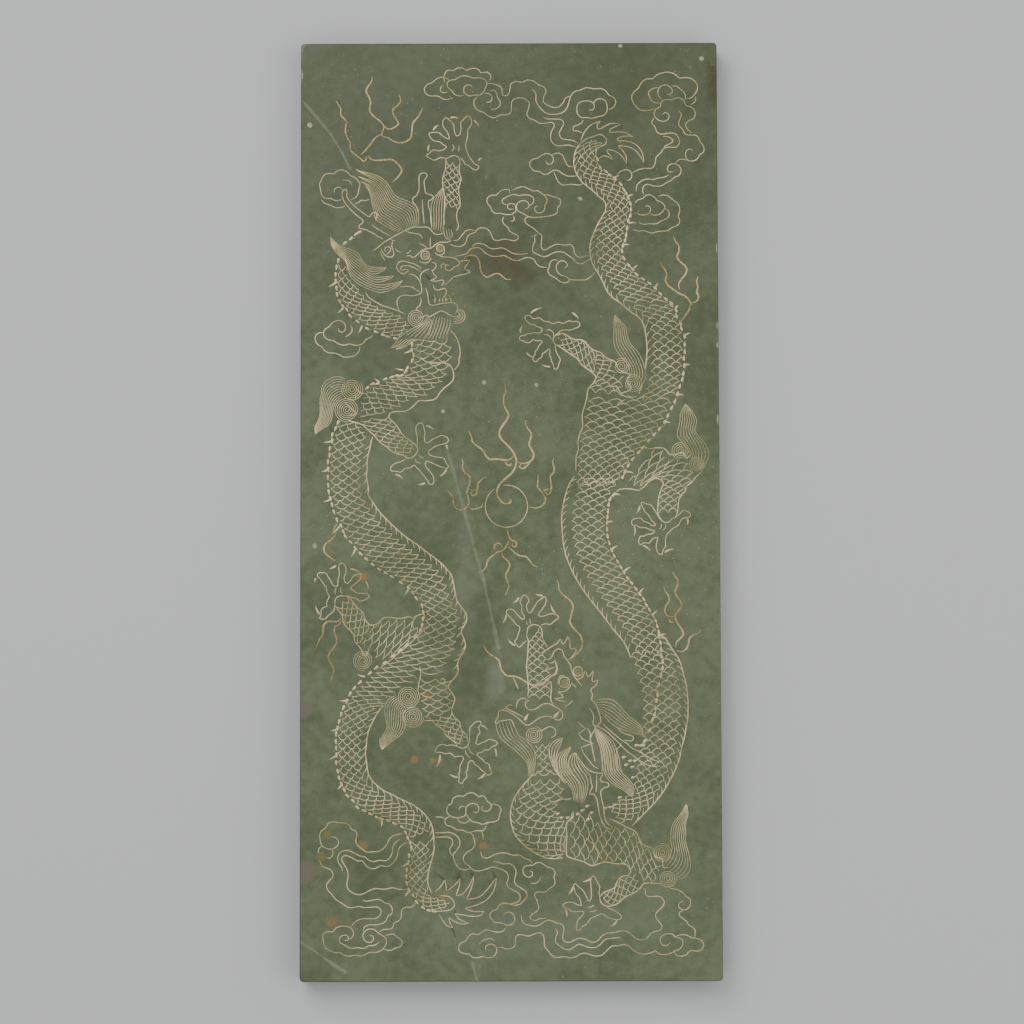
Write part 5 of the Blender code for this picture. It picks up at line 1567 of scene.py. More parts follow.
# Feet of both dragons; a talon is the x and y of its root and of its tip
FEET = {
 "left_raised": dict(
  outline=[(-19.5,108),(-21.2,108.3),(-23.1,107.5),(-24.5,108.2),(-25.6,108.9),(-24.5,109.7),
     (-23.4,110.7),(-21.7,110.4),(-20,110.9),(-19.3,111.7),(-20.3,112.3),(-21.4,113.25),(-22.8,113.4),
     (-23.9,114.1),(-24.7,115.9),(-23.4,116.1),(-21.7,116.1),(-20.3,114.9),(-18.5,114.1),(-18.9,116.1),
     (-20.3,118),(-20.3,120),(-19.3,120.7),(-18,119.6),(-17.1,118.6),(-16.9,116.6),(-16.2,115.1),
     (-15.2,115.5),(-14.8,117.5),(-14.9,119.2),(-13.8,120.4),(-12.7,121.3),(-11.8,120.6),(-11.6,118.6),
     (-12.7,116.9),(-12.8,114.7),(-13.4,112.1),(-12.8,109.6),(-11.6,107.6),(-10.7,106.3),(-9.3,105.6),
     (-10.1,104.4),(-11.4,104.9),(-12.4,105.8),(-13.5,106.2),(-14.2,107.5),(-15.2,108.3)],
  wrist=[(-19.5,107.9),(-18,108.7),(-16.6,108.9),(-15.5,108.2),(-15.1,106.8)],
  creases=[[(-17.5,112.4),(-16.9,111.4),(-17.6,110.3)],[(-15.5,112.1),(-15.4,111),(-15.7,110.1)]],
  talons=[(-18.2,120.7,-15.6,120.6),(-11,120,-9.2,117.8),(-9.6,107.3,-8.2,108.2),
     (-24.9,110.4,-24.6,112.4),(-23.4,116.9,-21.7,118.5)],
  arm=([(-19.5,107.9),(-19.7,104.5),(-20.3,102.8),(-20.6,100.6),(-20,97),(-19.8,93),(-20.2,90),
     (-19.9,87.5)],
       [(-15.1,106.8),(-15.4,103.9),(-14.8,101.7),(-15.6,98.5),(-15.2,95.5),(-15.2,93.2),(-16.1,91.5),
          (-16.1,89),(-15.6,87),(-16.3,85.5)])),
 "right_front": dict(
  outline=[(13.7,52.9),(14.8,53.7),(16.2,54.7),(18.9,54.7),(20,55.2),(21.3,55.7),(21.6,56.6),(21,57.3),
     (19.2,57.3),(18.4,57.6),(17.6,57.3),(16.6,56.7),(16,56.9),(15,57.2),(14.2,56.9),(13.2,56.7),
     (12,57.3),(10.7,57.4),(9.8,58.1),(8.9,58.6),(7.6,58.2),(6.8,58.6),(6.3,59.2),(5.5,59.3),(4.8,58.8),
     (4.8,58),(5.6,57.3),(6.3,56.6),(7.5,56.4),(8.4,55.8),(9.6,55.4),(10,54.9),(9.8,54.2),(9.2,53.8),
     (7.4,53.9),(6.6,53.6),(5.4,53.6),(4.5,53),(3.7,53),(3,52.4),(3.2,51.7),(4,51.5),(4.6,51.1),
     (5.5,50.8),(6.4,51),(7.2,51.8),(8.1,51.4),(9.7,51.4),(10,50.9),(9,49.9),(8.6,48.8),(7.9,48.2),
     (7.8,47.2),(7.2,46.3),(7.1,45.6),(7.7,45),(8.3,45),(8.9,45.8),(9.8,46.2),(10.1,47.4),(11.1,48),
     (11.9,48.9),(12.4,48.4),(12.3,47),(12.8,45.7),(12.9,44.9),(13.4,44.1),(13.6,42.8),(14.3,42.6),
     (14.9,43.3),(15.1,44.3),(15.6,45.4),(15.4,46.1),(14.8,46.9),(14.3,48),(14,49.3),(14,50.1)],
  wrist=[(14,50.2),(13.4,51.3),(13.4,52.1),(13.9,52.9),(15.2,53.6),(16.3,53.6)],
  creases=[[(11.25,54.6),(12,54.9),(12.9,54.5),(13.4,53.9),(13.5,53)],[(10.6,53.25),(11.6,53.3),
     (12.3,52.75),(12.75,51.75)]],
  talons=[(6.4,59.9,9.9,61.6),(19.2,60.1,21.2,58.1),(3.3,53.9,3.9,56.1),(6.8,46.4,5.1,48),
     (12.5,43.4,9.8,44.1)],
  arm=([(14,50.3),(15,49.9),(16.2,49),(17.4,48),(18.8,47.4),(20,46.5),(21,45.5),(21.7,44.4),(23,43.2),
     (24.5,42.2),(26,40.8)],
       [(16.3,53.6),(17.5,53.1),(18.6,52.4),(20,51.8),(22,51.7),(23.2,51.2),(23.8,50.4),(24.8,49.2),
          (26,48.4)])),
 "left_hind": dict(
  outline=[(-12.5,-70.1),(-12.4,-67.2),(-11.8,-66.5),(-10.6,-65.4),(-9.7,-65.2),(-9.05,-65.4),
     (-9.2,-66.3),(-9.9,-67.1),(-9.5,-67.9),(-9.4,-68.8),(-10.2,-69.7),(-10.3,-70.8),(-10.7,-71.8),
     (-9.8,-72.3),(-8.8,-71.7),(-7.7,-71.4),(-6.7,-70.7),(-5.5,-70.9),(-4.4,-71.4),(-4.1,-72),
     (-4.7,-72.6),(-5.7,-73),(-6.5,-73.8),(-7.9,-73.9),(-8.8,-74.6),(-10.2,-75),(-10.2,-75.6),
     (-9.2,-76.4),(-8.5,-76.9),(-8,-77.7),(-7.1,-78),(-6.5,-78.6),(-6.3,-79.8),(-5.8,-80.4),(-5.9,-81.1),
     (-6.7,-81.6),(-7.4,-81.4),(-8.1,-80.6),(-9,-80),(-9.8,-79),(-10.9,-78.4),(-11.4,-77.5),
     (-11.9,-77.1),(-12.8,-77.7),(-13.1,-78.9),(-13.2,-79.9),(-13.7,-80.6),(-13.3,-81.6),(-13.5,-82.3),
     (-14.3,-83.1),(-14.7,-84),(-15.4,-84),(-15.9,-83.5),(-15.7,-82.4),(-15.8,-81.2),(-15.5,-80.1),
     (-15.6,-79.2),(-15.2,-78.2),(-14.7,-77.3),(-14.4,-76.5),(-14.7,-75.9),(-15.8,-75.8),(-17,-76),
     (-17.6,-75.5),(-18.2,-74.9),(-19,-74.9),(-19.8,-75.1),(-20.6,-74.8),(-21.6,-74.6),(-22.6,-74.7),
     (-23,-74.1),(-22.6,-73.2),(-21.5,-72.3),(-20.3,-72.3),(-19.4,-72.6),(-18.3,-72.4),(-17.2,-72.5),
     (-16.3,-72.9)],
  wrist=[(-16.4,-72.6),(-15.3,-73.3),(-14,-73.3),(-13.3,-72.8),(-12.8,-72),(-12.5,-70.9),(-12.6,-69.8)],
  creases=[[(-12.9,-73.1),(-12.5,-74.1),(-11.9,-74.9),(-11,-75.4)],[(-13.8,-74),(-13.7,-74.9),
     (-13.1,-75.7),(-12.35,-76.3)]],
  talons=[(-9,-66.4,-7,-67.8),(-4.8,-73.4,-4.5,-76.1),(-7.9,-81.2,-10.2,-82.8),(-16.1,-82.2,-18.7,-81.2),
     (-21.5,-75.2,-22.6,-79)],
  arm=([(-26,-65),(-24,-64.9),(-23.3,-65.5),(-22.8,-66.3),(-21.2,-67.2),(-20.6,-67.9),(-20,-69),
     (-19.2,-70),(-18,-70.7),(-17.1,-71.5),(-16.4,-72.5)],
       [(-18,-62),(-17.6,-63.4),(-16.8,-64.3),(-15.9,-65),(-15.4,-65.9),(-15.3,-67),(-14.9,-67.9),
          (-14.2,-68.7),(-13.5,-69.4),(-13.2,-70.3),(-13.2,-71.5)])),
}

# Left dragon: neck, chest and foreleg
BODY_L1 = {
 "leg": [(-27.7,46.8),(-26.7,45.7),(-25,44.8),(-22.7,44.6),(-20.3,44.7),(-18.7,44.2),(-17.7,43),
    (-17.2,41.3),(-17.3,39.7),(-18.3,38.3),(-20,37),(-21.3,35.7),(-22.2,34.2),(-23.3,33.3),(-25.7,33),
    (-27.8,33),(-29,32),(-30.3,30.7),(-32,29.8),(-34,29.7),(-35.7,29.6),(-36.8,29),(-37.1,28),(-36.3,27),
    (-35,25.7),(-34,24.3),(-33.3,23),(-32,21.7),(-30.3,20.5),(-29,19.5),(-28.2,18),(-28.7,16.7),
    (-30,15.5),(-31.3,15.3),(-32.7,16.2),(-34.7,16.7),(-36.3,17.5),(-37.7,18.8),(-39.3,19.8),
    (-40.7,21.2),(-41.7,22.5),(-42.7,23.3),(-44,24.5),(-45.3,25.7),(-47,26.3),(-48.7,26.7),(-49.7,27.3)],
 "chest": [(-18.3,54.8),(-16.8,53.3),(-15.8,51.3),(-15.3,49.3),(-15.2,47.3),(-15.6,45.9),(-15.5,44.7),
    (-16.2,43.3),(-17,42.5)],
 "foot": dict(
  outline=[(-28.4,19.2),(-28.4,21.7),(-28.8,24),(-28.7,25.2),(-27.7,26.1),(-26.8,26),(-26.5,25),
     (-26,23.3),(-26.2,21.7),(-26,20.3),(-25.3,20),(-23.5,21.2),(-22.3,21.7),(-21.2,22.3),(-19.3,21.7),
     (-18.8,20.8),(-19.3,20),(-21,19.5),(-22.7,19),(-24.3,18),(-25.1,17.2),(-24.5,16.3),(-23,15.7),
     (-21.2,15.5),(-20,15),(-19.5,13.7),(-18.8,12.8),(-19.3,12.2),(-20.7,12.5),(-22.7,13.3),(-24.3,14),
     (-25.5,14.3),(-26,13.7),(-25.5,12.3),(-24.3,11),(-23.5,9.7),(-23.3,8),(-23.8,7.2),(-24.8,7.5),
     (-25.3,8.5),(-26.5,10),(-27.2,11),(-28.5,12.3),(-29.3,13.2),(-30.7,12.3),(-32,12.2),(-33.7,11),
     (-34.7,11.3),(-36,11.3),(-36.6,12),(-36.2,13),(-35,13.8),(-33.5,14.2),(-32,15)],
  creases=[[(-28,16.3),(-27.5,15.8),(-26.5,15.3)],[(-29.2,15),(-28.7,14.2),(-27.3,13.7)]],
  talons=[(-25.7,25.3,-23.5,24.2),(-19.5,19.4,-19.2,18),(-19.3,12,-21.5,9.7),(-26,7.7,-28.3,7.2),
     (-35.2,10.4,-32.8,9)]),
 "beads": [[(-38.7,53.3),(-37.3,52.8),(-35,52.2)],[(-30,50.3),(-30,48.5),(-29.5,47),(-30,45.3),
    (-31.5,43),(-32,42),(-33.3,40.8),(-34.7,40.8),(-36.3,40.3),(-38.3,39.7),(-40.7,38.3),(-42.2,38.2),
    (-43.8,37)],
           [(-52.7,26.3),(-53.5,24.5),(-54.5,22.5),(-54.5,20.7),(-55.2,18.3),(-55.3,16.3),(-55.8,14.2),
              (-55.7,12),(-55.8,9.5),(-55.7,7),(-55.5,5)]],
 "spurs": [(-30,48.7,-32.5,47.7),(-32.5,42.5,-35,43),(-39.8,38.8,-41.7,40.2),(-54.5,20.7,-57.2,20.3),
    (-55.7,12,-57.7,11.2)],
 "belly": [(-42,22),(-42.5,20.7),(-42.8,18.7),(-43.5,16.3),(-43.8,14),(-43.7,12),(-44,10),(-43.7,8),
    (-43.3,6),(-43.5,4)],
 "link": [(-47.3,37),(-45.8,35.5),(-44,35.2)],
 "rosettes": [(-48.5,36.5,3.45,10,-60),(-50,30.3,3.8,60,-60)],
 "rosette_edges": [[(-47.2,35.2),(-47.3,33.3)],[(-50.7,32.8),(-49.3,31.3),(-48,30),(-47.2,29.3),
    (-47.7,28.7),(-49.7,28.5)]],
 "locks": [([(-50.3,39.7),(-51.7,40.3),(-53,40.6),(-55,40),(-56.8,38.7),(-57.7,37),(-57.8,35.3),
    (-58.2,33.3),(-58.2,31),(-58.2,29),(-58.8,27),(-59.8,25),(-59.7,22.7)],
            [(-51.3,34.4),(-53.3,32.7),(-54.2,31),(-54.3,29),(-54.8,27),(-56,25.3),(-57.7,24.3),
               (-59,23.3),(-59.7,22.7)],13,[]),
           ([(-33.7,52.7),(-35,51),(-35.8,50),(-36.8,49.3)],[(-26.7,52),(-29.5,51.5),(-31.5,50),
              (-33.3,49.2),(-35,48.7)],7,[(-36.5,49.3),(-35,48.8)])],
 }

# Left dragon: middle of the body and the leg on its left
BODY_L2 = {
 "belly": [(-43.5,4),(-42.3,2.3),(-41.2,0.5),(-39.5,-1.7),(-37.3,-4),(-35,-6.2),(-33,-8),(-30.7,-9.7),
    (-28.3,-11.3),(-26,-13.2),(-23.5,-15),(-21,-17),(-19.3,-18.9),(-18,-20.5),(-17.5,-22.5),(-17,-25),
    (-16.7,-27),(-16,-29),(-14.6,-30.7),(-13.4,-32.7),(-13.4,-34.7),(-14.4,-36.5),(-15,-38),(-14.2,-40),
    (-13.7,-42),(-14.3,-44),(-15.6,-46),(-16.2,-48),(-16,-50)],
 "beads": [[(-55.5,5),(-55,3),(-54.5,1),(-53.9,-1.2),(-53,-3.6)],[(-51.7,-5.4),(-51,-7.2),(-50.3,-8.8),
    (-48.8,-10.4),(-47.3,-12.3),(-45.7,-14),(-44,-15.6),(-42,-17.3),(-40,-18.8),(-38,-19.9),(-36.2,-21),
    (-33.3,-22.9),(-31,-24.5),(-29.8,-26),(-28.7,-27.7)],
           [(-27,-30),(-26.6,-32),(-26.7,-34),(-27,-36),(-27.6,-37.5),(-29,-39.3),(-31.8,-42),
              (-33.8,-43.6),(-35.8,-45.2),(-38.5,-47.3),(-41,-48.8)]],
 "spurs": [(-54.5,3,-57.2,2),(-52,-5.2,-54.5,-7.8),(-47.3,-12.3,-48.8,-15),(-31,-24.5,-32.5,-26.8)],
 "spine": [(-26.6,-37.5),(-29,-39.8),(-32,-42.7),(-34,-44.2),(-36,-46),(-38,-47.5),(-40,-49)],
 "loop": [(-29.7,-33.6),(-28.7,-33),(-27.2,-32.5),(-26.4,-32.5),(-26.3,-34)],
 "loop2": [(-28.6,-33.2),(-29.6,-34.3),(-29.9,-35.8),(-29.2,-37.2)],
 "thigh": [(-51.3,-33),(-51.1,-34.7),(-50.2,-36.2),(-48.8,-37.5),(-47.8,-39),(-47.5,-40.7),(-46.5,-42),
    (-45.5,-43.3),(-45,-45)],
 "thigh2": [(-29.7,-33.6),(-31.3,-33.3),(-33.3,-33.8),(-35,-33.7),(-37,-33.4),(-38.5,-33.6),(-40,-34.8),
    (-41.3,-35.7),(-42.7,-35.8),(-44,-34.7),(-44.6,-33.3),(-45,-32),(-46,-31),(-47,-30.3),(-48,-29),
    (-48.8,-27.8),(-50,-27)],
 "foot": dict(
  outline=[(-53.6,-29.5),(-53.9,-31.3),(-54.7,-32.2),(-55.8,-33),(-56.3,-33.7),(-57.3,-34),(-58.3,-33.6),
     (-57.8,-32.7),(-57.8,-31.3),(-57.2,-30.5),(-56,-30),(-56.2,-29),(-55.8,-28),(-55.3,-27),(-56,-25.7),
     (-56.2,-24.3),(-57,-23.3),(-58,-21.7),(-59,-20.7),(-58.7,-19.9),(-57.5,-19.7),(-56.2,-20),
     (-55.7,-21),(-55,-22),(-54.2,-23.5),(-53.3,-24),(-52.8,-23.7),(-52.7,-22),(-52.3,-20.7),
     (-52.3,-19.3),(-52.4,-17.7),(-51.8,-16.8),(-51,-17),(-50.2,-18.3),(-50.3,-20),(-50.8,-21.3),
     (-50.5,-22.7),(-49.7,-23),(-48.7,-22),(-48,-20.8),(-46.7,-20.3),(-45.7,-20),(-45.6,-21),(-46,-22),
     (-47.2,-23),(-48.3,-23.8),(-48.8,-24.5),(-48,-25.2),(-46.7,-26),(-45,-26.1),(-43.7,-26.2),
     (-43,-26.9),(-43.6,-27.6),(-45,-28.3),(-46,-28.4),(-47.2,-27.6),(-48.3,-27.4),(-49.3,-27),
     (-50.3,-26.9)],
  creases=[[(-53.5,-26.3),(-53.6,-25.3),(-53.2,-24.5)],[(-51.3,-26.2),(-51.9,-25.3),(-51.7,-24.2)]],
  talons=[(-53.2,-17.5,-55.3,-18.5),(-49,-18.6,-46,-19.7),(-59.6,-21.3,-59.9,-22.6),
     (-58.2,-32.5,-59.5,-29.8),(-44.2,-22.4,-43.4,-25)],
  wrist=[(-53.6,-29.7),(-53.6,-28.3),(-53,-27.3),(-51.8,-26.8),(-50.2,-27)],
  arm=([(-53.6,-29.7),(-52.5,-31.3),(-51.3,-33),(-51.1,-34.7),(-50.2,-36.2),(-48.8,-37.5),(-47.8,-39),
     (-47.5,-40.7),(-46.5,-42)],
       [(-50,-27),(-48.8,-27.8),(-48,-29),(-47,-30.3),(-46,-31),(-45,-32),(-44.6,-33.3),(-44,-34.7),
          (-42.7,-35.8)])),
 "rosettes": [(-45,-46.6,3.1,95,60)],
 "vee": [[(-45.3,-43.6),(-44.8,-44.6),(-44.3,-45.2),(-43.6,-44.2),(-43,-43)]],
 }

# Left dragon: hip and hind part
BODY_L3 = {
 "hip": [(-16,-48),(-16,-50),(-17,-52),(-18.3,-53.3),(-19,-54.7),(-18,-56.3),(-17,-58.3),(-17.5,-60),
    (-18,-62)],
 "hip_inner": [[(-27.7,-48.5),(-27.4,-51),(-28,-53.5),(-28.2,-56),(-27.6,-58)],[(-21.3,-52.7),
    (-20.8,-52.2),(-20,-52.5),(-20.2,-53.6),(-21,-53.8),(-21.5,-53.2)]],
 "knee": [(-26.6,-64.9),(-25.5,-65),(-24,-65)],
 "rosettes": [(-31.2,-57.7,3.5,0,0),(-29.8,-63.8,3.3,60,-60)],
 "locks": [([(-34.7,-57.3),(-36.7,-58),(-38,-59.7),(-38.4,-62),(-38,-64.7),(-37.7,-67),(-38.7,-69),
    (-40,-71),(-39.3,-73.8)],
            [(-32,-61.3),(-32.7,-62.9),(-32.3,-64.7),(-32.2,-67),(-33.3,-69),(-35.7,-71),(-38,-72.7),
               (-39.3,-73.8)],12,[])],
 "beads": [[(-41,-48.8),(-43,-50.5),(-46,-53.3),(-47.7,-55),(-49,-56.8),(-50,-59),(-51,-61),(-51.7,-63),
    (-52.3,-65.2),(-52.8,-67.2),(-53.2,-69),(-53.3,-71.3),(-53.2,-73.3),(-53.1,-75.4),(-53.2,-77.7),
    (-52.7,-80.3),(-52.3,-82.3),(-51.5,-84.2),(-50.7,-86),(-49.7,-87.8),(-48,-89.3),(-46.7,-91.3),
    (-44.7,-92.3),(-42.7,-93.3),(-40.7,-94.3),(-39.3,-94.8),(-37.3,-95.3),(-35.3,-96.2),(-33,-97.3),
    (-32,-99),(-31.3,-100.7)]],
 "spurs": [(-44.3,-51.5,-46.7,-50.8),(-49.7,-58.7,-52.3,-58.8),(-52.3,-67.2,-54.8,-68),
    (-52.8,-75.2,-55.5,-76.7),(-51.5,-84.2,-52.8,-85.8),(-39.3,-94.7,-39.5,-97.2)],
 "belly": [(-38.7,-60.5),(-39.7,-61.3),(-41,-63.3),(-42.3,-65.7),(-43.3,-68),(-43.8,-70.3),(-44,-72.7),
    (-44.3,-74.7),(-44,-76.7),(-43.8,-79),(-43.3,-81.3),(-42.3,-83),(-40.7,-84.7),(-38.7,-86.2),
    (-36.3,-87.3),(-33.7,-88.7),(-31.3,-89.8),(-29.3,-90.8),(-27.3,-92.3),(-25.7,-94),(-24.5,-95.7),
    (-23.8,-97.7),(-23.5,-100),(-23.5,-102)],
}
# Left dragon: pairs of a back and a belly point, from head to tail
LEFT_ROWS = [
 ((-53,76),(-46,74)),((-53.4,70),(-45.5,68.5)),((-53,65.8),(-43.8,66)),((-50.6,61.8),(-39.3,62.5)),
    ((-46.7,57.5),(-34.3,60.8)),
 ((-41,54.3),(-29.5,59.6)),((-36,52.4),(-24.5,57.6)),((-31.6,50.4),(-17.8,54.2)),((-30,48),(-15.6,50)),
    ((-30,45.3),(-15.4,46)),
 ((-31.5,43),(-17,42)),((-33.3,40.8),(-17.3,39.5)),((-36.3,40.3),(-20,37)),((-38.3,39.7),(-23,33.6)),
    ((-40.7,38.3),(-27.8,33)),((-43.8,37),(-31.5,30)),
 ((-46.8,34),(-35.7,29.4)),((-49.5,30),(-38.5,26.5)),((-52.7,26.3),(-41.6,23)),((-54.2,22.5),(-42.6,20)),
    ((-55.2,18.3),(-43.3,16.8)),
 ((-55.8,14.2),(-43.8,13.4)),((-55.8,9.5),(-43.8,9.4)),((-55.6,5.4),(-43.4,5)),((-54.6,1),(-41.5,1)),
    ((-53,-3.6),(-38.4,-3)),
 ((-50.3,-8.8),(-34.5,-6.6)),((-47.3,-12.3),(-30.7,-9.7)),((-44,-15.6),(-27,-12.4)),((-40,-18.8),
    (-23.5,-15)),((-36.2,-21),(-20,-18)),
 ((-33,-23),(-17.8,-21)),((-30.4,-25.6),(-17,-25)),((-28.2,-28.4),(-15.9,-29)),((-26.6,-32),(-13.4,-33)),
    ((-27.4,-37),(-14.9,-37.6)),
 ((-31.8,-42),(-13.8,-42)),((-36.6,-45.8),(-15.4,-46)),((-41,-48.8),(-18,-52)),((-45.4,-52.8),(-25,-58)),
    ((-49,-56.8),(-34,-60.4)),
 ((-51,-61),(-39.6,-61.4)),((-52.3,-65.2),(-42.3,-65.7)),((-53.2,-69),(-43.6,-69.3)),((-53.2,-73.3),
    (-44.2,-73.7)),((-53.2,-77.7),(-43.9,-77.8)),
 ((-52.3,-82.3),(-43,-82)),((-50.7,-86),(-40.7,-84.7)),((-46.7,-91.3),(-37,-87)),((-42.7,-93.3),
    (-33.7,-88.7)),((-37.3,-95.3),(-29.3,-90.8)),
 ((-33,-97.3),(-26,-93.7)),((-31.3,-100.7),(-23.8,-98))]
HIND_LEG_ROWS = [((-28,-51),(-17.4,-52.4)),((-28,-54.5),(-18.6,-54.5)),((-27.4,-59),(-17.3,-59)),
   ((-26.6,-63),(-18,-62.4)),((-24.4,-65.4),(-17.2,-64.4)),((-22.6,-66.7),(-15.9,-65.5)),((-20.4,-68.2),
   (-15.2,-67.2)),((-18.6,-70.4),(-13.9,-69)),((-16.6,-72.2),(-13,-71.6))]

# Left dragon: tail
BODY_L4 = {
 "belly": [(-23.5,-102),(-23.3,-103.3),(-23.7,-105.7),(-24.3,-108),(-25,-110.3),(-25.3,-112.3),
    (-25.3,-114.3),(-24.7,-116),(-24,-117.3)],
 "tip": [(-21.5,-118),(-19,-118.3),(-17.5,-119.7),(-17.2,-121),(-18.3,-122.2),(-20.7,-122.7),
    (-22.7,-122.7),(-25,-122)],
 "beads": [[(-30.6,-102.2),(-30.3,-103.7),(-31,-106),(-31.2,-108),(-31.7,-110.3),(-31.8,-112.2),
    (-31.7,-114.3),(-31,-116.3),(-29.7,-118),(-28.7,-120),(-26.7,-121.7),(-25,-122.5),(-23.3,-122.8)]],
 "spurs": [(-31,-108,-33.5,-109.2),(-31,-116.3,-32.3,-118.2)],
 "fin": [(-23,-116.7),(-21.7,-115.7),(-20,-113.3),(-20,-113.3),(-19.8,-115),(-19.5,-116.5),
    (-19.5,-116.5),(-17.7,-115.3),(-16.3,-114),(-15.5,-112.8),(-15.5,-112.8),(-15.7,-115),(-16.5,-117.3),
    (-16.7,-118),(-16.7,-118),(-15,-117.7),(-13.3,-116),(-12,-113.7),(-11.2,-111.8),(-11.2,-111.8),
    (-11.7,-114.7),(-12.7,-117.3),(-13.5,-119),(-13.5,-119),(-11.7,-119),(-9.3,-118.2),(-7,-116),
    (-5.3,-113.7),(-4.5,-112.8),(-4.5,-112.8),(-4.7,-114.7),(-5.7,-117.3),(-7.7,-119.5),(-10.7,-121),
    (-14,-121.8),(-14,-121.8),(-12,-122.7),(-9.3,-122.9),(-8.3,-122.8),(-8.3,-122.8),(-9.3,-124),
    (-11.7,-124.3),(-14.3,-123.9),(-17,-123.5),(-17,-123.5),(-15.7,-125.2),(-14,-126),(-12.7,-126.4),
    (-12.7,-126.4),(-15,-126.6),(-17.3,-125.8),(-19,-124.7),(-19,-124.7),(-18.7,-126),(-17.8,-127.7),
    (-17.8,-127.7),(-19.3,-127.2),(-20.7,-125.7),(-21.8,-123.7)],
}
TAIL_ROWS_L = [((-31.3,-100.7),(-23.3,-101)),((-30.4,-104),(-23.4,-104)),((-31,-106.5),(-24,-107)),
   ((-31.7,-110.3),(-25,-110.4)),((-31.7,-114.3),(-25.2,-114.4)),((-30.4,-117.4),(-24,-117.3)),
   ((-28.7,-120),(-22.5,-118)),((-25.5,-122.3),(-20,-118.2)),((-21.5,-122.8),(-17.8,-119.5))]

# Right dragon: tail and the part below it
BODY_R1 = {
 "cap": [(22.1,112.7),(24.2,114.2),(25.9,114.7),(27.9,115.4),(29.3,114.8),(30.1,113.5),(29.6,112.3),
    (27.3,111.1),(26.8,109.9),(26.8,108.5)],
 "fin": [(22.1,113.4),(23.4,116.4),(25.6,118.6),(28.2,119.5),(28.2,119.5),(27.3,118.5),(27.2,117.5),
    (27.8,117.1),(29.6,118),(31.85,118.9),(34.5,118.4),(34.5,118.4),(33,117.9),(31.1,116.8),(31.1,116.1),
    (33.5,116.2),(36.1,115.9),(38.3,114.5),(38.3,114.5),(36.9,114.9),(34.7,114.7),(33.4,114.1),
    (33.7,113.5),(35.8,113.4),(38.3,112.7),(40.2,111.1),(41.2,109.3),(41.6,106.5),(41.6,106.5),
    (40.7,108.2),(39.2,110.15),(37.2,111.4),(35.2,111.8),(33.7,111.8),(35,110.4),(36.1,108.5),
    (36.1,106.2),(36.1,106.2),(35.4,107.75),(34.1,109.3),(32.4,110.3),(30.4,110.6),(30.3,110),
    (31.3,108.7),(31.85,107.5),(31.85,107.5),(30.4,108.5),(29,108.7),(27.8,108)],
 "belly": [(35.3,62),(33.7,63.3),(31.7,64.7),(30,66.7),(28.7,69.7),(27.3,72.3),(26,74.3),(25,77),
    (24.8,79.7),(25,82),(26,84.7),(27,87),(28.3,89.3),(29.5,91.3),(29.8,93),(29.3,94.7),(27.7,96),
    (26,97.7),(24,99.3),(22.3,100.7),(21,102.7),(20.2,104.7),(19.9,107),(20.3,109.7),(21.2,111.7),
    (22.1,112.7)],
 "beads": [[(49.7,63),(48,64.3),(46.3,66),(44.7,67.6),(43,69.2),(41,70.5),(39,72),(37.8,73.6),
    (36.7,74.8),(35.2,77),(34.7,79.3),(35,81),(35.7,82.7),(36,84.3),(36.3,86.3),(36.7,88.7),(37.3,90.3),
    (37.5,92.2),(37.3,94),(36.6,95.8),(36,97.2),(35.3,98.3),(34.3,100),(32.5,101.7),(31,102.8),
    (29.7,104),(28,105.3),(27.2,107.8)]],
 "spurs": [(36.3,95.8,38.3,96.7),(36.7,87.8,39.2,87.8),(34.7,81,37,81),(38.3,73.7,39.5,74.8),
    (44.7,67.3,45.8,69.2),(32,101.6,34,102.6)],
}
ROWS_R1 = [((49.7,62.6),(34.5,62.6)),((46.3,66),(30.5,66)),((43,69),(29,69)),((39.5,71.6),(27.6,71.6)),
   ((37,74.6),(26,74.3)),((35.3,77),(25,77)),((34.8,80),(24.8,79.7)),((35.3,82.7),(25,82)),((36,85.5),
   (26.2,85)),((36.6,88.2),(27.8,88.4)),((37.4,91.2),(29.4,91)),((37.4,93.6),(29.6,93.4)),((36.6,96.2),
   (28.6,95.4)),((35.3,98.3),(26.6,97.3)),((33,101.4),(24,99.6)),((31,102.8),(22.4,100.8)),((29,104.4),
   (20.8,103)),((27.6,107),(20,106.5)),((26.8,109.6),(20.3,109.7)),((27.8,111.6),(22,112.4)),
   ((29.6,112.6),(25,114.4))]

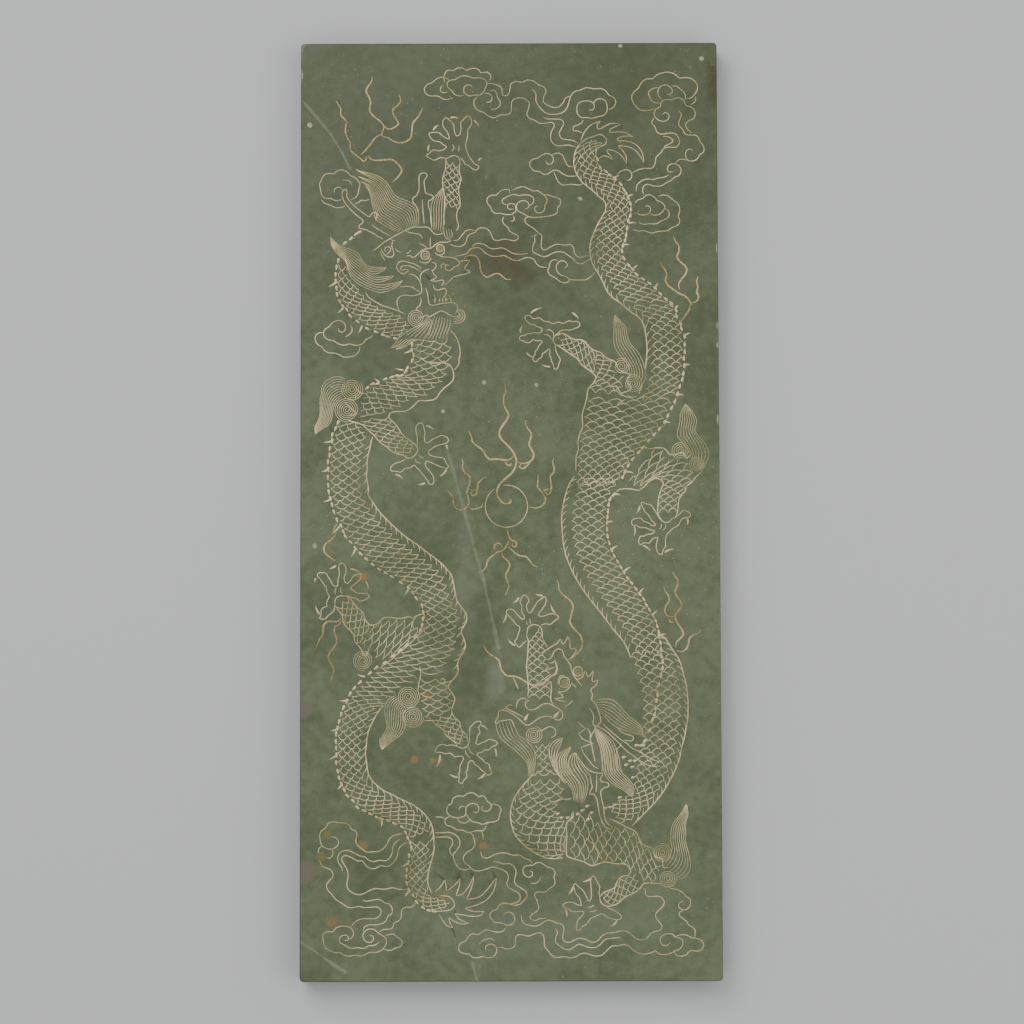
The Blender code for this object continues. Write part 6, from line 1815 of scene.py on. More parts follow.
# Right dragon: the broad part of its body and the roots of two legs
BODY_R2 = {
 "belly": [(33.8,63.3),(37,60.5),(40,58.3),(41.3,56),(41.7,54),(42,52),(42.2,50),(42.2,48.3),(42,45.3),
    (41.7,42.7)],
 "beads": [[(40.8,18.5),(42.7,20.7),(44.3,22.5),(46,24.3),(47.6,26.4),(48.5,28.3),(49.7,30.7),
    (50.7,32.7),(51.5,35),(52.2,37.3),(53,39.5),(53.3,41.3),(53.6,43.7),(53.5,46),(53.8,48),(53.8,50.3),
    (53.7,52.8),(52.8,55.2),(52.5,56.8),(51.3,59),(51.2,60.8),(49.7,62.3)],
           [(34.6,9.5),(35.3,11),(36.3,13),(37.7,15),(39.5,17)]],
 "spurs": [(51,61.2,52,62.4),(53.6,52.8,55.5,53.7),(53.5,43.7,55.4,44),(51.3,34.7,53.4,34.5),
    (47.5,26.2,49.2,26),(40.5,18.5,42.7,18),(35.3,11,38,10.5)],
 "arm_upper": [(14.7,53),(16.3,53.7),(18,52.8),(19.7,51.8),(22.3,51.5),(23.7,50.3),(25.3,48.7),(28,47.7),
    (29.3,46.3),(31.3,45.3),(32.2,45)],
 "arm_lower": [(14,50.3),(16.7,48.7),(19,47),(20.7,46),(22,44),(24,42.7),(26,41),(26.5,40),(25.7,38.3),
    (24,36.3),(23.7,34),(23,31.3),(22.2,28.7),(22.3,24.7),(21.3,22.3),(20.8,20),(21,18),(20.3,15.7),
    (20.2,11.3)],
 "folds": [[(30,45.7),(32,45.2),(32.7,44.3),(33.3,42.7),(34.7,41.7),(36.3,41.2),(37.3,41)],
           [(37.3,41),(36.3,40),(36,39),(36.7,37.7),(37.3,36.7),(36.3,35.8),(34.7,35.3),(34.3,34.8),
              (35.7,34),(37.3,33.8),(39,34.3)],
           [(30.7,37),(32.7,37.3),(33.7,35.7),(34.3,34.8)],
           [(33,31.7),(34.2,32.6),(35.7,33.3)],
           [(41.3,39),(40.2,36.6),(39.6,35)]],
 "rosettes": [(34.4,43.5,2.5,-70,0),(37.9,38.1,2.8,-250,20),(52.3,17.4,2.8,-100,-20),
    (57.3,13.2,2.4,-250,0)],
 "locks": [
   ([(32.4,59.3),(32.1,57),(32.1,54),(32,51),(32.7,48.5),(34.3,46.3),(36,44.3),(36.8,42.6),(36.9,41)],
    [(32.6,59.3),(34.3,57.2),(35.7,55.5),(36.1,53),(37,50.5),(39.3,48),(40.7,45.3),(41.6,42.5),
       (41.8,40.8),(41.3,39),(40.2,37.4)], 9),
   ([(53.8,31.8),(52.3,28.7),(52.2,26.3),(51.7,24.3),(51.3,22.3),(52.5,20.3),(54.2,18.2),(55.3,16.4),
      (55.6,15)],
    [(54,31.8),(56.3,29),(57.3,26.3),(56.7,23.7),(58,21.7),(60,19.3),(61,16),(60,13.4),(58.6,10.8)], 10)],
 "leg_upper": [(42.7,18),(44.7,18.3),(47,18.2),(48,17.5),(49,16.3),(50.7,16.2),(52,16.7),(53,16.8),
    (53.7,15.7),(54,15),(55.3,16)],
}
ROWS_R2_NECK = [((51.4,34.4),(36.4,31.4)),((52.2,36.4),(38.6,34)),((52.7,38.6),(40.6,37.4)),((53.3,41.3),
   (41.5,41)),((53.5,43.6),(41.8,43)),((53.6,46),(42,45.4)),((53.8,48.2),(42.2,48)),((53.8,50.4),
   (42.2,50.2)),((53.6,52.7),(42,52.4)),((53,55),(41.6,54.8)),((52.4,57),(41,56.8)),((51.4,59.4),
   (39.6,58.6)),((50.8,61),(37.4,60.2)),((49.7,62.6),(34.5,62.6))]
ROWS_R2_CHEST = [((32.4,6),(19,6)),((34,9),(20.4,8.8)),((35.3,11),(20.2,11)),((36.4,13),(20.2,13.3)),
   ((38,15.3),(20.4,15.7)),((39.8,17.3),(21,18)),((41.4,19.2),(20.8,20)),((43,21),(21.2,22)),
   ((44.6,22.8),(22,24)),((46.2,24.6),(22.3,26.4)),((47.7,26.8),(22.3,28.7)),((48.8,28.9),(22.8,30.8)),
   ((49.9,31.2),(23.4,33)),((50.9,33.4),(23.8,35.4))]
ROWS_R2_ARM = [((34.6,33.6),(24,35)),((34.4,36),(24.4,37)),((35.4,39),(25.8,38.4)),((34.6,41.6),
   (26.5,40)),((33,43.4),(25.6,41.4)),((31.4,45.2),(24,42.7)),((29.4,46.4),(22.6,43.7)),((27.6,47.9),
   (21.4,45)),((25.4,48.7),(20.4,46.2)),((24,50),(18.7,47.2)),((22.5,51.4),(17,48.6)),((20.4,51.7),
   (15.6,49.4)),((18.4,52.5),(14.4,50.2)),((16.8,53.5),(13.8,51.4))]

# Right dragon: middle of the body and one foot
BODY_R3 = {
 "belly": [(36.7,-46),(35.7,-43.3),(34,-40.3),(31.7,-37.7),(29.7,-35),(27.7,-32.3),(25.3,-29.3),
    (23.3,-26.7),(21.3,-23.7),(19.5,-20.7),(18,-17.3),(17,-14.7),(16.3,-11.3),(16,-8.7),(15.8,-5),
    (15.8,-2),(16.3,1),(17,4),(18,7),(19.8,9.7)],
 "beads": [[(46,-45.3),(46,-43.3),(45.8,-41.3),(45.3,-39.3),(45.3,-38),(44.8,-36.2),(44.3,-34.5),
    (43.5,-33),(42.5,-31.3),(41.5,-29.7),(40.7,-28),(39.5,-26.5),(38.3,-24.8),(37,-23),(35.8,-21.5),
    (34.7,-19.8),(33.8,-18.2),(32.8,-16.5),(31.8,-14.8),(31,-13),(30.3,-10.8),(29.8,-8.7),(29.7,-6.5),
    (29.7,-4.5),(29.8,-2.8),(30,-1),(30.2,1),(30.7,2.7),(31.8,4)]],
 "spurs": [(32,4.1,33.9,3.8),(29.8,-4.5,31.6,-4.3),(31,-13,32.9,-11.7),(34.7,-19.8,36.8,-18.2),
    (39.4,-26.5,40.8,-24.7),(43.5,-33,44.9,-31.6),(45.4,-39.3,47.5,-38.8)],
 "leg_lower": [(32.5,4.8),(33.7,5.6),(37,5.7),(39.3,5.3),(41,6.3),(42.7,8),(44.7,8.9),(46.3,8.4),
    (47,7.3),(46.3,5.7),(45.7,3.7),(45.3,1.3),(45.2,-0.7),(45.3,-2.3),(46.3,-3.7)],
 "leg_upper": [(58.6,10.8),(56.7,9),(55.7,7.7),(54,6.3),(53.7,5),(52.7,4),(51.7,2.3),(51.5,0.3),
    (51.3,-1.3),(50.7,-3)],
 "foot": {
  "outline": [(45.3,-2.7),(44.7,-1.7),(43.7,0),(43,0.8),(41.3,1.2),(40.5,1.7),(40.2,1.2),(40.8,-0.3),
     (41.3,-1.3),(42.3,-2.3),(43.3,-4),(44.5,-5.3),(43.7,-5.7),(42.3,-4.7),(41,-4.3),(40,-3.3),
     (38.7,-3.3),(37.3,-4),(37.2,-4.7),(37.5,-5.5),(38.7,-5.5),(39.7,-6.2),(41.3,-6.2),(43.3,-7),
     (44.2,-7.2),(43.7,-8),(42,-8.3),(41,-8.8),(40,-8.8),(39.5,-9.5),(39.3,-10.7),(40,-11.5),(41,-10.8),
     (42.5,-11),(43.3,-10),(44.3,-9.3),(45.2,-9.3),(45,-10.2),(44.7,-11.3),(44.8,-13),(45.5,-14.3),
     (46.5,-14.3),(46.8,-13),(47.5,-12),(47.5,-10),(48,-8.2),(49,-7.3),(50,-6.3),(51.7,-5.3),(52.3,-4),
     (53.3,-3.2),(54.7,-3.2),(55.2,-2.5),(55,-1.7),(54,-1.2),(53,-1),(52,-2),(51,-2.8),(49.7,-3.5)],
  "wrist": [(45.2,-2.7),(46.3,-4),(47.7,-4.7),(49,-4.2),(49.7,-3.3)],
  "creases": [[(46.3,-5),(46.3,-6),(45.7,-6.7)],[(47.7,-5.3),(47.5,-6.3),(46.8,-7)]],
  "talons": [(39.8,0.6,38.6,-1.9),(38,-5.7,38,-8.7),(40.5,-11.6,42.9,-13.4),(47.2,-13.8,50.1,-12.8),
     (54.3,-3.4,54.2,-5.5)]},
 }
ROWS_R3 = [((46,-45.5),(36.7,-46)),((46,-43.3),(35.8,-43.5)),((45.8,-41.3),(34.6,-41.4)),((45.4,-39),
   (33,-39.3)),((45,-36.7),(31.4,-37.3)),((44.4,-34.6),(30,-35.3)),((43.2,-32.5),(28.2,-33)),((42,-30.4),
   (26.5,-30.8)),((40.9,-28.4),(24.8,-28.7)),((39.6,-26.4),(23.2,-26.5)),((38,-24.4),(21.8,-24.4)),
   ((36.6,-22.4),(20.5,-22.3)),((35.2,-20.6),(19.4,-20.2)),((34.2,-18.7),(18.5,-18.3)),((33.2,-17),
   (17.8,-16.6)),((32.2,-15.3),(17.2,-15)),((31.2,-13.3),(16.7,-13)),((30.5,-11.2),(16.3,-11)),
   ((29.9,-9),(16,-8.8)),((29.7,-6.6),(15.8,-6.4)),((29.7,-4.5),(15.8,-4.3)),((29.8,-2.6),(15.8,-2.3)),
   ((30,-0.8),(16.1,-0.3)),((30.2,1.2),(16.4,1.6)),((30.6,2.8),(16.8,3.4)),((31.4,4.2),(17.3,5.2)),
   ((32.6,6),(18,7)),((34,8.5),(19.6,9.2))]
ROWS_R3_LEG = [((51,-2),(45.6,-2.4)),((51.5,0),(45.2,-0.3)),((51.7,2),(45.3,1.6)),((52.7,4),(45.8,3.6)),
   ((54.2,6.3),(46.4,5.5)),((56,8.5),(47,7)),((56.3,10.8),(46,8.6)),((55,13.3),(44,8.8)),((53.4,15.4),
   (42,8)),((50.5,16.2),(40,6.4)),((47.6,17.4),(38,6.2)),((44.5,18),(36.4,8))]

# Right dragon: its head and the raised leg beside it
HEAD_R = {
 "foot": {
  "outline": [(4.8,-40.7),(3.7,-41.7),(2.7,-42.7),(1.7,-41.7),(1.3,-40.7),(2,-40),(2.5,-38.3),
     (2.9,-37.3),(2.7,-36.3),(1.7,-35.7),(1,-34.7),(0,-33.7),(-0.8,-32.7),(-1.3,-31.8),(-0.8,-31.2),
     (0.7,-31.2),(1.7,-32.2),(2.7,-33.3),(3.7,-34.2),(4.3,-33.8),(4,-32.7),(3.5,-32),(3.5,-30),(3,-29),
     (3.5,-27.5),(4.3,-26.7),(5.3,-27.5),(5.7,-28.7),(5,-29.7),(5.3,-31.7),(6,-32.3),(6.7,-31.3),
     (7.7,-29.8),(8.3,-28.7),(9.7,-27.8),(10.3,-27.2),(11,-28),(10.8,-29.3),(10,-30.7),(9.3,-31.7),
     (8.5,-32.7),(9,-33.2),(10.3,-33.2),(12,-32.5),(13.8,-32.7),(14.7,-33.3),(14.5,-34),(13.3,-34.8),
     (12.3,-35.7),(10.7,-35.5),(9.3,-36)],
  "wrist": [(5,-39.3),(5.2,-37.3),(5.7,-36.3),(7,-35.8),(8.3,-36),(9.3,-36.7),(9.7,-38),(9.8,-40)],
  "creases": [[(6,-34),(6,-35),(6.3,-35.5)],[(4.8,-34.7),(5.2,-35.8)]],
  "talons": [(2.7,-27.5,0.8,-29.2),(10,-26.9,7.6,-26.4),(13.7,-32.3,12.3,-29.6),(-1.2,-32.6,-2.3,-35.2),
     (1.5,-42.2,-0.8,-40.1)]},
 "arm_left": [(5,-39.3),(5.5,-41),(5.3,-43.3),(5.2,-46),(4.8,-48.7),(5.2,-51.3),(5.3,-53.7),(5.5,-56),
    (5.2,-57.7)],
 "arm_right": [(9.8,-40),(10.7,-41.7),(11.2,-42.7)],
 "arm_low": [(12.3,-53),(12.5,-55.3),(12.3,-57.3),(12.3,-59),(12.9,-60.2)],
 "nose": [[(9.3,-44.5),(11,-43.5),(13,-42.2),(14.3,-41.5),(15.2,-40.2)],[(15.2,-40.2),(16,-41.7),
    (16.7,-41.2),(17.5,-39.5)],[(17.5,-39.5),(18.2,-41),(18.3,-43.2),(20,-43)],[(20,-43),(20,-44),
    (18.7,-45.7),(17.7,-46.5)]],
 "contours": [
  [(11.3,-46.7),(12.7,-45.5),(13.3,-44),(14.7,-43.2),(15.8,-43.7),(16.3,-45.3),(17.3,-46.7),(18.2,-48),
     (18.7,-50),(19.3,-51.3),(20.3,-52.8),(21.7,-54.5)],
  [(11.8,-47.5),(12.7,-47.5),(13.5,-46.8),(14,-48),(14.3,-49.3),(13.8,-51),(13.3,-51.5)],
  [(10,-50),(12,-49.3),(13.7,-48.7)],
  [(18.7,-49.8),(19.2,-51.3),(20.3,-52.5),(21.7,-52),(22.5,-50.7),(22.8,-49.8)],
  [(22.8,-49.8),(23.8,-51.7),(25.3,-49.8)],[(25.3,-49.8),(25,-53.2),(26.7,-52.7)],[(26.7,-52.7),
     (26.3,-54),(24.5,-55.7),(25,-57.3),(24.7,-58.7),(26,-60),(26.7,-62),(27.3,-64),(27.5,-65.3),
     (26.7,-66.3),(25.7,-67)],
  [(23.8,-61.3),(25,-62.7),(25.3,-64.3),(25,-65.7),(25.8,-67.3),(24.7,-69.3),(24.5,-70.3)],
  [(14.3,-54),(14.7,-52.3),(15.3,-51.5),(16.5,-51.3)],
  [(18.7,-53.7),(17.7,-55.3),(16,-56.3),(14.3,-56.3)],[(14.3,-56.3),(15.7,-57.3),(16,-58),(13.3,-58.3)],
     [(13.3,-58.3),(15,-59),(17,-59.3)],[(16.5,-60.7),(17.7,-60.2),(19,-58.8)],
  [(18.7,-53.7),(19.3,-54.2),(20,-55)],
  [(5,-58.7),(3.7,-58.2),(2.3,-59),(1.7,-60.7),(1.7,-61.3)],
  [(5.7,-58.8),(4.5,-59.7),(4.8,-61),(6,-61.8),(7.7,-61.5),(10,-60),(12,-60),(13.3,-60.7),(15,-61.7),
     (15.8,-62.7),(15.8,-64),(15,-64.8),(13.7,-64.8),(13,-64.2)],
  [(-3.7,-62.2),(-2.5,-61.8),(-0.7,-62.3),(1,-63.3),(2.3,-64.3),(3.7,-65.7),(5.2,-66.5),(6.3,-66),
     (8,-64.7),(10,-63.8),(12,-63.8),(13,-64.2)],
  [(-3.7,-62.2),(-3.8,-63.7),(-4.7,-65.5),(-4.5,-66),(-3.3,-65.2),(-1.7,-65),(0,-64.8),(0.7,-65.7),
     (1,-66.8)],
  [(-2,-61.5),(-0.3,-60.2),(0.5,-60.3)],
  [(20.3,-65.3),(21.3,-66.3),(22.7,-67.5)],[(22.7,-67.5),(21.3,-68.7),(20.7,-69)],[(20.7,-69),(22,-70.7),
     (24,-71.5),(25,-72)],[(25,-72),(23,-72.7),(21.5,-73.2)],[(21.5,-73.2),(22,-74.7),(23.7,-77),
     (25.3,-79),(26.7,-79.7)],
  [(23.3,-67.3),(24.3,-69),(24.2,-70.7),(24.5,-71.7),(24.8,-73.3),(25.3,-76),(25.7,-77.7)],
  [(27.7,-65.7),(29.3,-67.3),(31.3,-69),(33.3,-70.7),(35.3,-72),(37.3,-73.7),(39.7,-74.7),(42,-76.3),
     (44,-77.3),(45.3,-77.7)],
  [(26.3,-66.7),(28.7,-68),(31,-70),(33.3,-72.3),(35.3,-74.3),(38,-76.3),(40.3,-78),(43,-79),(45.3,-79)],
  [(32.7,-67.4),(33.8,-68.6),(35.3,-69.3),(37.3,-70),(37.3,-71),(36.3,-71.3),(34.6,-71)],
  [(31.6,-73.9),(33,-73.3),(33.7,-72)],
  [(8,-68.3),(9.7,-68),(11,-67.2),(12.3,-66.9),(13.3,-67.5),(13.8,-68.7),(13.3,-69.7),(12.3,-70.3)],
 ],
 "eyes": [(20.6,-50.1,1.45),(16.4,-53.4,1.6)],
 "teeth": [(4.2,-65,5.4,-62.9,1.3),(-1.5,-61.2,4,-64,0.9),(13.2,-64.1,14.9,-62.2,1.6)],
 "rosettes": [(7,-69.4,2.7,-230,40)],
 "locks": [
   ([(-4.5,-66),(-4,-68.3),(-3,-70.3),(-1.3,-72),(0,-73),(1.7,-74.3),(3.7,-76.3),(5.2,-78.2),(5.4,-80.4),
      (5.3,-82)],
    [(0.6,-65.2),(1.6,-67.8),(2.4,-69.6),(4.2,-70.6),(6,-72.5),(7.2,-74.3),(7.5,-76.5),(7.3,-79),
       (7,-81.5)], 8),
   ([(16,-70.2),(13.7,-71),(12.3,-72.3),(11.6,-74),(11.8,-76),(12.5,-78),(13.3,-80)],
    [(15.9,-70.4),(15.3,-72),(14.5,-73.7),(14,-75.5),(14,-77.5),(14.5,-79.5)], 5),
   ([(18.2,-73),(16.3,-74),(14.7,-75.3),(14,-77.3),(14.2,-80),(15,-82)],
    [(18.3,-73.2),(17.7,-74.5),(16.9,-76),(16.7,-78),(17.3,-80),(18.4,-82)], 6),
   ([(19.8,-74.8),(18.3,-76),(17.6,-78),(18.3,-80),(19.3,-82)],
    [(20,-75),(20.6,-77),(21.8,-79),(23.3,-81),(24.2,-82)], 6),
   ([(25.7,-59),(28.7,-58.5),(31,-58.8),(33,-60.3),(34.7,-62.3),(36.3,-64),(38.7,-65.7),(40,-67.3),
      (40.4,-69.2)],
    [(27.3,-62.5),(28.7,-63.7),(30.3,-65.7),(32.7,-67.3),(35.3,-68.3),(38,-69),(40.3,-69.6)], 9),
   ([(26,-67.3),(28.7,-69.3),(31,-71.3),(32.3,-74),(33,-76.7),(33.3,-79.3),(34,-81)],
    [(25.6,-68.6),(26.4,-71),(27.2,-73),(27.8,-75.3),(27.9,-78),(27.8,-80),(28,-82)], 9)],
 "beads": [[(40.8,-71.3),(42.3,-68),(43.3,-64.7),(44,-63),(44.2,-61.3),(44.5,-59),(44.8,-57),(45.3,-54),
    (46,-51.5),(46.4,-49),(46.4,-47),(46,-45.3)],[(38.7,-72.6),(40,-72.7)]],
}
ROWS_R4_ARM = [((12.4,-59.2),(5,-58.8)),((12.5,-57),(5.3,-56.8)),((12.4,-54.8),(5.4,-54.9)),
   ((12.2,-52.6),(5.2,-52.6)),((12.4,-50.4),(5,-50.4)),((11.6,-48),(4.9,-48.2)),((11,-46),(5.2,-46.2)),
   ((10.8,-44.2),(5.3,-44.2)),((10.6,-42.2),(5.4,-42.2)),((10,-40.2),(5.2,-40.4)),((9.7,-38.4),
   (5.1,-38.4)),((8.8,-36.4),(5.6,-36.4))]

# Right dragon: the coil behind its head and the lowest leg
BODY_R5 = {
 "belly": [(36.8,-97.1),(38.3,-95.6),(40.6,-93.3),(43.6,-90.3),(46.3,-86.9),(48.6,-83),(50.5,-79.2),
    (51.6,-75.8),(52.2,-72.8),(53.1,-69.7),(53.5,-67),(54,-64.5),(54.1,-62),(54.1,-59),(53.8,-56),
    (53.5,-53.5),(52.7,-51),(52.2,-48.5),(51.2,-46),(50,-44.3),(48.5,-42),(47.2,-40),(45.6,-39.2)],
 "coil": [(7,-81),(5.3,-83),(3.2,-85.3),(1.3,-88),(0.2,-90.7),(-0.2,-93.7),(0.2,-96.8),(1.3,-99.8),
    (3.2,-102.1),(5.5,-104),(7.8,-105.5),(10.5,-106.7),(13.1,-107),(15.8,-106.7)],
 "thigh_low": [(18.6,-93),(18.4,-94.6),(17.2,-95.8),(16.8,-96.8),(17,-100.2),(16.8,-103.6),(17,-106),
    (18.9,-107),(21.9,-107.8),(23.4,-108.6),(24.6,-109.1),(26.5,-108.6),(28.4,-108),(32.2,-108.6),
    (34.5,-108.6),(35.6,-109.3),(36.4,-110.9),(35.6,-112)],
 "shin_up": [(35.6,-112),(33.7,-112.4),(32.2,-113.9),(31.4,-115.8),(29.5,-116.6),(28,-117.3),(27,-118.5)],
 "thigh_top": [(29.9,-94.9),(32.6,-96),(35.2,-97.5),(37.1,-98.3),(38.3,-99.4),(39,-101),(39.8,-102.5),
    (41.3,-103.2),(43.2,-104)],
 "hock": [(43.2,-104),(43.4,-105.5),(44.4,-106.7),(45.9,-106.9),(46.1,-107.8),(46.3,-109.7),(47.8,-109.7)],
 "shin_low": [(45.5,-114.5),(43.6,-114.5),(41.7,-114.3),(40.2,-114.7),(39,-116.2),(37.5,-117.3),
    (35.6,-118.1),(34.1,-118.9),(32.6,-120.4),(30.3,-121.3),(28.8,-121.3),(27.4,-120.4),(26.9,-118.9)],
 "rosettes": [(45.9,-105.3,2.9,-330,-30),(47.6,-113.1,2.7,-300,30)],
 "locks": [([(53.3,-90.6),(51.2,-94.1),(49.3,-96.4),(48.6,-99),(48.6,-101.7),(49,-104),(48.2,-106.3),
    (46.5,-109)],
            [(53.6,-90.8),(53.9,-93.7),(53.1,-96.4),(53.1,-99),(53.1,-102.1),(53.9,-105.1),(54.5,-108.2),
               (54.3,-110.5),(52.4,-112.8),(50.5,-113.5)], 10),
           ([(16,-70.2),(13.7,-71),(12.3,-72.3),(11.7,-74),(12,-76.4),(12.8,-79),(14.4,-81.6),(16.4,-84.2)],
            [(15.9,-70.4),(15.2,-72.4),(14.2,-74.4),(13.6,-77),(14,-80),(15.6,-82.4),(17,-84)], 5),
           ([(18.2,-73),(16.3,-74),(14.7,-75.3),(14,-77.3),(14.4,-80),(15.9,-82.3),(17.6,-84.3),
              (18.8,-86.5),(19.2,-89.5)],
            [(18.4,-73.2),(17.5,-75),(16.9,-77),(17.5,-79.6),(19.2,-82),(20.6,-84),(21,-86.5),
               (20.6,-90)], 6),
           ([(19.8,-74.8),(18.2,-76),(17.4,-78),(18,-80),(19.7,-82.2),(21.2,-84.4),(21.5,-87),(21.2,-90)],
            [(20,-75),(20,-77),(21,-79.6),(22.6,-81.5),(23.5,-84),(23.2,-86.8),(22,-90)], 5),
           ([(25.6,-68.6),(27.2,-73),(27.9,-78),(28.3,-80.5),(29.6,-83),(32,-85),(34.6,-86.5),(36.6,-88.2)],
            [(26,-67.3),(28.7,-69.3),(31,-71.3),(32.2,-74),(32.4,-77),(32.8,-79.5),(34.5,-81.6),
               (36.5,-83.6),(37.5,-85.6),(37.2,-88)], 10)],
 "horn": [[(20.2,-75.8),(22.7,-79.2),(24.2,-80.4),(26.5,-81.1),(28,-81.1)],
          [(17.7,-76.2),(19.6,-75),(20.4,-76.2)],
          [(24.2,-81.9),(24.4,-83.8),(24.8,-85.3),(24.2,-86.5),(24,-87.6)],
          [(24,-87.6),(25.1,-87.4),(26.1,-88.8),(26.5,-90.7),(26.9,-93.3),(27.6,-95.6),(28.8,-97.5),
             (30.3,-98.1),(30.9,-97.5)],
          [(30.9,-97.5),(29.1,-96),(28.4,-94.1),(28.2,-91.4),(27.6,-88.8),(27.4,-86.5),(28.4,-85.5),
             (29.9,-85),(29.5,-84),(28,-83.8),(27.2,-83),(28,-81.5)],
          [(26.1,-81.5),(26.1,-85.3),(25.9,-86.9)],
          [(12.5,-90.6),(14,-89.6),(15.6,-88.9),(17.4,-89),(18.6,-88.6)],
          [(18.8,-92.5),(19,-94),(18,-95.6)]],
 "beads": [(41.1,-71.2),(40.4,-72.6),(38.3,-72.6),(37.9,-77.3),(36.4,-77.3),(35.2,-78.5),(37.1,-79.2),
    (37.3,-82.3),(34.5,-76.2),(33.2,-88.4),(31.6,-90.7),(30.3,-91.3),(28.9,-91.6),(23.3,-91),
    (21.8,-92.3),(24.6,-93),(23.6,-95),(14.3,-93.3),(15.4,-94.5),(17.3,-94.5),(20.4,-93.4)],
 "flare": [[(22.4,-100.2),(24,-101.8),(25.6,-103),(26.6,-105),(27.8,-106.8),(29,-107.4)],[(27,-101.6),
    (28,-104),(29.2,-106.6)],[(24.6,-105),(26.4,-105.6)]],
 "foot": {
  "outline": [(26.9,-118.9),(26.7,-117.3),(26.9,-115.4),(26.1,-113.9),(25.5,-112.6),(24.8,-112.2),
     (24.2,-113.1),(24.2,-115),(24.4,-117.3),(24.2,-119.2),(23.6,-119.8),(23,-118.9),(22.3,-117.3),
     (21.5,-116.2),(20.4,-115.4),(19.6,-114.5),(19,-114.9),(19.2,-116.2),(19.8,-117.7),(20.8,-118.9),
     (21.1,-120),(21.3,-121.1),(20,-120.8),(18.9,-120.2),(17,-120.2),(15.8,-120.8),(16,-121.7),
     (17.3,-122.1),(18.5,-122.9),(20.4,-122.9),(21.9,-123),(22.1,-123.4),(21.1,-124.6),(20.2,-125.7),
     (19.8,-127.4),(20,-128.6),(20.9,-128.4),(21.8,-127.3),(22.7,-126.9),(24.2,-125),(25.7,-124.4),
     (27.6,-123.6),(29.1,-124.6),(31,-125.3),(33,-125.3),(33.5,-124.6),(32.6,-123.4),(31.4,-122.7),
     (29.5,-121.9),(28.8,-121.3)],
  "creases": [[(23.2,-121.7),(24.4,-121.5),(25.3,-121)],[(23.8,-123),(25,-122.9),(25.9,-122.5)]],
  "talons": [(24.4,-112.9,21.8,-113.9),(19,-115.2,17.3,-117.8),(16.5,-122.2,16.9,-124.6),
     (32.2,-125.6,30.1,-127.5)]},
}
ROWS_R5_COIL = [((12,-71),(7.5,-72)),((12,-74),(7.3,-74.5)),((12.4,-77),(7.3,-77)),((13.4,-79.6),
   (7,-80)),((14.6,-82),(5.8,-82.4)),((15.8,-84),(4,-84.4)),((16.5,-86.5),(2.2,-86.6)),((16,-88.6),
   (0.9,-89)),((14.8,-90.2),(0.1,-91.6)),((14.2,-91.8),(-0.1,-94.2)),((14.2,-93.2),(0.2,-97)),
   ((15,-94.4),(1.4,-99.8)),((16.4,-95.2),(3.4,-102.2)),((16.8,-96.6),(6,-104.4)),((16.8,-98.4),
   (8.6,-105.8)),((16.7,-100.4),(11.2,-106.8)),((16.6,-102.6),(13.8,-107)),((16.6,-104.6),(16,-106.7))]
ROWS_R5_BACK = [((28.6,-91),(33,-97)),((30,-90.5),(36,-97)),((31.6,-90),(38.6,-95.3)),((33,-89),
   (40.6,-93.3)),((34.6,-88.2),(42.6,-91.3)),((36,-86.8),(44.4,-89.2)),((37,-85),(46.2,-86.9)),
   ((37.6,-83),(47.7,-84.6)),((37.8,-80.6),(49,-82)),((38,-78.4),(50.2,-79.6)),((38.4,-76),(51.2,-77)),
   ((39,-74),(52,-74)),((39.6,-72),(52.5,-71.5)),((40,-69.8),(53.1,-69)),((40.1,-67.4),(53.6,-66.6)),
   ((40,-65),(54,-64.2)),((40,-62.6),(54.1,-61.8)),((40.2,-60.2),(54.1,-59.4)),((40,-57.8),(53.9,-57)),
   ((39.6,-55.4),(53.7,-54.6)),((39,-53),(53.2,-52.2)),((38.4,-50.8),(52.6,-50)),((37.8,-48.6),
   (52,-47.8)),((37,-46.6),(51,-45.8)),((36,-44.4),(49.6,-43.6))]
ROWS_R5_THIGH = [((17.4,-96),(17.2,-106)),((19.5,-94),(19.5,-107.2)),((22,-93),(22,-107.8)),
   ((24.5,-93.5),(24.5,-109)),((26.6,-96),(27,-108.6)),((29,-98),(29.5,-108.2)),((31.5,-97),
   (32.3,-108.6)),((34,-97.3),(34.8,-109)),((36.2,-98.2),(36.2,-110.6)),((38,-99.4),(37.8,-112)),
   ((39.4,-101.8),(39.6,-113.6)),((41.6,-103.4),(41.6,-114.2)),((43.4,-105.6),(43.4,-114.4)),
   ((45.6,-108),(45.6,-114))]
ROWS_R5_SHIN = [((38.6,-111.6),(39.6,-115.4)),((37,-111.6),(38.2,-116.8)),((35.4,-112),(36.6,-117.7)),
   ((33.4,-112.8),(35,-118.4)),((32,-114.4),(33.4,-119.6)),((31,-116),(31.6,-120.8)),((29.4,-116.8),
   (29.6,-121.2)),((28,-117.5),(27.6,-120.3))]

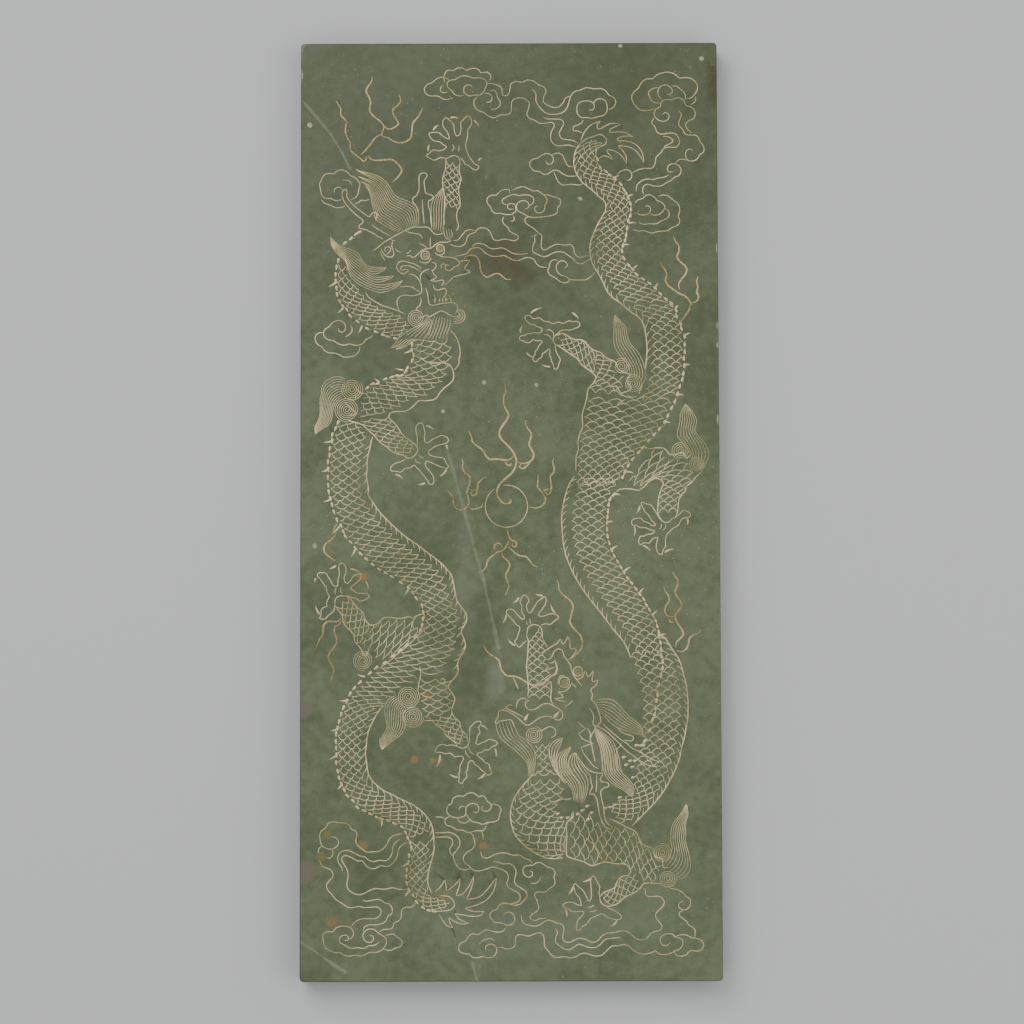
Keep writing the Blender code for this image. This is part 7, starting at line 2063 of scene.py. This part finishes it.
# How hairs, curls, talons and leg scales are drawn, and shapes that more than one stroke shares
HAIR_SHARE = 0.8
PEARL_START = 98
PEARL_TURNS = -0.925
CURL_CORE = 0.25
CURL_START = 0.3
CURL_PITCH = 0.62
CURL_MARGIN = 0.2
TALON_WIDTH = 1.0
TALON_BEND = 0.08
SPUR_BEND = 0.06
TOOTH_WIDTH = 0.6
LEG_ROWS = 9
LEG_SCALES = Scales(2, 1.15, 0.02, 0.98, 1.2)
HEAD_LEFT_SHAPE = [(-44.3,66.5),(-39.3,62.5),(-34.3,60.6),(-28.3,58.9),(-22,59.6),(-14,57),(-10,64),
   (-10,84),(-16,92),(-28,92),(-40,90),(-46,80)]
HEAD_RIGHT_SHAPE = [(5,-58.5),(12,-60),(17,-56),(22,-48),(26,-50),(27.5,-64),(26,-70),(27,-80),(22,-76),
   (14,-68),(8,-65),(-4,-66),(-4,-62),(1,-60)]
LEFT_FORELEG_ROWS = [((-49,27.5),(-37,28.5)),((-44.5,25),(-35.5,26)),((-41.7,22.5),(-33.5,23)),
   ((-38.5,19.5),(-31.5,21)),((-35,17),(-29.4,19.5)),((-31.5,15.6),(-28.4,17.2))]
LEFT_THIGH_ROWS = [((-47.5,-41),(-42.7,-35.8)),((-45,-44),(-39.5,-34.5)),((-42.5,-45.5),(-36,-33.7)),
   ((-40,-46.5),(-33,-33.8)),((-37,-46),(-30,-34.5)),((-33,-43),(-27.5,-37))]
PEARL_CURL = [[(-2.6,1.5),(-1.5,1.2),(-0.2,1.3),(0.4,2),(0,2.6),(-0.6,2.4)]]
BREATH = {
 "rough": [[(-14.1,76.3),(-13.7,77.3),(-12.6,77.9),(-11,77.9),(-9.8,77.2),(-9.2,76),(-9,74.5),(-8.8,73),
    (-8,71.8),(-7,71.1),(-6,71.4),(-4.5,72.2),(-3.2,72.2),(-2,71.2),(-1,70.5),(0.5,70.3)]],
 "fine": [
  [(-11.6,80.5),(-10,81.6),(-8.5,81.5),(-7.2,81),(-6.2,80.2),(-4.6,79.9),(-2.3,80.2),(-0.7,79.6),
     (0.8,78.6),(2.7,78.2),(5.7,78.4)],
  [(-16.8,77.6),(-14.8,78),(-13.3,78.4),(-12,79.8),(-10.5,80.3),(-9,80.1),(-7.4,78.6),(-5.3,77.6),
     (-3.2,77.6),(-1.5,77.8),(-0.2,77.1),(1.2,76.4),(2.8,76.3),(5.4,77.2),(7.4,76.7),(8.3,75.3),
     (9.6,74.3),(11.5,74.1)]]}


def draw_clouds(engraving: Engraving) -> None:
    """Cuts the clouds, the flames and the pearl.

    Args:
        engraving: what they are cut into.
    """
    for strokes in CLOUDS.values():
        engraving.cut("clouds", strokes, Tool.CONTOUR)
    for strokes in FLAMES.values():
        engraving.cut("flames", strokes, Tool.FLAME)
    x, y, reach = PEARL
    engraving.cut("clouds", [spiral(x, y, reach, reach, PEARL_START, PEARL_TURNS)], Tool.CONTOUR)
    engraving.cut("flames", PEARL_CURL, Tool.WHISKER)
    engraving.cut("clouds", BREATH["fine"], Tool.CONTOUR)
    engraving.cut("flames", BREATH["rough"], Tool.WHISKER)


def band(edge_a: Points, edge_b: Points) -> Line:
    """The closed shape between two edges."""
    return np.vstack([smooth_line(edge_a), smooth_line(edge_b)[::-1]])


def disc(x: float, y: float, reach: float) -> Line:
    """A closed circle."""
    return spiral(x, y, reach, reach, 0, 1)


def field_of(rows: Sequence) -> Line:
    """The closed shape that rows of back and belly points cover."""
    backs, bellies = zip(*rows)
    return band(backs, bellies)


@dataclass
class Dragon:
    """One dragon of the face, cut piece by piece; what lies in front hides what lies behind.

    Attributes:
        engraving: what it is cut into.
        group: the gold that fills it.
        front: shapes that hide the body.
    """
    engraving: Engraving
    group: str
    front: list[Line] = field(default_factory=list)

    def cut(self, lines: Sequence, tool: Tool = Tool.CONTOUR) -> None:
        """Cuts lines that nothing hides."""
        self.engraving.cut(self.group, lines, tool)

    def locks(self, locks: Sequence) -> None:
        """Combs locks of hair, each between two edges.

        Args:
            locks: two edges, a count of hairs and, where they gather, the tips.
        """
        for edge_a, edge_b, count, *tips in locks:
            self.cut(lock(edge_a, edge_b, round(count * HAIR_SHARE), tips[0] if tips else ()), Tool.HAIR)
            self.front.append(band(edge_a, edge_b))

    def rosettes(self, rosettes: Sequence) -> None:
        """Winds the curls at the joints.

        Args:
            rosettes: x, y, radius and, where it matters, the first heading.
        """
        for x, y, reach, *start in rosettes:
            turns = (reach - CURL_START) / CURL_PITCH
            self.cut([spiral(x, y, CURL_CORE, reach, start[0] if start else 0.0, turns)], Tool.HAIR)
            self.front.append(disc(x, y, reach + CURL_MARGIN))

    def foot(self, foot: dict) -> None:
        """Cuts a foot with its talons, and the foreleg if it is given.

        Args:
            foot: its outline, creases, talons and, where they show, wrist and foreleg.
        """
        outline = smooth_line(foot["outline"])
        self.cut([outline, *foot["creases"]])
        self.front.append(outline)
        for ax, ay, bx, by in foot["talons"]:
            self.engraving.leaf(self.group, (ax, ay), (bx, by), TALON_WIDTH, TALON_BEND)
        if "wrist" in foot:
            self.cut([foot["wrist"]])
        if "arm" in foot:
            self.cut(foot["arm"])
            sides = (resample(smooth_line(edge), LEG_ROWS) for edge in foot["arm"])
            self.scales(LEG_SCALES, list(zip(*sides)))
            self.front.append(band(*foot["arm"]))

    def scales(self, scales: Scales, rows: Sequence, hides: bool = False) -> None:
        """Lays scales over rows of back and belly points, behind all that is already there.

        Args:
            scales: their size and pattern.
            rows: pairs of a back and a belly point.
            hides: whether the field hides what is laid later.
        """
        backs, bellies = zip(*rows)
        self.cut(outside(scales.draw(backs, bellies), self.front), Tool.SCALE)
        if hides:
            self.front.append(field_of(rows))

    def belly(self, edge: Points, side: int, reach: float = 2.3, pitch: float = 2.1,
              lean: float = 35.0) -> None:
        """Cuts a belly's edge and the short strokes that leave it.

        Args:
            edge: from head to tail.
            side: 1 where the body lies to the left of the edge, -1 where it lies to the right.
            reach: length of a short stroke.
            pitch: distance between them.
            lean: degrees between a short stroke and the edge.
        """
        line = smooth_line(edge)
        self.cut([line], Tool.EDGE)
        even = resample(line, max(3, int(travel(line)[-1] / pitch)))
        inward = across(even) * side
        onward = np.c_[across(even)[:, 1], -across(even)[:, 0]]
        angle = math.radians(lean)
        for place, into, on in list(zip(even, inward, onward))[1:-1]:
            bow = place + reach * 0.5 * (into * math.sin(angle) * 0.7 + on * math.cos(angle))
            tip = place + reach * (into * math.sin(angle) + on * math.cos(angle))
            self.cut([[tuple(place), tuple(bow), tuple(tip)]], Tool.SCALE)

    def beads(self, places: Sequence, size: float = 1.4) -> None:
        """Sets the drops of the back, each along the line of its neighbours.

        Args:
            places: where the drops lie, in order.
            size: length of a drop.
        """
        line = np.array(places, float)
        onward = np.gradient(line, axis=0)
        onward /= np.maximum(np.hypot(*onward.T), 1e-9)[:, None]
        for place, on in zip(line, onward):
            a, b = place - on * size * 0.6, place + on * size * 0.6
            self.engraving.leaf(self.group, tuple(a), tuple(b), size * 0.9)

    def spurs(self, spurs: Sequence, width: float = 0.95) -> None:
        """Sets the spines of the back, from root to tip.

        Args:
            spurs: x and y of each root and tip.
            width: of a spine.
        """
        for ax, ay, bx, by in spurs:
            self.engraving.leaf(self.group, (ax, ay), (bx, by), width, SPUR_BEND)

    def eyes(self, eyes: Sequence) -> None:
        """Rings each eye and fills it with rubbed gold.

        Args:
            eyes: x, y and radius of each.
        """
        for x, y, reach in eyes:
            self.cut([disc(x, y, reach)])
            self.engraving.cut("flames", [spiral(x, y, 0.2, reach * 0.72, 0, 2.2)], Tool.HAIR)


def draw_left_dragon(engraving: Engraving) -> None:
    """Cuts the dragon on the left, from what lies in front to what lies behind.

    Args:
        engraving: what it is cut into.
    """
    dragon = Dragon(engraving, "left_dragon")
    dragon.cut(HEAD_LEFT["contours"])
    dragon.front.append(smooth_line(HEAD_LEFT_SHAPE))
    dragon.locks(HEAD_LEFT["locks"] + BODY_L1["locks"] + BODY_L3["locks"])
    dragon.rosettes(HEAD_LEFT["rosette"] + BODY_L1["rosettes"] + BODY_L2["rosettes"] + BODY_L3["rosettes"])
    dragon.eyes(HEAD_LEFT["eyes"])
    for x, y in HEAD_LEFT["teeth"]:
        engraving.leaf("left_dragon", (x, y + 0.6), (x, y - 0.7), TOOTH_WIDTH)
    for foot in (FEET["left_raised"], FEET["left_hind"], BODY_L1["foot"], BODY_L2["foot"]):
        dragon.foot(foot)
    dragon.cut([BODY_L1["leg"]], Tool.EDGE)
    dragon.cut([BODY_L1["link"], *BODY_L1["rosette_edges"], BODY_L2["loop"], BODY_L2["loop2"],
                *BODY_L2["vee"], *BODY_L3["hip_inner"], BODY_L3["knee"], BODY_L1["chest"]])
    dragon.cut([BODY_L2["thigh"], BODY_L2["thigh2"], BODY_L3["hip"]], Tool.EDGE)
    for rows in (LEFT_FORELEG_ROWS, LEFT_THIGH_ROWS, HIND_LEG_ROWS):
        dragon.scales(Scales(2, 1.12, 0.02, 0.98, 1.2), rows, True)
    dragon.scales(Scales(2.5, 1.3, 0.06, 0.84, 1.2), LEFT_ROWS)
    dragon.scales(Scales(2, 1.25, 0.08, 0.8, 1.2), TAIL_ROWS_L)
    for part in (BODY_L1, BODY_L2, BODY_L3, BODY_L4):
        dragon.belly(part["belly"], -1)
    for part in (HEAD_LEFT, BODY_L1, BODY_L2, BODY_L3, BODY_L4):
        for run in part["beads"]:
            dragon.beads(run)
        dragon.spurs(part["spurs"])
    dragon.cut([BODY_L2["spine"], BODY_L4["tip"], BODY_L4["fin"]])


def draw_right_dragon(engraving: Engraving) -> None:
    """Cuts the dragon on the right, from what lies in front to what lies behind.

    Args:
        engraving: what it is cut into.
    """
    dragon = Dragon(engraving, "right_dragon")
    dragon.cut(HEAD_R["contours"] + HEAD_R["nose"])
    dragon.front.append(smooth_line(HEAD_RIGHT_SHAPE))
    dragon.locks(HEAD_R["locks"] + BODY_R5["locks"] + BODY_R2["locks"])
    dragon.rosettes(HEAD_R["rosettes"] + BODY_R5["rosettes"] + BODY_R2["rosettes"])
    dragon.eyes(HEAD_R["eyes"])
    for ax, ay, bx, by, width in HEAD_R["teeth"]:
        engraving.leaf("right_dragon", (ax, ay), (bx, by), width)
    for foot in (FEET["right_front"], BODY_R3["foot"], HEAD_R["foot"], BODY_R5["foot"]):
        dragon.foot(foot)
    dragon.cut([*BODY_R5["horn"], *BODY_R2["folds"], HEAD_R["arm_right"], BODY_R5["hock"]])
    dragon.cut([HEAD_R["arm_left"], HEAD_R["arm_low"], BODY_R2["arm_upper"], BODY_R2["arm_lower"],
                BODY_R2["leg_upper"], BODY_R3["leg_lower"], BODY_R3["leg_upper"], BODY_R5["thigh_low"],
                BODY_R5["thigh_top"], BODY_R5["shin_up"], BODY_R5["shin_low"]], Tool.EDGE)
    whole = Scales(2, 1.2, 0.02, 0.98, 1.1)
    dragon.scales(whole, ROWS_R4_ARM, True)
    dragon.scales(whole, ROWS_R3_LEG, True)
    dragon.scales(whole, ROWS_R5_SHIN, True)
    dragon.scales(Scales(2.5, 1.45, 0.02, 0.98, 1.1), ROWS_R5_THIGH, True)
    dragon.scales(Scales(2.5, 1.25, 0.02, 0.98, 1.2), ROWS_R2_ARM, True)
    dragon.scales(whole, ROWS_R5_COIL[:5])
    dragon.scales(Scales(3, 1.45, 0.02, 0.9, 1.2), ROWS_R5_COIL[4:])
    dragon.scales(Scales(3, 1.38, 0.02, 0.86, 1.2), ROWS_R5_BACK)
    dragon.scales(Scales(2.5, 1.3, 0.05, 0.78, 1.2), ROWS_R3)
    dragon.scales(Scales(4.5, 1.3, 0.03, 0.97, 1.25), ROWS_R2_CHEST)
    dragon.scales(Scales(2.5, 1.3, 0.05, 0.86, 1.2), ROWS_R2_NECK)
    dragon.scales(Scales(2.5, 1.28, 0.05, 0.84, 1.2), ROWS_R1)
    dragon.belly(BODY_R5["coil"], 1)
    dragon.belly(BODY_R5["belly"], 1)
    for edge in (BODY_R3["belly"], BODY_R2["belly"][::-1], BODY_R1["belly"]):
        dragon.belly(edge, -1)
    for part in (BODY_R1, BODY_R2, BODY_R3, HEAD_R):
        for run in part["beads"]:
            dragon.beads(run)
    for part in (BODY_R1, BODY_R2, BODY_R3):
        dragon.spurs(part["spurs"])
    for x, y in BODY_R5["beads"]:
        engraving.leaf("right_dragon", (x - 0.65, y - 0.2), (x + 0.65, y + 0.2), 1.2)
    engraving.cut("flames", BODY_R5["flare"], Tool.WHISKER)
    dragon.cut([BODY_R1["cap"], BODY_R1["fin"]])


@dataclass(frozen=True)
class Cover:
    """The whole book cover: its drawing, stone and gold."""
    slab: Slab = Slab()
    gilding: Gilding = Gilding()
    jade: Jade = Jade()

    def build(self) -> None:
        """Draws, cuts and gilds the cover and ties every piece to the frame."""
        engraving = Engraving()
        draw_clouds(engraving)
        draw_left_dragon(engraving)
        draw_right_dragon(engraving)
        low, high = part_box(NODE)
        stone = self.slab.build(engraving, low, high)
        stone.data.materials.append(self.jade.material())
        self._place(stone, "jade")
        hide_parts(NODE)
        gold = Gold("gold").material()
        rust = Gold("rubbed_gold", bright=(222, 198, 142), worn=(140, 130, 86), roughness=0.55,
                    coarse=1.4).material()
        for group, strokes in engraving.groups.items():
            finish = rust if group.endswith("flames") else gold
            self._place(self.gilding.build("gilding_" + group, strokes, high.z, finish), "gilding")

    @staticmethod
    def _place(piece: bpy.types.Object, slot: str) -> None:
        """Ties a piece to the frame."""
        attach(piece, "root")


def main() -> None:
    """Builds the cover and its studio."""
    logging.basicConfig(level=logging.INFO)
    Cover().build()
    Studio().build()


if __name__ == "__main__":
    main()
